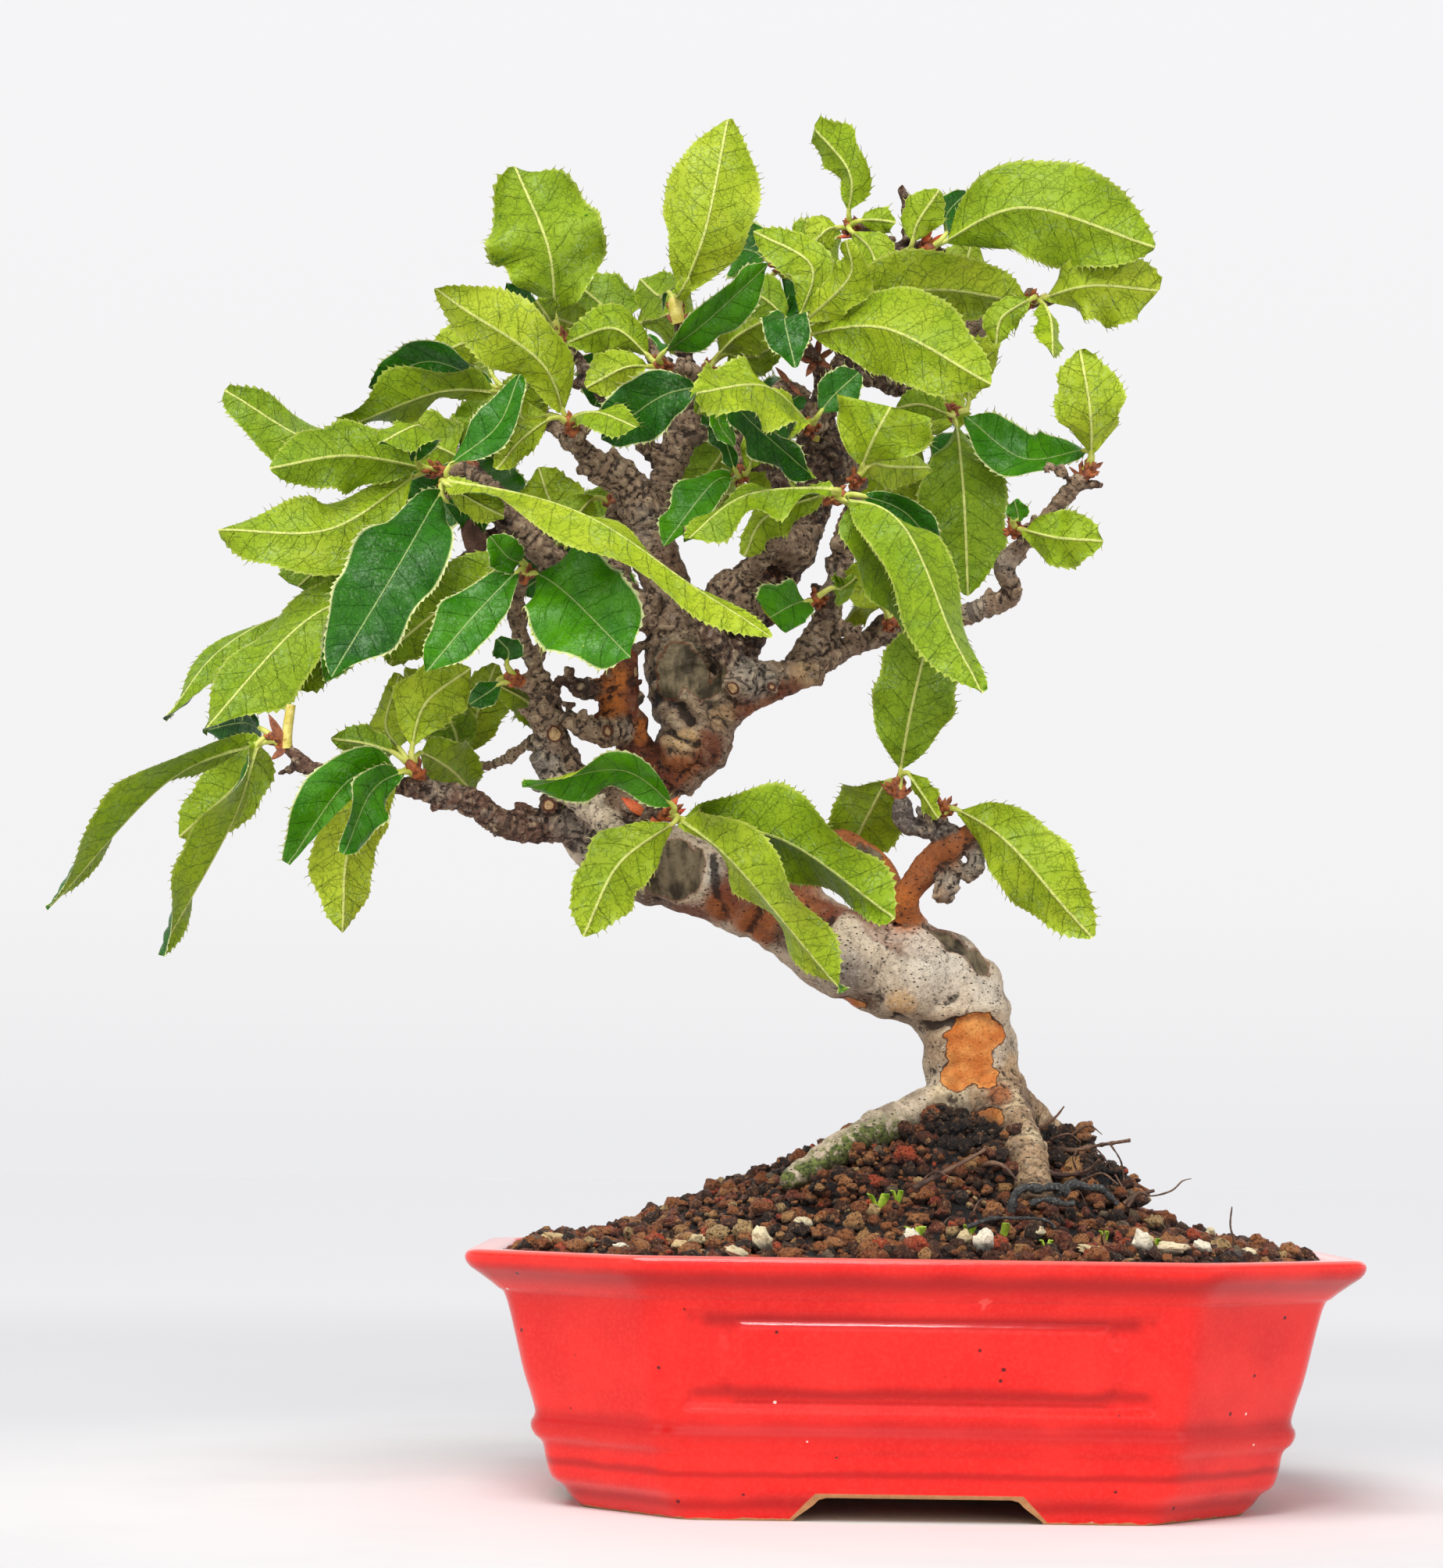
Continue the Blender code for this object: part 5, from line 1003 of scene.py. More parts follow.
def bark_finish():
    """Smooth specked bark on the trunk, cracked and ringed bark on the limbs, orange where it peels, with
    painted shade in its hollows and creases and painted highlight on its ridges.
    """
    finish = Finish("bark")
    tone = finish.attribute("tone", "Color")
    smooth = finish.attribute("smooth")
    blotch = finish.noise(5, 5, 0.6)
    fine = finish.noise(0.8, 6, 0.7)
    grain = finish.noise(0.35, 3, 0.6)
    along = finish.attribute("along")
    ring_place = {"W": along + blotch * 1.6, "Scale": 0.85, "Detail": 3}
    rings = finish.node("TexNoise", {"noise_dimensions": "1D"}, ring_place)
    crack = rings.rise(0.43, 0.36) * (1 - smooth)
    dip = finish.attribute("dip")
    parts = [finish.node("SeparateColor", {}, {0: tone}, index) for index in (0, 2)]
    grey = (parts[1] / parts[0]).rise(0.1, 0.35)
    fibre = finish.noise(1.1, 5, 0.75)
    finish.colour = finish.mix(blotch.rise(0.5, 0.72) * 0.25 * grey, tone, srgb(214, 194, 160))
    finish.lay(blotch.rise(0.5, 0.3) * 0.4, srgb(58, 40, 30))
    finish.lay(fibre.rise(0.52, 0.66) * 0.4, srgb(96, 74, 54))
    finish.lay(fibre.rise(0.46, 0.34) * smooth * grey * 0.45, srgb(240, 230, 212))
    finish.lay(fine.rise(0.52, 0.7) * 0.5, srgb(44, 28, 20))
    finish.lay(fine.rise(0.46, 0.34) * (grey * 0.25 + 0.05), srgb(226, 208, 180))
    # Painted highlight on the ridges, painted shade in the hollows and the folds between limbs
    finish.lay(dip.rise(-0.04, -0.28) * (grey * 0.35 + 0.15), srgb(214, 188, 152))
    finish.lay(dip.rise(0.05, 0.34) * 0.85, srgb(34, 20, 14))
    lichen = finish.noise(1.9, 3).rise(0.6, 0.68) * (1 - smooth) * grey
    finish.lay(lichen * 0.55, srgb(168, 152, 134))
    finish.lay(crack * 0.7, srgb(34, 22, 18))
    squashed = finish.scaled(finish.place, (1, 1, 1.7))
    spot = finish.cells(1.2, where=squashed)
    kept = finish.drawn(1.2, 1, squashed) + finish.noise(6, 2) * 0.9
    speck = spot.rise(0.26, 0.14) * kept.rise(0.72, 0.9)
    small = finish.cells(0.62, where=squashed).rise(0.3, 0.18) * finish.noise(4, 3).rise(0.42, 0.6)
    speck = speck.most(small * 0.6)
    finish.lay(speck * 0.9, srgb(40, 22, 16))
    ragged = finish.attribute("peel") + (finish.noise(3.2, 3) - 0.5) * 3.2
    fresh = finish.mix(finish.noise(3.6, 4).rise(0.35, 0.7), srgb(200, 110, 38), srgb(236, 160, 82))
    fresh = finish.mix(fine.rise(0.58, 0.75) * 0.5, fresh, srgb(150, 66, 20))
    finish.lay(ragged.rise(-0.06, 0.06), fresh)
    finish.lay(ragged.rise(-0.26, -0.04) * ragged.rise(0.14, 0.0) * 0.85, srgb(84, 40, 22))
    bare = finish.attribute("old_wood") + (finish.noise(3.5, 4) - 0.5) * 3.2
    streak = finish.noise(2.4, 4, where=finish.scaled(finish.place, (1, 1, 0.3)))
    wood = finish.mix(streak.rise(0.36, 0.64), srgb(60, 50, 32), srgb(140, 124, 94))
    wood = finish.mix(fine.rise(0.5, 0.75) * 0.5, wood, srgb(50, 42, 34))
    finish.lay(bare.rise(-0.05, 0.1), wood)
    finish.lay(bare.rise(-0.5, -0.1) * bare.rise(0.15, -0.05) * 0.7, srgb(118, 70, 44))
    scar = finish.attribute("scar")
    finish.lay(scar.rise(-0.5, -0.2), srgb(96, 52, 34))
    finish.lay(scar.rise(-0.05, 0.12), finish.mix(grain, srgb(178, 130, 78), srgb(226, 196, 146)))
    moss = finish.attribute("moss") * finish.noise(1.5, 4).rise(0.34, 0.5)
    finish.lay(moss, finish.mix(fine.rise(0.35, 0.65), srgb(40, 52, 20), srgb(128, 140, 66)))
    stain = finish.attribute("stain") * finish.noise(1.8, 4).rise(0.28, 0.5)
    finish.lay(stain * 0.85, finish.mix(fine, srgb(26, 18, 13), srgb(74, 54, 38)))
    # Painted shade along the creases
    finish.lay(finish.attribute("pinch") * 0.85, srgb(30, 20, 17))
    plate = finish.bump(ragged.rise(0.1, -0.1), 0.3)
    pits = finish.bump(1 - speck.most(crack), 0.3, plate)
    return finish.dress({
        "Roughness": 0.72 - ragged.rise(-0.06, 0.06) * 0.22,
        "Specular IOR Level": 0.4,
        "Normal": finish.bump(grain, 0.12, finish.bump(fine, 0.45, pits)),
    })


def away_from_line(spots, line):
    """Each spot's distance from a line through a few points."""
    nearest = numpy.full(len(spots), 1e6)
    for a, b in zip(line, line[1:]):
        a, b = numpy.array(a, float), numpy.array(b, float)
        share = numpy.clip((spots - a) @ (b - a) / ((b - a) @ (b - a)), 0, 1)
        nearest = numpy.minimum(nearest, numpy.linalg.norm(spots - a - share[:, None] * (b - a), axis=1))
    return nearest


def eased(low, high, values):
    share = numpy.clip((values - low) / (high - low), 0, 1)
    return share * share * (3 - 2 * share)


def eased_over(ends, values):
    """Values at points, each blended with its neighbours' along the edges."""
    degree = numpy.bincount(ends[:, 0], minlength=len(values))
    for _ in range(HOLLOW_STEPS):
        values = numpy.bincount(ends[:, 0], values[ends[:, 1]], len(values)) / degree
    return values


def grow_limbs():
    """The limbs, spurs and knobs as rough closed meshes, with samples along them for the bark."""
    draw = random.Random(11)
    points, faces, samples = [], [], []
    for number, (name, rows) in enumerate([*LIMBS.items(), *(("spur", rows) for rows in SPURS)]):
        if name in DRY_ROOTS:
            continue
        path = curve_through(rows, LIMB_SPACING)
        thickest = max(row[3] for row in rows)
        sides = 20 if thickest > TWIG_RADIUS else 14 if thickest > 3 else 9
        seat = Vector((number * 1.3, len(rows), 3))
        shade, smooth = LIMB_BARK.get(name, (DARK_TWIG if number % 2 else GREY_TWIG, 0.0))
        spots, radii = [], []
        next_ring = next_bud = draw.uniform(1, 4)
        run = 0
        for index, row in enumerate(path):
            spot = row.xyz
            run += (spot - path[index - 1].xyz).length if index else 0
            lumps = 0.15 * noise.noise(spot * 0.12 + seat) + 0.11 * noise.noise(spot * 0.4 + seat)
            radius = max(row.w, 0.5) * (1 + lumps)
            if run > next_ring and row.w < TWIG_RADIUS:
                radius += RING_HEIGHT * draw.uniform(0.4, 1.4)
                next_ring = run + draw.uniform(1.6, 4.2)
            if run > next_bud and 1.1 < row.w < TWIG_RADIUS and name not in BUDLESS:
                next_bud = run + BUDS_EVERY * draw.uniform(0.6, 1.4)
                way = (spot - path[max(index - 1, 0)].xyz).normalized() if index else Vector((0, 0, 1))
                out = Vector((draw.gauss(0, 1), draw.gauss(0, 1), draw.gauss(0.4, 1)))
                out = (out - way * out.dot(way)).normalized() + way * draw.uniform(0.2, 0.9)
                size = draw.uniform(0.8, 1.5)
                length = row.w + draw.uniform(1.2, 3.2)
                bud = [spot, spot + out * length * 0.7, spot + out * length]
                tube_mesh(bud, [size * 1.2, size, size * 0.55], 8, points, faces)
                samples += [(end, size, shade, 0.1, run) for end in bud[1:]]
            radii.append(radius)
            spots.append(spot)
            samples.append((spot, radius, shade, smooth, run + number * 17))
        tube_mesh(spots, radii, sides, points, faces)
    body = bmesh.new()
    for x, y, z, radius in KNOBS:
        made = bmesh.ops.create_icosphere(body, subdivisions=3, radius=radius)
        bmesh.ops.translate(body, vec=(x, y, z), verts=made["verts"])
    body.verts.index_update()
    knob_faces = [[vert.index for vert in face.verts] for face in body.faces]
    join_on(points, faces, [vert.co.copy() for vert in body.verts], knob_faces)
    body.free()
    return points, faces, samples


def build_wood():
    """Fuses the limbs in one closed skin, gives it the bark's relief and marks, and thins it."""
    points, faces, samples = grow_limbs()
    fuse = ("REMESH", {"mode": "VOXEL", "voxel_size": VOXEL * MM})
    ease = ("SMOOTH", {"iterations": 1, "factor": 0.5})
    skin = worked(raw_mesh("living_wood", points, faces), fuse, ease)
    tree = KDTree(len(samples))
    for index, sample in enumerate(samples):
        tree.insert(sample[0], index)
    tree.balance()
    origin = place((0, 0, 0))
    spots = [(vert.co - origin) / MM for vert in skin.vertices]
    tones, smooths, alongs, lifts = [], [], [], []
    for spot in spots:
        weight = smooth = along = nearest = 0
        tone = [0, 0, 0]
        for _, index, distance in tree.find_n(spot, SAMPLES_BLENDED):
            _, radius, shade, sample_smooth, run = samples[index]
            share = 1 / (max(distance - radius, 0) + 0.25) ** 3
            weight += share
            smooth += share * sample_smooth
            tone = [t + share * s for t, s in zip(tone, shade)]
            if share > nearest:
                nearest, along = share, run
        smooth /= weight
        coarse = 1 - smooth
        bulge = 0.5 * noise.noise(spot * 0.22) * (0.4 + smooth)
        ridges = abs(noise.noise(spot * 0.55)) + 0.5 * abs(noise.noise(spot * 1.4))
        pores = noise.noise(spot * 2.6) * 0.14
        lifts.append(bulge + coarse * (ridges - 0.35) * 1.0 + pores)
        tones.append([t / weight for t in tone])
        smooths.append(smooth)
        alongs.append(along)
    spots = numpy.array(spots)
    tones = numpy.array(tones)
    lifts = numpy.array(lifts)
    for middle, radius, shade, share in TONES:
        away = numpy.linalg.norm(spots - numpy.array(middle), axis=1)
        part = (eased(radius * 1.25, radius * 0.6, away) * share)[:, None]
        tones = tones * (1 - part) + numpy.array(shade[:3]) * part
    peel = numpy.full(len(spots), FAR_OUTSIDE)
    for middle, half in PEELED:
        reach = numpy.linalg.norm((spots - numpy.array(middle)) / numpy.array(half), axis=1)
        peel = numpy.maximum(peel, (1 - reach) * min(half))
    old_wood = numpy.full(len(spots), FAR_OUTSIDE)
    for line, half in OLD_WOOD:
        old_wood = numpy.maximum(old_wood, half - away_from_line(spots, line))
    scar = numpy.full(len(spots), FAR_OUTSIDE)
    for middle, radius in SCARS:
        scar = numpy.maximum(scar, radius - numpy.linalg.norm(spots - numpy.array(middle), axis=1))
    pinch = numpy.zeros(len(spots))
    for line, depth in CREASES:
        away = away_from_line(spots * SEEN_FLAT, [numpy.array(point) * SEEN_FLAT for point in line])
        lifts -= depth * numpy.exp(-(away / 0.9) ** 2)
        lifts += depth * 0.45 * numpy.exp(-((away - 2.4) / 1.1) ** 2)
        # Painted shade along each crease line
        pinch = numpy.maximum(pinch, numpy.exp(-(away / 0.45) ** 2) * min(depth, 1))
    lifts -= 0.25 * eased(-0.4, 0.4, peel) + 0.5 * eased(-0.3, 0.8, old_wood)
    lifts += 0.25 * numpy.exp(-((old_wood + 0.4) / 0.5) ** 2) - 0.15 * eased(-0.1, 0.3, scar)
    normals = numpy.array([vert.normal for vert in skin.vertices])
    moss = eased(4, -4, spots[:, 0]) * eased(72, 67, spots[:, 2]) * eased(0.92, 0.6, normals[:, 2])
    stain = numpy.zeros(len(spots))
    for index in numpy.nonzero(spots[:, 2] < ROOT_TOP)[0]:
        top = soil_top(spots[index][0], spots[index][1])
        if top:
            stain[index] = 1 - smoothstep(0.5, 6.0, spots[index][2] - top[0])
    moved = (spots + normals * lifts[:, None]) * MM + numpy.array(origin)
    skin.vertices.foreach_set("co", moved.astype(numpy.float32).ravel())
    # How far each point lies below its neighbours, from the relief and from the folds between limbs, for
    # painted shade in the hollows and painted highlight on the ridges
    ends = numpy.empty(len(skin.edges) * 2, numpy.int32)
    skin.edges.foreach_get("vertices", ends)
    ends = ends.reshape(-1, 2)
    ends = numpy.concatenate((ends, ends[:, ::-1]))
    dip = eased_over(ends, lifts) - lifts
    middles = numpy.column_stack([eased_over(ends, moved[:, axis]) for axis in range(3)])
    dip = dip + numpy.maximum(((middles - moved) * normals).sum(axis=1) / MM, 0) * 1.4
    marks = {
        "dip": dip, "smooth": smooths, "along": alongs, "peel": peel, "old_wood": old_wood, "scar": scar,
        "moss": moss, "stain": stain, "pinch": pinch,
    }
    for name, values in marks.items():
        store(skin, name, values)
    store(skin, "tone", numpy.column_stack((tones, numpy.ones(len(spots)))), "FLOAT_COLOR", "color")
    skin = worked(skin, ("DECIMATE", {"ratio": KEPT_SHARE}))
    made = dress_piece("living_wood", skin, [bark_finish()], 180)
    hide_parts("wood")


build_wood()

# Leafy sprays
# Each twig ends in a short shoot with brown bud scales, and its leaves stand on short stalks: pointed
# ovals with a fine bristly saw edge, glossy above, paler and netted with veins below.

# Each spray names the limb that it ends, then its leaves: bend, tip, width and roll in degrees. A roll
# of 0 shows the underside square on from the eye.
SPRAYS = {
    "left_tip": ("low_left", (
        ((-137, -20, 129), (-158, -20, 105), 17, -75), ((-126, -4, 130), (-137, -2, 120), 12, 0),
        ((-125, -22, 121), (-137, -24, 97), 17, -75), ((-126, 0, 142), (-134, 6, 141), 9, 160),
    )),
    "left_branch": ("low_left_spur", (
        ((-103, -26, 129), (-114, -27, 113), 12.5, 165), ((-99, -26, 127), (-103, -33, 115), 10, 135),
        ((-104, -13, 118), (-105, -12, 102), 12.5, -20), ((-86, -6, 133), (-82, 4, 129), 12, 0),
        ((-90, -19, 144), (-82, -16, 151), 12, 0), ((-98, -10, 141), (-96, -6, 151), 8.5, -30),
        ((-101, -13, 137), (-108, -12, 138), 6.5, -25),
    )),
    "left_twig_end": ("left_twig", (
        ((-86, 3, 141), (-90, 2, 148), 9.5, 0), ((-82, 8, 146), (-79, 10, 155), 10.5, 0),
        ((-91, 11, 147), (-97, 14, 154), 9.5, 0),
    )),
    "left_riser_side": ("riser_spur", (
        ((-78, -16, 147), (-82, -18, 144), 5, 180), ((-75, -18, 154), (-77, -20, 156), 6, 180),
        ((-72, -4, 146), (-71, 2, 142), 7, -20),
    )),
    "left_riser_top": ("left_riser", (
        ((-64, -30, 163), (-52, -42, 150), 20, 180), ((-75, -27, 170), (-78, -32, 173), 7, 180),
        ((-81, -27, 159), (-89, -32, 148), 11, -160), ((-87, -14, 163), (-99, -8, 154), 15, 0),
    )),
    "left_arm_end": ("left_arm", (
        ((-95, -26, 168), (-106, -32, 147), 17, -165), ((-102, -14, 165), (-110, -10, 149), 16, 130),
        ((-59, -38, 175), (-28, -44, 152), 17, -70), ((-78, -16, 196), (-74, -16, 206), 9, 145),
        ((-81, -20, 181), (-76, -24, 178), 6.5, 0), ((-83, -11, 180), (-83, -8, 175), 5.5, 180),
    )),
    "left_leader_end": ("left_leader", (
        ((-71, -17, 209), (-90, -22, 220), 14, -15), ((-59, -20, 198), (-52, -28, 194), 8.5, -50),
        ((-74, -10, 199), (-72, -8, 210), 9.5, 0), ((-74, -13, 194), (-78, -16, 188), 6.5, -15),
    )),
    "crown_left": ("upper_back_left", (
        ((-70, 2, 234), (-77, 6, 251), 22.5, 0), ((-70, 3, 221), (-72, -2, 223), 6.5, 0),
        ((-76, 12, 226), (-82, 12, 228), 6, 180), ((-66, 18, 223), (-63, 24, 225), 9, 0),
    )),
    "crown_mid_left": ("mid_leader", (
        ((-57, -6, 217), (-66, -2, 215), 9, 0), ((-55, -8, 209), (-62, -9, 205), 9, 0),
        ((-40, -12, 217), (-28, -10, 229), 11, -135), ((-49, 1, 215), (-51, 4, 218), 4.5, 165),
    )),
    "crown_bud": ("fork_bud", (
        ((-40, 0, 238), (-36, 4, 261), 18, 0), ((-45, 1, 225), (-43, -2, 228), 3.5, -15),
        ((-49, 15, 228), (-53, 22, 233), 10.5, 0),
    )),
    "crown_front_end": ("crown_front", (
        ((-48, -16, 202), (-59, -10, 195), 12, 180), ((-31, -25, 196), (-19, -28, 185), 11.5, -125),
        ((-37, -17, 197), (-34, -16, 193), 4.5, 150), ((-40, -13, 202), (-41, -10, 200), 4.5, 0),
    )),
    "crown_mid": ("crown_spur", (
        ((-33, 6, 219), (-25, 10, 224), 11, 0), ((-32, 10, 215), (-25, 14, 219), 8.5, 0),
    )),
    "leader_front": ("fork_front", (
        ((-29, -32, 201), (-41, -46, 197), 16, 50), ((-16, -13, 203), (-11, -12, 208), 8, 180),
    )),
    "leader_bud": ("top_bud", (
        ((-6, -18, 215), (13, -22, 204), 17.5, 0), ((-25, -16, 217), (-23, -20, 207), 9, 180),
        ((1, -7, 225), (21, -2, 224), 16.5, 40), ((-20, -8, 229), (-31, -6, 236), 9.5, 20),
        ((-13, -17, 225), (-14, -21, 231), 9, -25), ((-29, -7, 223), (-35, -4, 225), 9, 0),
    )),
    "front_spur_end": ("front_spur", (
        ((-3, -36, 174), (9, -38, 144), 17, -45), ((-10, -26, 174), (4, -24, 155), 12.5, -55),
        ((-32, -31, 181), (-43, -34, 172), 12.5, 65), ((-28, -21, 179), (-32, -18, 172), 8.5, 30),
        ((-3, -24, 180), (4, -20, 173), 8, -150),
    )),
    "right_riser_end": ("right_riser", (
        ((-8, -20, 195), (-2, -22, 206), 19, 0), ((-5, -8, 191), (3, -2, 192), 8.5, 0),
    )),
    "fork_low_end": ("fork_low", (
        ((-38, -4, 188), (-47, -10, 175), 9.5, -150), ((-30, -2, 195), (-27, -4, 198), 6, 0),
        ((-36, -3, 197), (-40, -6, 201), 5.5, 135), ((-35, 12, 189), (-38, 16, 185), 9, 0),
    )),
    "riser_side": ("riser_side_spur", (
        ((-23, -12, 164), (-30, -18, 159), 11, 180), ((-14, -6, 168), (-11, -8, 170), 6, 0),
    )),
    "far_right_side": ("far_right_spur", (
        ((-8, -4, 168), (-9, -4, 175), 9, 0), ((-10, 6, 166), (-14, 8, 161), 6.5, 40),
    )),
    "low_right_top": ("low_right_knobs", (
        ((-1, -18, 144), (3, -20, 162), 15.5, 0), ((-9, 4, 124), (-12, 10, 117), 14, 0),
        ((2, -16, 128), (4, -20, 124), 5.5, 45),
    )),
    "low_right_mid": ("low_right_shoot", (
        ((17, -24, 119), (31, -28, 102), 14.5, 15),
    )),
    "front_low": ("front_shoot", (
        ((-24, -40, 118), (-5, -48, 104), 17, 40), ((-33, -40, 114), (-14, -48, 91), 17, 60),
        ((-54, -33, 131), (-71, -38, 127), 12, 120), ((-54, -30, 114), (-60, -30, 101), 12.5, 0),
    )),
    "far_right_end": ("far_right", (
        ((32, -14, 201), (30, -14, 213), 13, 0), ((21, 4, 195), (10, 8, 204), 11.5, -150),
    )),
    "far_right_mid": ("far_right_bud", (
        ((26, -14, 177), (33, -18, 176), 11, 0), ((19, -11, 181), (18, -14, 184), 4.5, 180),
    )),
    "behind_right_end": ("behind_right", (
        ((10, 8, 189), (11, 8, 169), 17, 0), ((2, 13, 207), (-3, 12, 206), 6.5, 0),
        ((9, 16, 226), (12, 16, 241), 20.5, 0),
    )),
    "outer_right_end": ("outer_right", (
        ((33, -8, 226), (47, -8, 225), 15, 0), ((25, -8, 219), (25, -14, 211), 7, -50),
        ((16, -6, 220), (15, -6, 215), 6.5, 0),
    )),
    "top_right_end": ("top_right", (
        ((20, -11, 240), (44, -14, 232), 19.5, 0), ((6, 3, 242), (10, 6, 247), 7, -150),
    )),
    "top_mid_end": ("top_mid", (
        ((0, -6, 238), (4, -8, 244), 8, 0),
    )),
    "top_left_end": ("top_left", (
        ((-13, -6, 248), (-22, -4, 259), 9.5, -35), ((-17, -4, 237), (-20, -4, 234), 7.5, 0),
        ((-8, -4, 239), (-4, -6, 238), 5, 0), ((-9, -6, 233), (-7, -8, 227), 8.5, 0),
    )),
    "far_left_end": ("far_left", (
        ((-107, -6, 192), (-121, -8, 189), 13, 0), ((-115, 8, 197), (-132, 8, 207), 16.5, 45),
        ((-110, -5, 178), (-131, -4, 178), 16.5, 30), ((-93, -10, 197), (-100, -18, 192), 9, 55),
    )),
    "upper_left_end": ("upper_left", (
        ((-91, 2, 206), (-110, 2, 198), 13, -50), ((-93, 12, 214), (-105, 14, 209), 11, 150),
        ((-85, 18, 219), (-95, 22, 216), 10, -10),
    )),
    "left_hidden_end": ("left_hidden", (
        ((-110, 8, 174), (-123, 8, 163), 13.5, 30), ((-113, -6, 161), (-132, -10, 139), 17, 40),
        ((-124, 6, 161), (-143, 2, 145), 17, 70), ((-108, 6, 160), (-119, 8, 149), 12.5, 50),
        ((-94, 3, 163), (-99, 6, 154), 9, 0),
    )),
    "thin_riser_end": ("thin_riser", (
        ((-64, 6, 183), (-68, 10, 178), 9.5, 0), ((-56, 11, 184), (-53, 16, 179), 6, 0),
    )),
    "back_low_end": ("back_low", (
        ((-70, 35, 190), (-73, 37, 198), 14, 0), ((-69, 35, 178), (-76, 38, 173), 14, 180),
        ((-59, 40, 189), (-53, 46, 193), 12.5, 0), ((-60, 39, 176), (-55, 43, 170), 12.5, 180),
    )),
    "back_mid_end": ("back_mid", (
        ((-38, 38, 199), (-43, 38, 192), 14, 0), ((-36, 39, 213), (-41, 41, 219), 15.5, 0),
        ((-25, 39, 211), (-20, 42, 215), 14, 180), ((-25, 41, 199), (-20, 43, 193), 12.5, 0),
    )),
    "back_right_end": ("back_right", (
        ((10, 37, 200), (16, 35, 192), 15, 180), ((6, 38, 212), (10, 41, 219), 14, 0),
        ((-3, 38, 196), (-6, 39, 186), 14, 0),
    )),
    "back_top_end": ("back_top", (
        ((-61, 31, 230), (-67, 32, 235), 13.5, 0), ((-58, 32, 217), (-62, 35, 210), 14, 180),
        ((-47, 34, 229), (-44, 38, 236), 14, 0),
    )),
    "back_top_right_end": ("back_top_right", (
        ((-30, 32, 230), (-34, 32, 222), 14, 0), ((-17, 34, 243), (-13, 37, 246), 12.5, 0),
        ((-19, 30, 232), (-16, 29, 224), 14, 180), ((-31, 35, 242), (-36, 41, 244), 12.5, 180),
    )),
    "back_left_end": ("back_left", (
        ((-94, 30, 201), (-102, 30, 202), 13.5, 0), ((-92, 30, 191), (-99, 30, 187), 13.5, 180),
        ((-83, 32, 205), (-81, 35, 213), 14, 0), ((-82, 38, 195), (-78, 45, 193), 12.5, 180),
    )),
}
EYE = Vector((-35.6, -700.0, 67.4))
SEAT_GAP = 0.35
STALK_LENGTH = 3.5
STALK_RADIUS = 0.5
LEAF_FOLD = 0.24
LEAF_SHAPE = (0.9, 0.8)
KNEE_LENGTH = 3.0
KNEE_ALONG_SHOOT = 0.8
SHOOT_LENGTH = 2.6
SHOOT_LEAF_PITCH = 0.35
SHOOT_LEAST_RADIUS = 1.2
FIRST_LEAF_AT = 0.3
LEAVES_SPREAD_OVER = 0.55
BASE_OUT = 0.45
BLADE_THICKNESS = 0.36
TOOTH_PITCH = 1.25
TOOTH_HEIGHT = 0.42
BRISTLE_LENGTH = 0.8
BRISTLED_SHARE = 0.5
BUD_SCALES = 9
# Ranges that a blade draws from: waves of its margin along its length, their height and the depth of
# its bays as shares of its width, and how far each tooth stands out
MARGIN_WAVES = (1.4, 3.0)
WAVE_HEIGHTS = (0.06, 0.14)
MARGIN_BAYS = (0.02, 0.09)
TOOTH_REACH = (0.5, 1.2)
# Where a tooth's point stands between two notches
TOOTH_LEAN = 0.68
# How high the blade rises between side veins, at most and for each millimetre of width
QUILTING = (0.5, 0.03)
FULL_TURN = 6.28
SCALE_TURN = 2.4
VEIN_SPACING = 4.2
VEIN_SLANT = 0.62
ACROSS = (0, 0.08, 0.28, 0.5, 0.7, 0.86, 0.95, 1)
# Where a blade was trimmed or torn: spray, leaf, then the ends of the cut as shares of the blade's
# length and half width. What lies beyond the line from the leaf's middle is gone.
TRIMMED = {
    ("top_left_end", 0): (((0.8, -1), (0.9, 1)),),
    ("outer_right_end", 0): (((0.74, 1.0), (1.0, -0.35)),),
    ("behind_right_end", 2): (((0.55, 1.05), (0.98, 0.1)),),
    ("right_riser_end", 0): (((0.5, -1.1), (0.78, 1.0)),),
    ("riser_side", 0): (((0.78, -1), (0.68, 1)), ((0.0, 0.75), (1.0, 0.7))),
    ("left_branch", 0): (((0.2, 0.6), (1.0, 0.05)),),
    ("left_hidden_end", 0): (((0.7, -1), (0.8, 1)),),
    ("crown_left", 2): (((0.7, 1), (0.8, -1)),),
}
# How far a tip curls back towards the upper side, where it shows
CURLED = {
    ("left_hidden_end", 2): 3.0, ("far_left_end", 0): 2.5, ("far_right_mid", 0): 3.0,
    ("left_arm_end", 2): -2.0, ("front_spur_end", 0): -2.5, ("low_right_mid", 0): 1.5,
    ("far_right_end", 0): 2.0, ("crown_bud", 0): 1.5, ("left_leader_end", 0): 2.5,
}


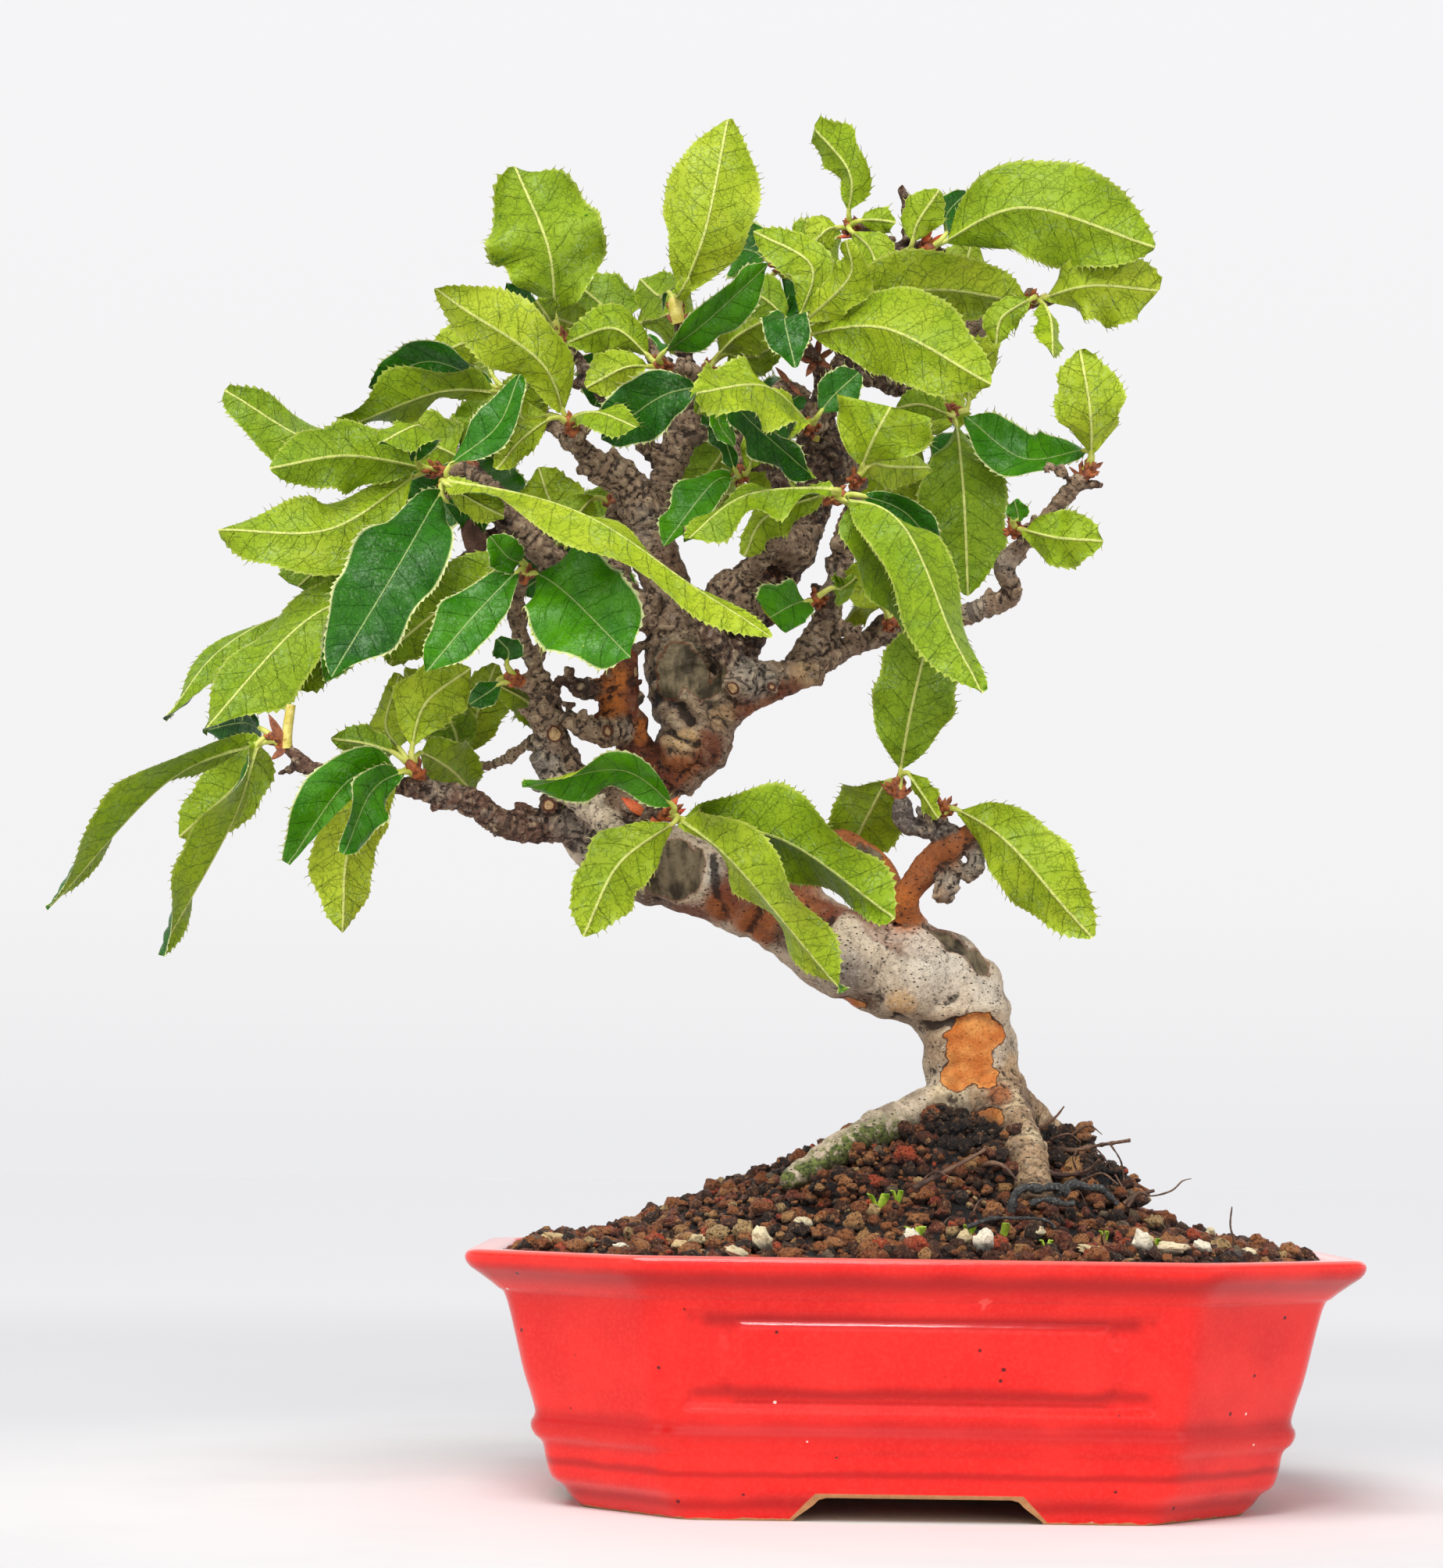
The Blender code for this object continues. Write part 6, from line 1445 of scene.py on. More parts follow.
class Midrib:
    """A leaf's midrib, with the directions along it, across the blade and out of its underside."""

    def __init__(self, base, shoot_way, bend, tip, roll):
        outward = (bend - base).normalized()
        knee = base + (shoot_way * KNEE_ALONG_SHOOT + outward).normalized() * KNEE_LENGTH
        self.path = curve_through([base, knee, bend, tip], 1.2)
        self.runs = [0.0]
        for a, b in zip(self.path, self.path[1:]):
            self.runs.append(self.runs[-1] + (b - a).length)
        self.length = self.runs[-1]
        middle, along = self.place(0.6)
        view = (EYE - middle).normalized()
        face = (view - along * view.dot(along)).normalized()
        angle = math.radians(roll)
        self.face = face * math.cos(angle) + along.cross(face) * math.sin(angle)

    def place(self, share):
        wanted = share * self.length
        index = 0
        while index < len(self.path) - 2 and self.runs[index + 1] < wanted:
            index += 1
        part = (wanted - self.runs[index]) / (self.runs[index + 1] - self.runs[index])
        ahead = self.path[min(index + 2, len(self.path) - 1)]
        behind = self.path[max(index - 1, 0)]
        return self.path[index].lerp(self.path[index + 1], part), (ahead - behind).normalized()

    def axes(self, share):
        """The midrib's place, then the ways along it, across the blade and out of its underside."""
        spot, along = self.place(share)
        face = (self.face - along * self.face.dot(along)).normalized()
        return spot, along, along.cross(face), face


def half_width_at(share, width):
    low, high = LEAF_SHAPE
    peak = low / (low + high)
    return width / 2 * (share / peak) ** low * ((1 - share) / (1 - peak)) ** high


class Spray:
    """The points, faces, finishes and leaf coordinates of one spray as it is put together."""

    def __init__(self):
        self.points = []
        self.faces = []
        self.finishes = []
        self.leaf_places = []
        self.margins = []

    def mark(self, leaf_place=(0, 0, 0), margin=0.5):
        missing = len(self.points) - len(self.leaf_places)
        self.leaf_places += [leaf_place] * missing
        self.margins += [margin] * missing

    def close(self, finish):
        self.finishes += [finish] * (len(self.faces) - len(self.finishes))

    def tube(self, path, radii, sides, finish):
        tube_mesh(path, radii, sides, self.points, self.faces)
        self.mark()
        self.close(finish)


UPPER, UNDER, STALK, SCALE, BRISTLE = range(5)


def vein_phase(along, across):
    """Whole numbers fall on the side veins, which arch forward from the midrib."""
    return (along - VEIN_SLANT * abs(across) - 0.02 * across * across) / VEIN_SPACING


def trimmed_span(along, low, high, cuts, length, half_width):
    """What is left of the blade across one row, after the cuts."""
    for (share_a, across_a), (share_b, across_b) in cuts:
        start = Vector((share_a * length, across_a * half_width))
        way = Vector((share_b * length, across_b * half_width)) - start
        keep = way.x * (0 - start.y) - way.y * (0.45 * length - start.x)
        if abs(way.x) < 0.01:
            way.x = 0.01
        line = start.y + way.y / way.x * (along - start.x)
        # The kept side is the one that holds the leaf's middle
        if keep / way.x > 0:
            low = max(low, line)
        else:
            high = min(high, line)
    return low, max(high, low + 0.05)


def build_blade(spray, midrib, width, draw, cuts, curl):
    """One blade as two skins that meet at a toothed edge, with a ridge under its midrib."""
    start = STALK_LENGTH / midrib.length
    blade_length = midrib.length - STALK_LENGTH
    teeth = max(6, round(blade_length / TOOTH_PITCH))
    waves = draw.uniform(*MARGIN_WAVES)
    phases = [draw.uniform(0, FULL_TURN) for _ in range(4)]
    wave_height = draw.uniform(*WAVE_HEIGHTS) * width
    seed = draw.uniform(0, 90)
    quilting = min(QUILTING[0], width * QUILTING[1])
    bays = draw.uniform(*MARGIN_BAYS)
    stations = [0.34 / teeth]
    toothed = [0.0]
    for tooth in range(teeth):
        if tooth:
            stations.append((tooth + draw.uniform(-0.1, 0.1)) / teeth)
            toothed.append(0.0)
        stations.append((tooth + TOOTH_LEAN + draw.uniform(-0.1, 0.1)) / teeth)
        toothed.append(draw.uniform(*TOOTH_REACH))
    reach_end = 1.0
    while cuts and reach_end > 0.3:
        half = half_width_at(reach_end, width)
        low, high = trimmed_span(reach_end * blade_length, -half, half, cuts, blade_length, width / 2)
        if high - low > 0.3:
            break
        reach_end -= 0.01
    stations = [share * reach_end for share in stations]
    rows = []
    for share, tooth in zip(stations, toothed):
        spot, along, side, face = midrib.axes(start + (1 - start) * share)
        half = half_width_at(share, width)
        fine = min(1, half / 3)
        edges = []
        for hand in (-1, 1):
            swing = math.sin(FULL_TURN * 2.3 * share + phases[hand])
            swing += 0.6 * math.sin(FULL_TURN * 4.1 * share + phases[hand + 2])
            edges.append(hand * half * (1 + bays * swing))
        along_mm = share * blade_length
        low, high = trimmed_span(along_mm, edges[0], edges[1], cuts, blade_length, width / 2)
        cut_low, cut_high = low > edges[0] + 0.1, high < edges[1] - 0.1
        middle_of_row = min(max(0, low + 0.02), high - 0.02)
        upper, under = [], []
        for hand, edge, is_cut in ((-1, low, cut_low), (1, high, cut_high)):
            for step in ACROSS:
                across = middle_of_row + (edge - middle_of_row) * step
                if step == 1 and not is_cut:
                    across += hand * TOOTH_HEIGHT * (tooth - 0.35) * fine
                reach = abs(across) / max(half, 0.1)
                rise = LEAF_FOLD * abs(across) * smoothstep(0.3, 2.2, abs(across))
                wave = wave_height * reach ** 2.2 * math.sin(FULL_TURN * waves * share + phases[hand > 0])
                vein = vein_phase(along_mm, across)
                arch = math.sin(math.pi * (vein % 1))
                quilt = quilting * arch * math.sin(math.pi * min(reach, 0.95)) * fine
                rolled = curl * smoothstep(0.6, 1.0, share) ** 2
                middle = spot + side * across - face * (rise + wave + quilt + rolled)
                if step == 1 and tooth and not is_cut:
                    middle = middle + along * 0.3 * fine * tooth
                ends = min(1, share * 8 + 0.3, (1 - share) * 8 + 0.2)
                thick = BLADE_THICKNESS / 2 * (1 - step ** 4) * ends
                ridge = 0.42 * (1 - share) ** 0.7 if step == 0 else 0
                margin = (1.5 if step == 1 else 0.5) if is_cut else step
                upper.append((middle - face * thick, along_mm, across, margin))
                under.append((middle + face * (thick + ridge), along_mm, across, margin))
        rows.append((upper, under, (cut_low, cut_high)))
    count = len(ACROSS)
    columns = 2 * count - 1
    order = [*reversed(range(count)), *range(count + 1, 2 * count)]
    skins = []
    for skin in (0, 1):
        grid = []
        for row in rows:
            line = []
            for column in order:
                spot, along_mm, across, margin = row[skin][column]
                if skin == 1 and column in (count - 1, 2 * count - 1):
                    line.append(skins[0][len(grid)][len(line)])
                    continue
                spray.points.append(spot)
                spray.mark((along_mm, across, seed), margin)
                line.append(len(spray.points) - 1)
            grid.append(line)
        skins.append(grid)
    tip_face = midrib.axes(1)[3]
    ends = []
    for share, along_mm in ((start * 0.85, 0), (1, blade_length)):
        spot = midrib.place(share)[0]
        if share == 1:
            last = skins[0][-1]
            spot = spot - tip_face * curl
            if reach_end < 1:
                spot = (spray.points[last[0]] + spray.points[last[-1]]) / 2
        spray.points.append(spot)
        spray.mark((along_mm, 0, seed), 0.8)
        ends.append(len(spray.points) - 1)
    for skin, grid in enumerate(skins):
        made = []
        for row in range(len(grid) - 1):
            for column in range(columns - 1):
                a, b = grid[row][column], grid[row][column + 1]
                made.append((a, b, grid[row + 1][column + 1], grid[row + 1][column]))
        for column in range(columns - 1):
            made.append((grid[0][column + 1], grid[0][column], ends[0]))
            made.append((grid[-1][column], grid[-1][column + 1], ends[1]))
        spray.faces += made if skin == 1 else [tuple(reversed(face)) for face in made]
        spray.close(UNDER if skin == 1 else UPPER)
    for row, (share, tooth) in enumerate(zip(stations, toothed)):
        if not tooth or half_width_at(share, width) < 0.8:
            continue
        _, along, side, face = midrib.axes(start + (1 - start) * share)
        for column, hand in ((0, -1), (columns - 1, 1)):
            length = BRISTLE_LENGTH * draw.uniform(0.6, 1.4)
            way = (side * hand + along * draw.uniform(0.0, 0.9) + face * draw.uniform(-0.5, 0.5)).normalized()
            if rows[row][2][hand > 0] or draw.random() > BRISTLED_SHARE:
                continue
            root = spray.points[skins[0][row][column]]
            middle = root + way * length * 0.5
            path = [root - way * 0.2, middle, middle + (way + along * 0.8).normalized() * length * 0.5]
            spray.tube(path, [0.1, 0.065, 0.02], 3, BRISTLE)


def build_spray(name, limb, leaves):
    """A short shoot that continues its twig, with bud scales at its foot and its leaves along it."""
    draw = random.Random(name)
    end, before = (Vector(row[:3]) for row in (LIMBS[limb][-1], LIMBS[limb][-2]))
    way = (end - before).normalized()
    radius = max(LIMBS[limb][-1][3] * 1.05, SHOOT_LEAST_RADIUS)
    seat = end + way * SEAT_GAP
    length = SHOOT_LENGTH + SHOOT_LEAF_PITCH * len(leaves)
    spray = Spray()
    shoot = [seat + way * length * share for share in (-0.15, 0.2, 0.45, 0.7, 0.92, 1.0)]
    spray.tube(shoot, [radius * size for size in (0.75, 0.85, 0.8, 0.72, 0.5, 0.15)], 10, SCALE)
    for index, (bend, tip, width, roll) in enumerate(leaves):
        share = FIRST_LEAF_AT + LEAVES_SPREAD_OVER * index / max(len(leaves) - 1, 1)
        base = seat + way * length * share
        outward = (Vector(bend) - base).normalized()
        base += (outward - way * outward.dot(way)).normalized() * radius * BASE_OUT
        midrib = Midrib(base, way, Vector(bend), Vector(tip), roll)
        steps = 7
        last = (STALK_LENGTH + 1.2) / midrib.length
        stalk = [midrib.place(last * step / steps)[0] for step in range(steps + 1)]
        sizes = [STALK_RADIUS * (1.3 - 0.5 * step / steps) for step in range(steps + 1)]
        sizes[-1] *= 0.4
        spray.tube(stalk, sizes, 8, STALK)
        cuts = TRIMMED.get((name, index), ())
        build_blade(spray, midrib, width, draw, cuts, CURLED.get((name, index), 0))
    across = way.orthogonal().normalized()
    for index in range(BUD_SCALES):
        turn = Matrix.Rotation(index * SCALE_TURN, 3, way)
        out = turn @ across
        foot = seat + way * length * (0.02 + 0.08 * index) + out * radius * 0.55
        tip = foot + (way * draw.uniform(0.9, 1.6) + out * draw.uniform(0.35, 1.2)) * 1.3
        path = [foot, foot.lerp(tip, 0.5) + out * 0.25, tip]
        spray.tube(path, [0.45, 0.5, 0.05], 6, SCALE)
    made = new_piece("leafy_" + name, spray.points, spray.faces, SPRAY_FINISHES, 80)
    made.data.polygons.foreach_set("material_index", spray.finishes)
    store(made.data, "leaf_place", spray.leaf_places, "FLOAT_VECTOR", "vector")
    store(made.data, "margin", spray.margins)
    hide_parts("spray_" + name)


def leaf_finish(name, shades, lines_colour, rib_colour, edge_colour, strengths, roughness, specular):
    """A leaf skin with a midrib, side veins and a fine net, in shades that differ from leaf to leaf."""
    deep, middle, bright = shades
    rib_share, rib_half, side_share, net_share, edge_share, dust_share = strengths
    finish = Finish(name)
    spot = finish.attribute("leaf_place", "Vector")
    along = finish.axis(spot, "X")
    across = abs(finish.axis(spot, "Y"))
    seed = finish.axis(spot, "Z")
    margin = finish.attribute("margin")
    own = (seed * 7.31).fraction()
    blotch = finish.noise(7, 4)
    shade = own * 0.7 + blotch * 0.7 - 0.2
    finish.colour = finish.mix(shade.rise(0.05, 0.55), deep, middle)
    finish.lay(shade.rise(0.5, 0.95), bright)
    grain = finish.noise(0.5, 3, 0.6)
    finish.lay(grain.rise(0.5, 0.68) * 0.3, bright)
    wander = (finish.noise(2.5, 2) - 0.5) * 1.1
    vein = (along - across * VEIN_SLANT - across * across * 0.02 + wander) / VEIN_SPACING
    from_vein = abs((vein + 0.5).fraction() - 0.5) * VEIN_SPACING
    broken = finish.noise(1.6, 2).rise(0.36, 0.52)
    side_vein = from_vein.rise(0.17, 0.04) * across.rise(8.5, 3.0)
    rib = across.rise(rib_half, rib_half * 0.45)
    net_place = finish.scaled(spot, (MM, MM, MM))
    net = finish.cells(0.95, "DISTANCE_TO_EDGE", where=net_place).rise(0.09, 0.02)
    wide_net = finish.cells(2.6, "DISTANCE_TO_EDGE", where=net_place).rise(0.04, 0.012)
    lines = (net * 0.6).most(wide_net) * broken
    finish.lay(lines * net_share, lines_colour)
    finish.lay(side_vein * broken.rise(-0.6, 0.6) * side_share, lines_colour)
    dust = finish.noise(5, 3).rise(0.5, 0.68) * finish.noise(0.6, 3).rise(0.45, 0.65)
    finish.lay(dust * dust_share, srgb(188, 216, 170))
    finish.lay(rib * rib_share, rib_colour)
    finish.lay(margin.rise(0.92, 0.98) * margin.rise(1.1, 1.05) * edge_share, edge_colour)
    finish.lay(margin.rise(1.2, 1.38), srgb(96, 52, 26))
    spoiled = finish.noise(1.3, 2).rise(0.74, 0.78) * finish.noise(8, 2).rise(0.5, 0.6)
    finish.lay(spoiled * 0.6, srgb(96, 84, 30))
    relief = finish.bump(lines, 0.12, finish.bump(grain, 0.08))
    return finish.dress({
        "Roughness": roughness + blotch * 0.12,
        "Specular IOR Level": specular,
        "Normal": finish.bump(side_vein.most(rib), 0.18, relief),
    })


def plain_finish(name, low, high, size, roughness):
    finish = Finish(name)
    blotch = finish.noise(size, 4)
    finish.colour = finish.mix(blotch.rise(0.3, 0.7), low, high)
    return finish.dress({
        "Roughness": roughness, "Normal": finish.bump(blotch, 0.1),
    })


SPRAY_FINISHES = [
    leaf_finish(
        "leaf_upper", (srgb(20, 74, 6), srgb(40, 108, 0), srgb(76, 142, 0)), srgb(12, 60, 8),
        srgb(176, 200, 120), srgb(224, 228, 160), (0.55, 0.22, 0.12, 0.06, 0.9, 0.16), 0.27, 0.28,
    ),
    # The underside's own paler yellow-green, brightened further as painted light for the glow of light
    # shining through the blade
    leaf_finish(
        "leaf_under", (srgb(112, 144, 20), srgb(138, 164, 20), srgb(170, 186, 40)), srgb(78, 106, 20),
        srgb(212, 218, 122), srgb(196, 204, 96), (0.85, 0.38, 0.26, 0.5, 0.45, 0.18), 0.42, 0.22,
    ),
    plain_finish("leaf_stalk", srgb(176, 186, 62), srgb(214, 214, 108), 2.0, 0.45),
    plain_finish("bud_scale", srgb(92, 40, 20), srgb(186, 104, 52), 1.2, 0.6),
    plain_finish("leaf_bristle", srgb(84, 92, 34), srgb(186, 186, 104), 3.0, 0.5),
]
for spray_name, (limb_name, leaf_rows) in SPRAYS.items():
    build_spray(spray_name, limb_name, leaf_rows)

# Hair roots, sprouts, bud scales and cut stalks
# Thin dry roots that stick out of the soil, seedlings, and the scales and stalk ends left where leaves
# fell or were cut off. Each grows on the root, twig or soil that carries it.

# Points of each root or fallen twig, then its first and last radius
ROOTS = (
    (((-0.5, -31, 57), (4.6, -28, 59.6), (9.7, -24, 62.2), (13, -20, 64), (13.5, -16, 64.5)), 0.45, 0.3),
    (((30, -9, 62), (33.7, -9.5, 64.5), (37, -12, 60.3), (39.6, -14, 55.5)), 0.22, 0.14),
    (((36.5, -11.5, 65.3), (38.4, -11, 62.5), (39, -11, 60), (39.4, -12, 55.5)), 0.18, 0.12),
    (((39, -19, 54), (41, -18.5, 56.6), (43.4, -18, 56), (47, -18, 57), (49, -18, 58.8),
        (50.6, -18, 59.2)), 0.3, 0.1), (((38.5, -17, 54.5), (40.5, -17, 56), (44, -17.5, 57)), 0.4, 0.3),
    (((57.9, -20, 44), (58, -20, 48), (57.4, -20, 51), (57.7, -20, 54.3)), 0.3, 0.12),
    (((12, -19, 61), (14.5, -22.5, 61.6), (16.5, -23.5, 60.8), (18.5, -24.5, 58.5)), 0.5, 0.3),
    (((26, -8, 66), (29, -11, 67), (31, -13, 65.5)), 0.3, 0.15),
    (((24, -9, 68), (26.5, -11, 70), (28, -12, 72)), 0.35, 0.15),
    (((29, -3, 66), (33, -6, 68.5), (35.5, -7, 67)), 0.3, 0.12),
    (((30, -16, 58), (34, -20, 60), (37, -21, 58)), 0.3, 0.15),
    (((-62, -31, 43.5), (-57, -34, 46.8), (-52, -36, 47)), 0.3, 0.2),
    (((1, -27, 58), (3.5, -29, 60), (7, -29, 58.5)), 0.25, 0.15),
)
BLACK_ROOTS = (
    (((16.8, -33, 53), (17.4, -33, 56), (19.2, -32.5, 57.4), (22, -32.5, 57.2), (24.5, -31, 57.6),
        (27, -30, 56.6)), 0.8, 0.9),
    (((25, -31, 56.6), (28, -28.5, 58), (31, -27.5, 57.4), (33.4, -26.5, 57.2),
        (36.4, -26.5, 54.5)), 0.9, 0.6),
    (((20, -34, 54.6), (23, -34, 55.4), (26, -33.4, 54.6), (28, -33, 54.8)), 0.6, 0.5),
    (((8.5, -41, 50.5), (12.5, -41, 52), (17, -40.5, 52.2), (22, -40.5, 52), (24, -40, 50.5)), 0.4, 0.3),
)
HAIR_ROOTS = 26
# Seedlings: place, height and count of leaves
SPROUTS = (
    ((-6.6, -28), 3.2, 3), ((-0.5, -38), 2.8, 3), ((9, -36), 2.6, 2), ((15, -36), 3.4, 1),
    ((33.3, -34), 1.8, 2), ((22.4, -40), 1.8, 2), ((41.8, -36), 2.0, 2), ((-3, -26), 2.2, 2),
    ((-36, 20), 2.4, 3), ((22, 34), 2.6, 2),
)
# Foot, tip and width of each scale, then how far it bows towards the front
SCALES = {
    "bright_scale": (
        ((-47.5, -21.3, 123.6), (-47.4, -22.6, 118.4), 2.7, 0.9),
        ((-49.5, -19.5, 124), (-53.8, -20.6, 127), 2.2, 0.6),
        ((-46.2, -21, 123.5), (-43.4, -21.6, 127.2), 1.9, 0.5),
        ((-46, -21, 123), (-42, -21.8, 125), 1.6, 0.4),
        ((-91, -15.3, 130.6), (-93.2, -16.6, 135.4), 1.8, 0.4),
        ((-10, 5, 238.5), (-15, 4, 237.3), 1.2, 0.3), ((2, -2.6, 234), (5.6, -4, 236.6), 1.5, 0.4),
        ((1, -2.6, 234.5), (3, -4.4, 238), 1.5, 0.4),
    ),
    "dry_scale": (
        ((-18.6, 4.5, 213.5), (-22.2, 2, 213.2), 1.5, 0.5),
        ((-18.6, 4.5, 213.5), (-21.4, 1.8, 216.4), 1.4, 0.5),
        ((-18.6, 4.5, 213.5), (-18, 1.4, 217.8), 1.5, 0.5),
        ((-18.6, 4.5, 213.5), (-14.8, 2, 215.6), 1.4, 0.5),
        ((-18.6, 4.5, 213.5), (-15.4, 2, 211.4), 1.5, 0.5),
        ((-18.6, 4.5, 213.5), (-20.6, 1.6, 209.8), 1.6, 0.5),
        ((-23.5, 3.4, 208.6), (-26.4, 1.8, 211.6), 1.4, 0.4),
        ((-23.5, 3.4, 208.6), (-21.4, 1.8, 206), 1.3, 0.4),
        ((-3.4, -10.3, 128.8), (-6.4, -12, 131.2), 0.9, -0.8),
        ((-1.9, -10.3, 128.8), (0.6, -12, 131.4), 0.9, -0.8),
        ((-20.3, -19.8, 181), (-22.8, -21.2, 183.8), 1.5, 0.4),
        ((-20.3, -19.8, 181), (-17.8, -21.2, 183.2), 1.4, 0.4),
        ((-20.3, -19.8, 180.8), (-24.4, -20.8, 180.4), 1.3, 0.3),
        ((-9.5, 5, 238.6), (-6.4, 3.4, 241.4), 1.4, 0.4), ((-9.5, 5, 238.6), (-11.8, 3.4, 241.6), 1.3, 0.4),
        ((31.5, -5.4, 190), (34, -6.8, 192.6), 1.4, 0.4), ((31.3, -5.4, 190), (28.8, -7, 191.6), 0.9, -0.5),
        ((-116.4, -13.5, 136.6), (-119.2, -14.6, 142), 2.0, 0.4),
        ((-116, -13.5, 136), (-118.6, -14.4, 133.6), 1.5, 0.4),
        ((-45, 6, 220.6), (-42.8, 4.4, 222.4), 1.4, 0.4), ((-45, 6, 220.6), (-47.6, 4.6, 222), 1.5, 0.4),
    ),
}
# A withered leaf that hangs on a twig: its midrib, then its width from stalk to tip
DRY_LEAF = (
    (-84.5, -10, 180.6), (-83, -12, 177), (-80.4, -13.2, 172.6), (-78, -13.6, 169.4), (-76.6, -13.4, 167),
)
DRY_LEAF_WIDTHS = (0.9, 3.8, 5.6, 4.6, 0.8)
# Stalks whose blades were cut off: points and radius
CUT_STALKS = (
    (((-115.9, -13.2, 135.8), (-115.9, -13.2, 139), (-115.3, -13.4, 144)), 0.9),
    (((-18.2, 8.4, 197), (-18.4, 6.5, 201), (-18, 6, 205.6)), 0.8),
    (((-45, 5.6, 220.8), (-45.6, 5, 223), (-45.8, 4.8, 225.4)), 1.3),
    (((22, 0.4, 224.2), (25, -1, 225.6)), 0.6),
)


def flat_tube(path, widths, thick, side, points, faces):
    """A closed thin blade along the path, as wide as the widths along the side's direction."""
    start = len(points)
    tube_mesh(path, [1] * len(path), 8, points, faces)
    for index in range(start, len(points)):
        ring = (index - start) // 8
        way = (path[min(ring + 1, len(path) - 1)] - path[max(ring - 1, 0)]).normalized()
        flat = (side - way * side.dot(way)).normalized()
        up = way.cross(flat)
        offset = points[index] - path[ring]
        across = flat * offset.dot(flat) * widths[ring] / 2
        points[index] = path[ring] + across + up * offset.dot(up) * thick / 2


def dry_finish(name, low, high, dark, size, roughness, depth):
    """Withered skin: two shades in streaks, with dark flecks and wrinkles."""
    finish = Finish(name)
    blotch = finish.noise(size, 4)
    wrinkle = finish.noise(0.45, 4, 0.6)
    finish.colour = finish.mix(blotch.rise(0.3, 0.7), low, high)
    finish.lay(wrinkle.rise(0.54, 0.7) * 0.7, dark)
    return finish.dress({
        "Roughness": roughness + blotch * 0.2, "Normal": finish.bump(wrinkle, depth),
    })


def root_piece(name, rows, finish):
    points, faces = [], []
    for knots, first, last in rows:
        path = curve_through(knots, 0.7)
        radii = []
        for index, spot in enumerate(path):
            share = index / (len(path) - 1)
            radii.append((first + (last - first) * share) * (1 + 0.7 * noise.noise(spot * 1.1)))
        tube_mesh(path, radii, 7, points, faces)
    return new_piece(name, points, faces, [finish], 60)


draw = random.Random(21)
hairs = list(ROOTS)
for name in DRY_ROOTS:
    hairs.append((tuple(row[:3] for row in LIMBS[name]), 0.6, 0.3))
for number in range(HAIR_ROOTS):
    x, y = draw.gauss(29, 4.5), draw.gauss(-9, 5)
    if number % 2:
        x, y = draw.uniform(-60, 60), draw.uniform(-44, -24)
    top = soil_top(x, y)
    if top is None or abs(x) > half_x - 3 or abs(y) > half_y - 3:
        continue
    foot = Vector((x, y, top[0]))
    lean = Vector((draw.gauss(0, 1), draw.gauss(0, 1), 0.9)).normalized() * draw.uniform(2.5, 5)
    end = foot + lean + Vector((draw.gauss(0, 1), draw.gauss(0, 1), draw.uniform(-1.5, 0.5)))
    hairs.append(((foot - Vector((0, 0, 1)), foot + lean * 0.6 + Vector((0, 0, 0.8)), end), 0.24, 0.1))
dry_root = dry_finish("dry_root", srgb(60, 38, 30), srgb(128, 96, 74), srgb(28, 18, 14), 4, 0.6, 0.3)
root_piece("hair_roots", hairs, dry_root)
wet_black_root = dry_finish(
    "wet_black_root", srgb(22, 22, 22), srgb(60, 60, 58), srgb(150, 152, 148), 1.2, 0.35, 0.5,
)
root_piece("black_roots", BLACK_ROOTS, wet_black_root)

points, faces = [], []
for (x, y), size, count in SPROUTS:
    top = soil_top(x, y)
    foot = Vector((x, y, top[0] + 0.4))
    for index in range(count):
        turn = draw.uniform(-1.2, 1.2) + (math.pi if index % 2 else 0)
        out = Vector((math.cos(turn), -abs(math.sin(turn)) - 0.2, 0.9)).normalized()
        tip = foot + out * size + Vector((0, 0, 1.2))
        low, high = foot.lerp(tip, 0.3) + Vector((0, 0, 0.5)), foot.lerp(tip, 0.65) + Vector((0, 0, 0.8))
        side = Vector((0.5, 0.4, 0.8)).cross(out)
        flat_tube([foot, low, high, tip], [0.5, size * 0.42, size * 0.5, 0.1], 0.3, side, points, faces)
new_piece("sprouts", points, faces, [
    dry_finish("sprout_green", srgb(112, 156, 28), srgb(176, 206, 62), srgb(214, 222, 120), 2, 0.4, 0.05),
], 60)

SCALE_SHADES = {
    "bright_scale": (srgb(206, 74, 30), srgb(238, 126, 70), srgb(132, 38, 20), 1.5, 0.45, 0.15),
    "dry_scale": (srgb(108, 52, 30), srgb(168, 100, 62), srgb(48, 22, 16), 1.5, 0.55, 0.15),
}
for name, rows in SCALES.items():
    points, faces = [], []
    for foot, tip, width, bow in rows:
        foot, tip = Vector(foot), Vector(tip)
        side = (tip - foot).cross(Vector((0.2, -1, 0.3)))
        path = []
        for share in (0, 0.2, 0.45, 0.7, 0.9, 1):
            path.append(foot.lerp(tip, share) + Vector((0, -1, 0)) * bow * math.sin(math.pi * share))
        widths = [width * part for part in (0.45, 0.85, 1, 0.75, 0.3, 0.05)]
        flat_tube(path, widths, 0.35, side, points, faces)
    new_piece(name + "s", points, faces, [dry_finish(name, *SCALE_SHADES[name])], 60)

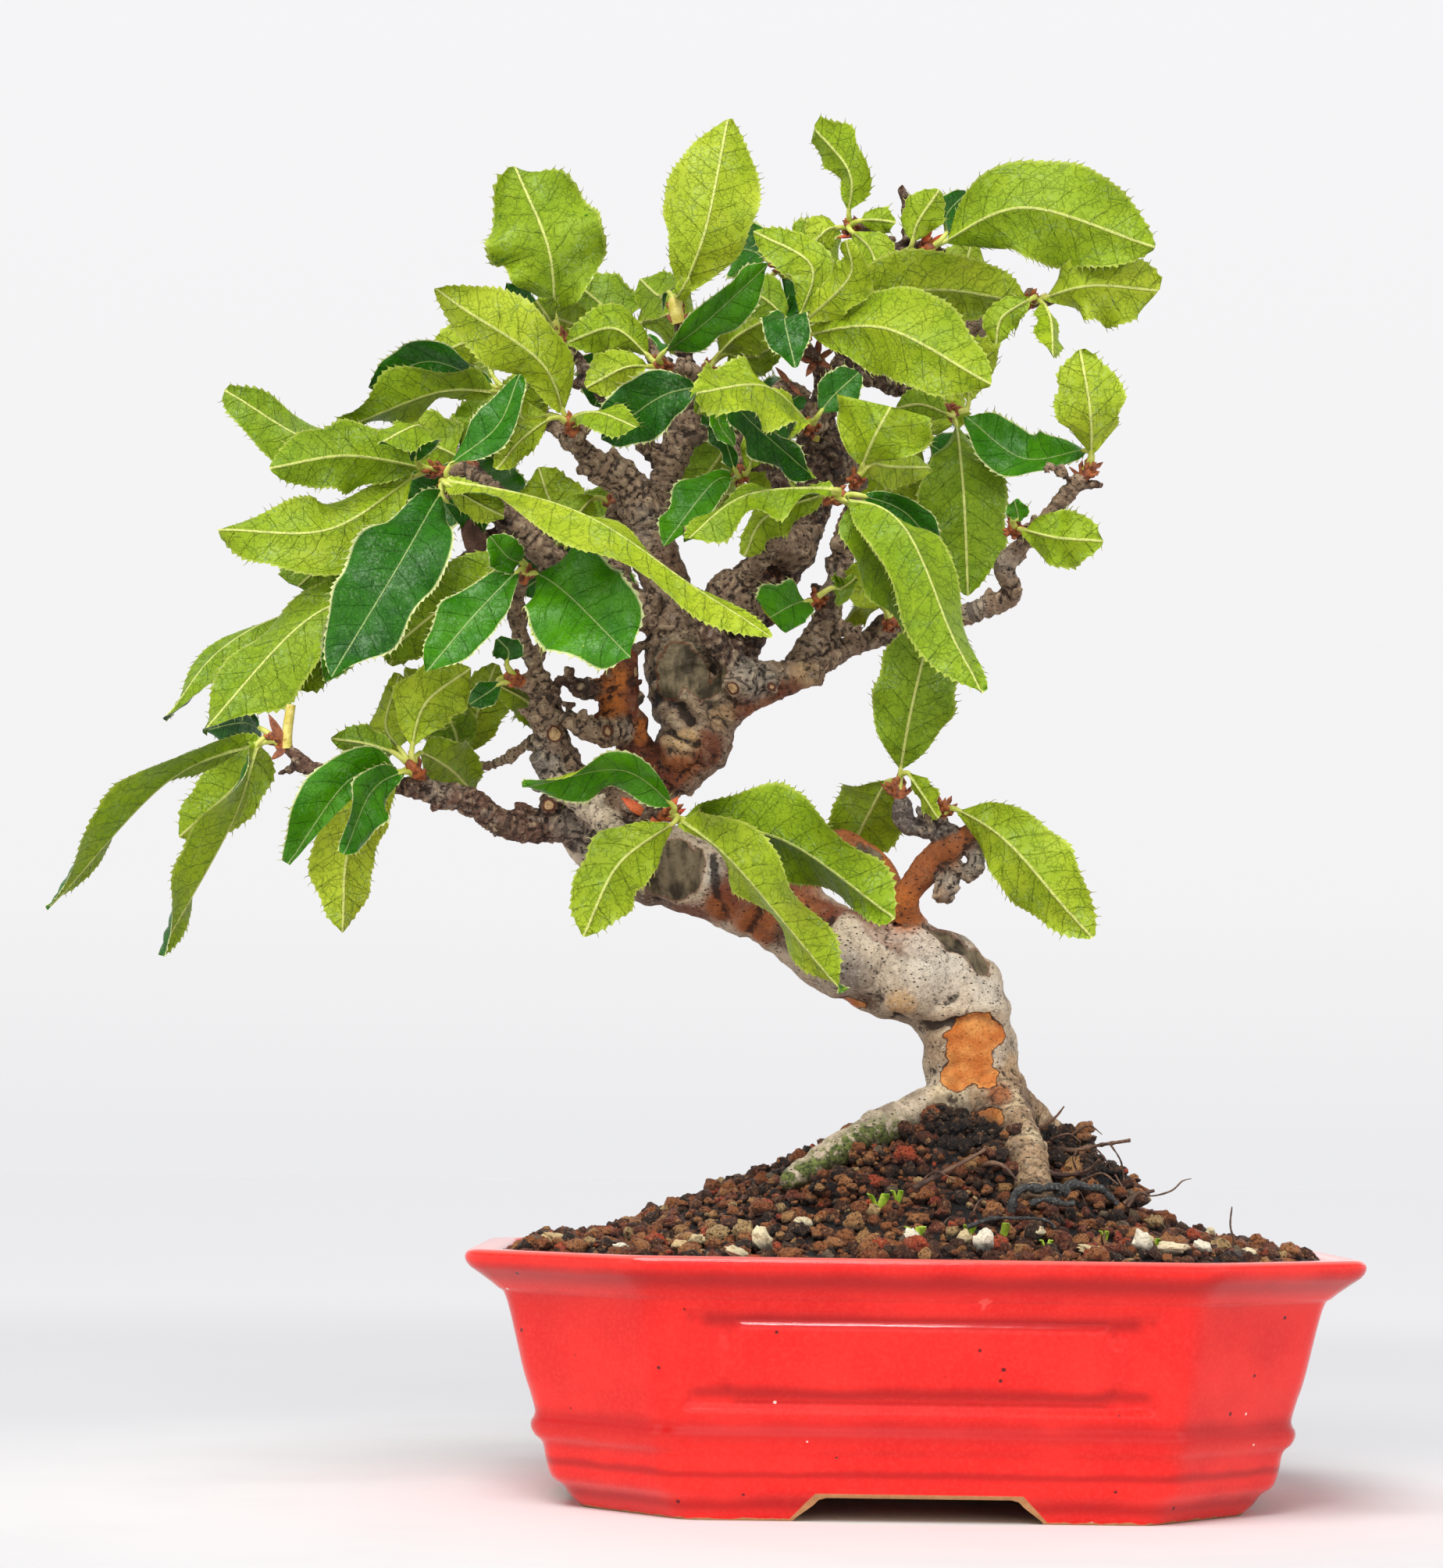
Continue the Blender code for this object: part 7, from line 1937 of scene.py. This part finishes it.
points, faces = [], []
path = curve_through(DRY_LEAF, 1.0)
widths = [DRY_LEAF_WIDTHS[0]]
for index in range(1, len(path)):
    share = index / (len(path) - 1) * (len(DRY_LEAF_WIDTHS) - 1)
    low = min(int(share), len(DRY_LEAF_WIDTHS) - 2)
    width = DRY_LEAF_WIDTHS[low] + (DRY_LEAF_WIDTHS[low + 1] - DRY_LEAF_WIDTHS[low]) * (share - low)
    widths.append(width * (1 + 0.25 * noise.noise(path[index] * 0.8)))
    path[index].y += 0.7 * noise.noise(path[index] * 0.5)
flat_tube(path, widths, 0.7, Vector((1, -0.3, 0.5)), points, faces)
new_piece("withered_leaf", points, faces, [
    dry_finish("withered_leaf", srgb(88, 56, 46), srgb(132, 92, 76), srgb(46, 28, 24), 2, 0.6, 0.4),
], 60)

points, faces = [], []
for knots, radius in CUT_STALKS:
    path = curve_through(knots, 1.0)
    radii = [radius * (1.15 - 0.2 * index / len(path)) for index in range(len(path))]
    tube_mesh(path, radii, 10, points, faces)
new_piece("cut_leaf_stalks", points, faces, [
    dry_finish("cut_leaf_stalk", srgb(206, 186, 74), srgb(236, 222, 128), srgb(150, 96, 44), 2, 0.45, 0.1),
], 50)

# Drain screens
# Squares of moulded black plastic mesh, laid over the drain holes before the pot was filled. They keep
# the grains in and let the water out.
screen = Finish("screen_plastic")
weave = screen.noise(0.5, 3)
screen.colour = screen.mix(weave, srgb(22, 22, 23), srgb(48, 47, 46))
screen_plastic = screen.dress({"Roughness": 0.5 + weave * 0.25, "Normal": screen.bump(weave, 0.05)})
for name in ("drain_screen_left", "drain_screen_right"):
    dress_node(name, screen_plastic)

# Floor, light and camera
# None of this is part of the object: a pale floor with a painted pool of light round the pot, soft boxes
# above and beside it, and the camera that sees it as the photograph does.
FLOOR_RADIUS = 4000
FLOOR_HEIGHTS = (-40, -0.05)
# How far from the pot the painted pool of light round it fades to a darker floor, then how far out the floor
# grows paler again
LIGHT_POOL_FADE = (90, 230)
FLOOR_RISE = (450, 800)
CAMERA_PLACE = (-35.6, -700, 67.4)
CAMERA_PITCH = math.radians(5.24)
CAMERA_ROLL = math.radians(0.78)
PHOTO_HEIGHT = 2008
FOCAL_PIXELS = 4789
SENSOR = 36.0
# Name, place, size, power in watts: each box looks at the middle of the tree
SOFT_BOXES = (
    ("strip_box", (-90, -720, 560), (300, 14), 1.6),
    ("front_box", (-130, -820, 360), (420, 300), 0.2),
    ("left_box", (-560, -300, 330), (300, 460), 0.25),
    ("right_box", (560, -260, 320), (300, 460), 0.2),
)
# Name, turn in degrees about the upright axis from the front, height in degrees, width in degrees,
# strength in watts per square metre
FAR_LIGHTS = (
    ("key_light", -24, 56, 34, 2.3), ("fill_light", 30, 18, 70, 0.4), ("back_light", 170, 40, 70, 0.4),
)
TREE_MIDDLE = (-20, 0, 130)
# The room's shade by height: position from the horizon up, and colour
SKY = (
    (0.0, srgb(236, 236, 238)), (0.06, srgb(244, 243, 244)), (0.34, srgb(246, 245, 247)),
    (0.5, srgb(150, 150, 152)),
)

floor_mesh = raw_mesh("floor", *cylinder(0, 0, FLOOR_RADIUS, *FLOOR_HEIGHTS, 96))
floor = bpy.data.objects.new("floor", floor_mesh)
bpy.context.scene.collection.objects.link(floor)
floor_finish = Finish("floor_finish")
from_pot = floor_finish.node("VectorMath", {"operation": "LENGTH"}, {0: floor_finish.place}, "Value") / MM
worn = floor_finish.noise(40, 5).rise(0.42, 0.7)
# A painted pool of light on the floor round the pot, with a darker floor beyond it
light_pool_floor = floor_finish.mix(worn * 0.5, srgb(226, 225, 224), srgb(221, 219, 218))
far_floor = floor_finish.mix(from_pot.rise(*FLOOR_RISE), srgb(212, 212, 214), srgb(221, 221, 222))
floor_finish.colour = floor_finish.mix(from_pot.rise(*LIGHT_POOL_FADE), light_pool_floor, far_floor)
floor_mesh.materials.append(floor_finish.dress({"Roughness": 0.85, "Specular IOR Level": 0.1}))

for name, spot, (width, height), power in SOFT_BOXES:
    lamp = bpy.data.lights.new(name, "AREA")
    lamp.shape = "RECTANGLE"
    lamp.size = width * MM
    lamp.size_y = height * MM
    lamp.energy = power
    box = bpy.data.objects.new(name, lamp)
    bpy.context.scene.collection.objects.link(box)
    box.location = place(spot)
    look = place(TREE_MIDDLE) - box.location
    box.rotation_euler = look.to_track_quat("-Z", "Y").to_euler()

for name, turn, height, width, strength in FAR_LIGHTS:
    lamp = bpy.data.lights.new(name, "SUN")
    lamp.angle = math.radians(width)
    lamp.energy = strength
    far_light = bpy.data.objects.new(name, lamp)
    bpy.context.scene.collection.objects.link(far_light)
    aim = Matrix.Rotation(math.radians(turn), 4, "Z") @ Matrix.Rotation(math.radians(90 - height), 4, "X")
    far_light.matrix_world = aim

world = bpy.data.worlds.new("pale_room")
bpy.context.scene.world = world
world.use_nodes = True
# Pale behind the tree and dim overhead, so that the far lights shape the tree
height = world.node_tree.nodes.new("ShaderNodeSeparateXYZ")
around = world.node_tree.nodes.new("ShaderNodeTexCoord")
ramp = world.node_tree.nodes.new("ShaderNodeValToRGB")
ramp.color_ramp.elements.new(0.5)
ramp.color_ramp.elements.new(0.5)
for stop, (position, shade) in zip(ramp.color_ramp.elements, SKY):
    stop.position = position
    stop.color = shade
background = world.node_tree.nodes["Background"]
background.inputs["Strength"].default_value = 1.0
world.node_tree.links.new(around.outputs["Generated"], height.inputs[0])
world.node_tree.links.new(height.outputs["Z"], ramp.inputs[0])
world.node_tree.links.new(ramp.outputs["Color"], background.inputs["Color"])
bpy.context.scene.view_settings.view_transform = "Standard"

camera_data = bpy.data.cameras.new("camera")
camera_data.sensor_width = SENSOR
camera_data.lens = FOCAL_PIXELS / PHOTO_HEIGHT * SENSOR
camera_data.clip_start = 0.05
camera_data.clip_end = 20
camera = bpy.data.objects.new("camera", camera_data)
bpy.context.scene.collection.objects.link(camera)
camera.matrix_world = (
    Matrix.Translation(place(CAMERA_PLACE))
    @ Matrix.Rotation(math.radians(90) + CAMERA_PITCH, 4, "X")
    @ Matrix.Rotation(CAMERA_ROLL, 4, "Z")
)
bpy.context.scene.camera = camera
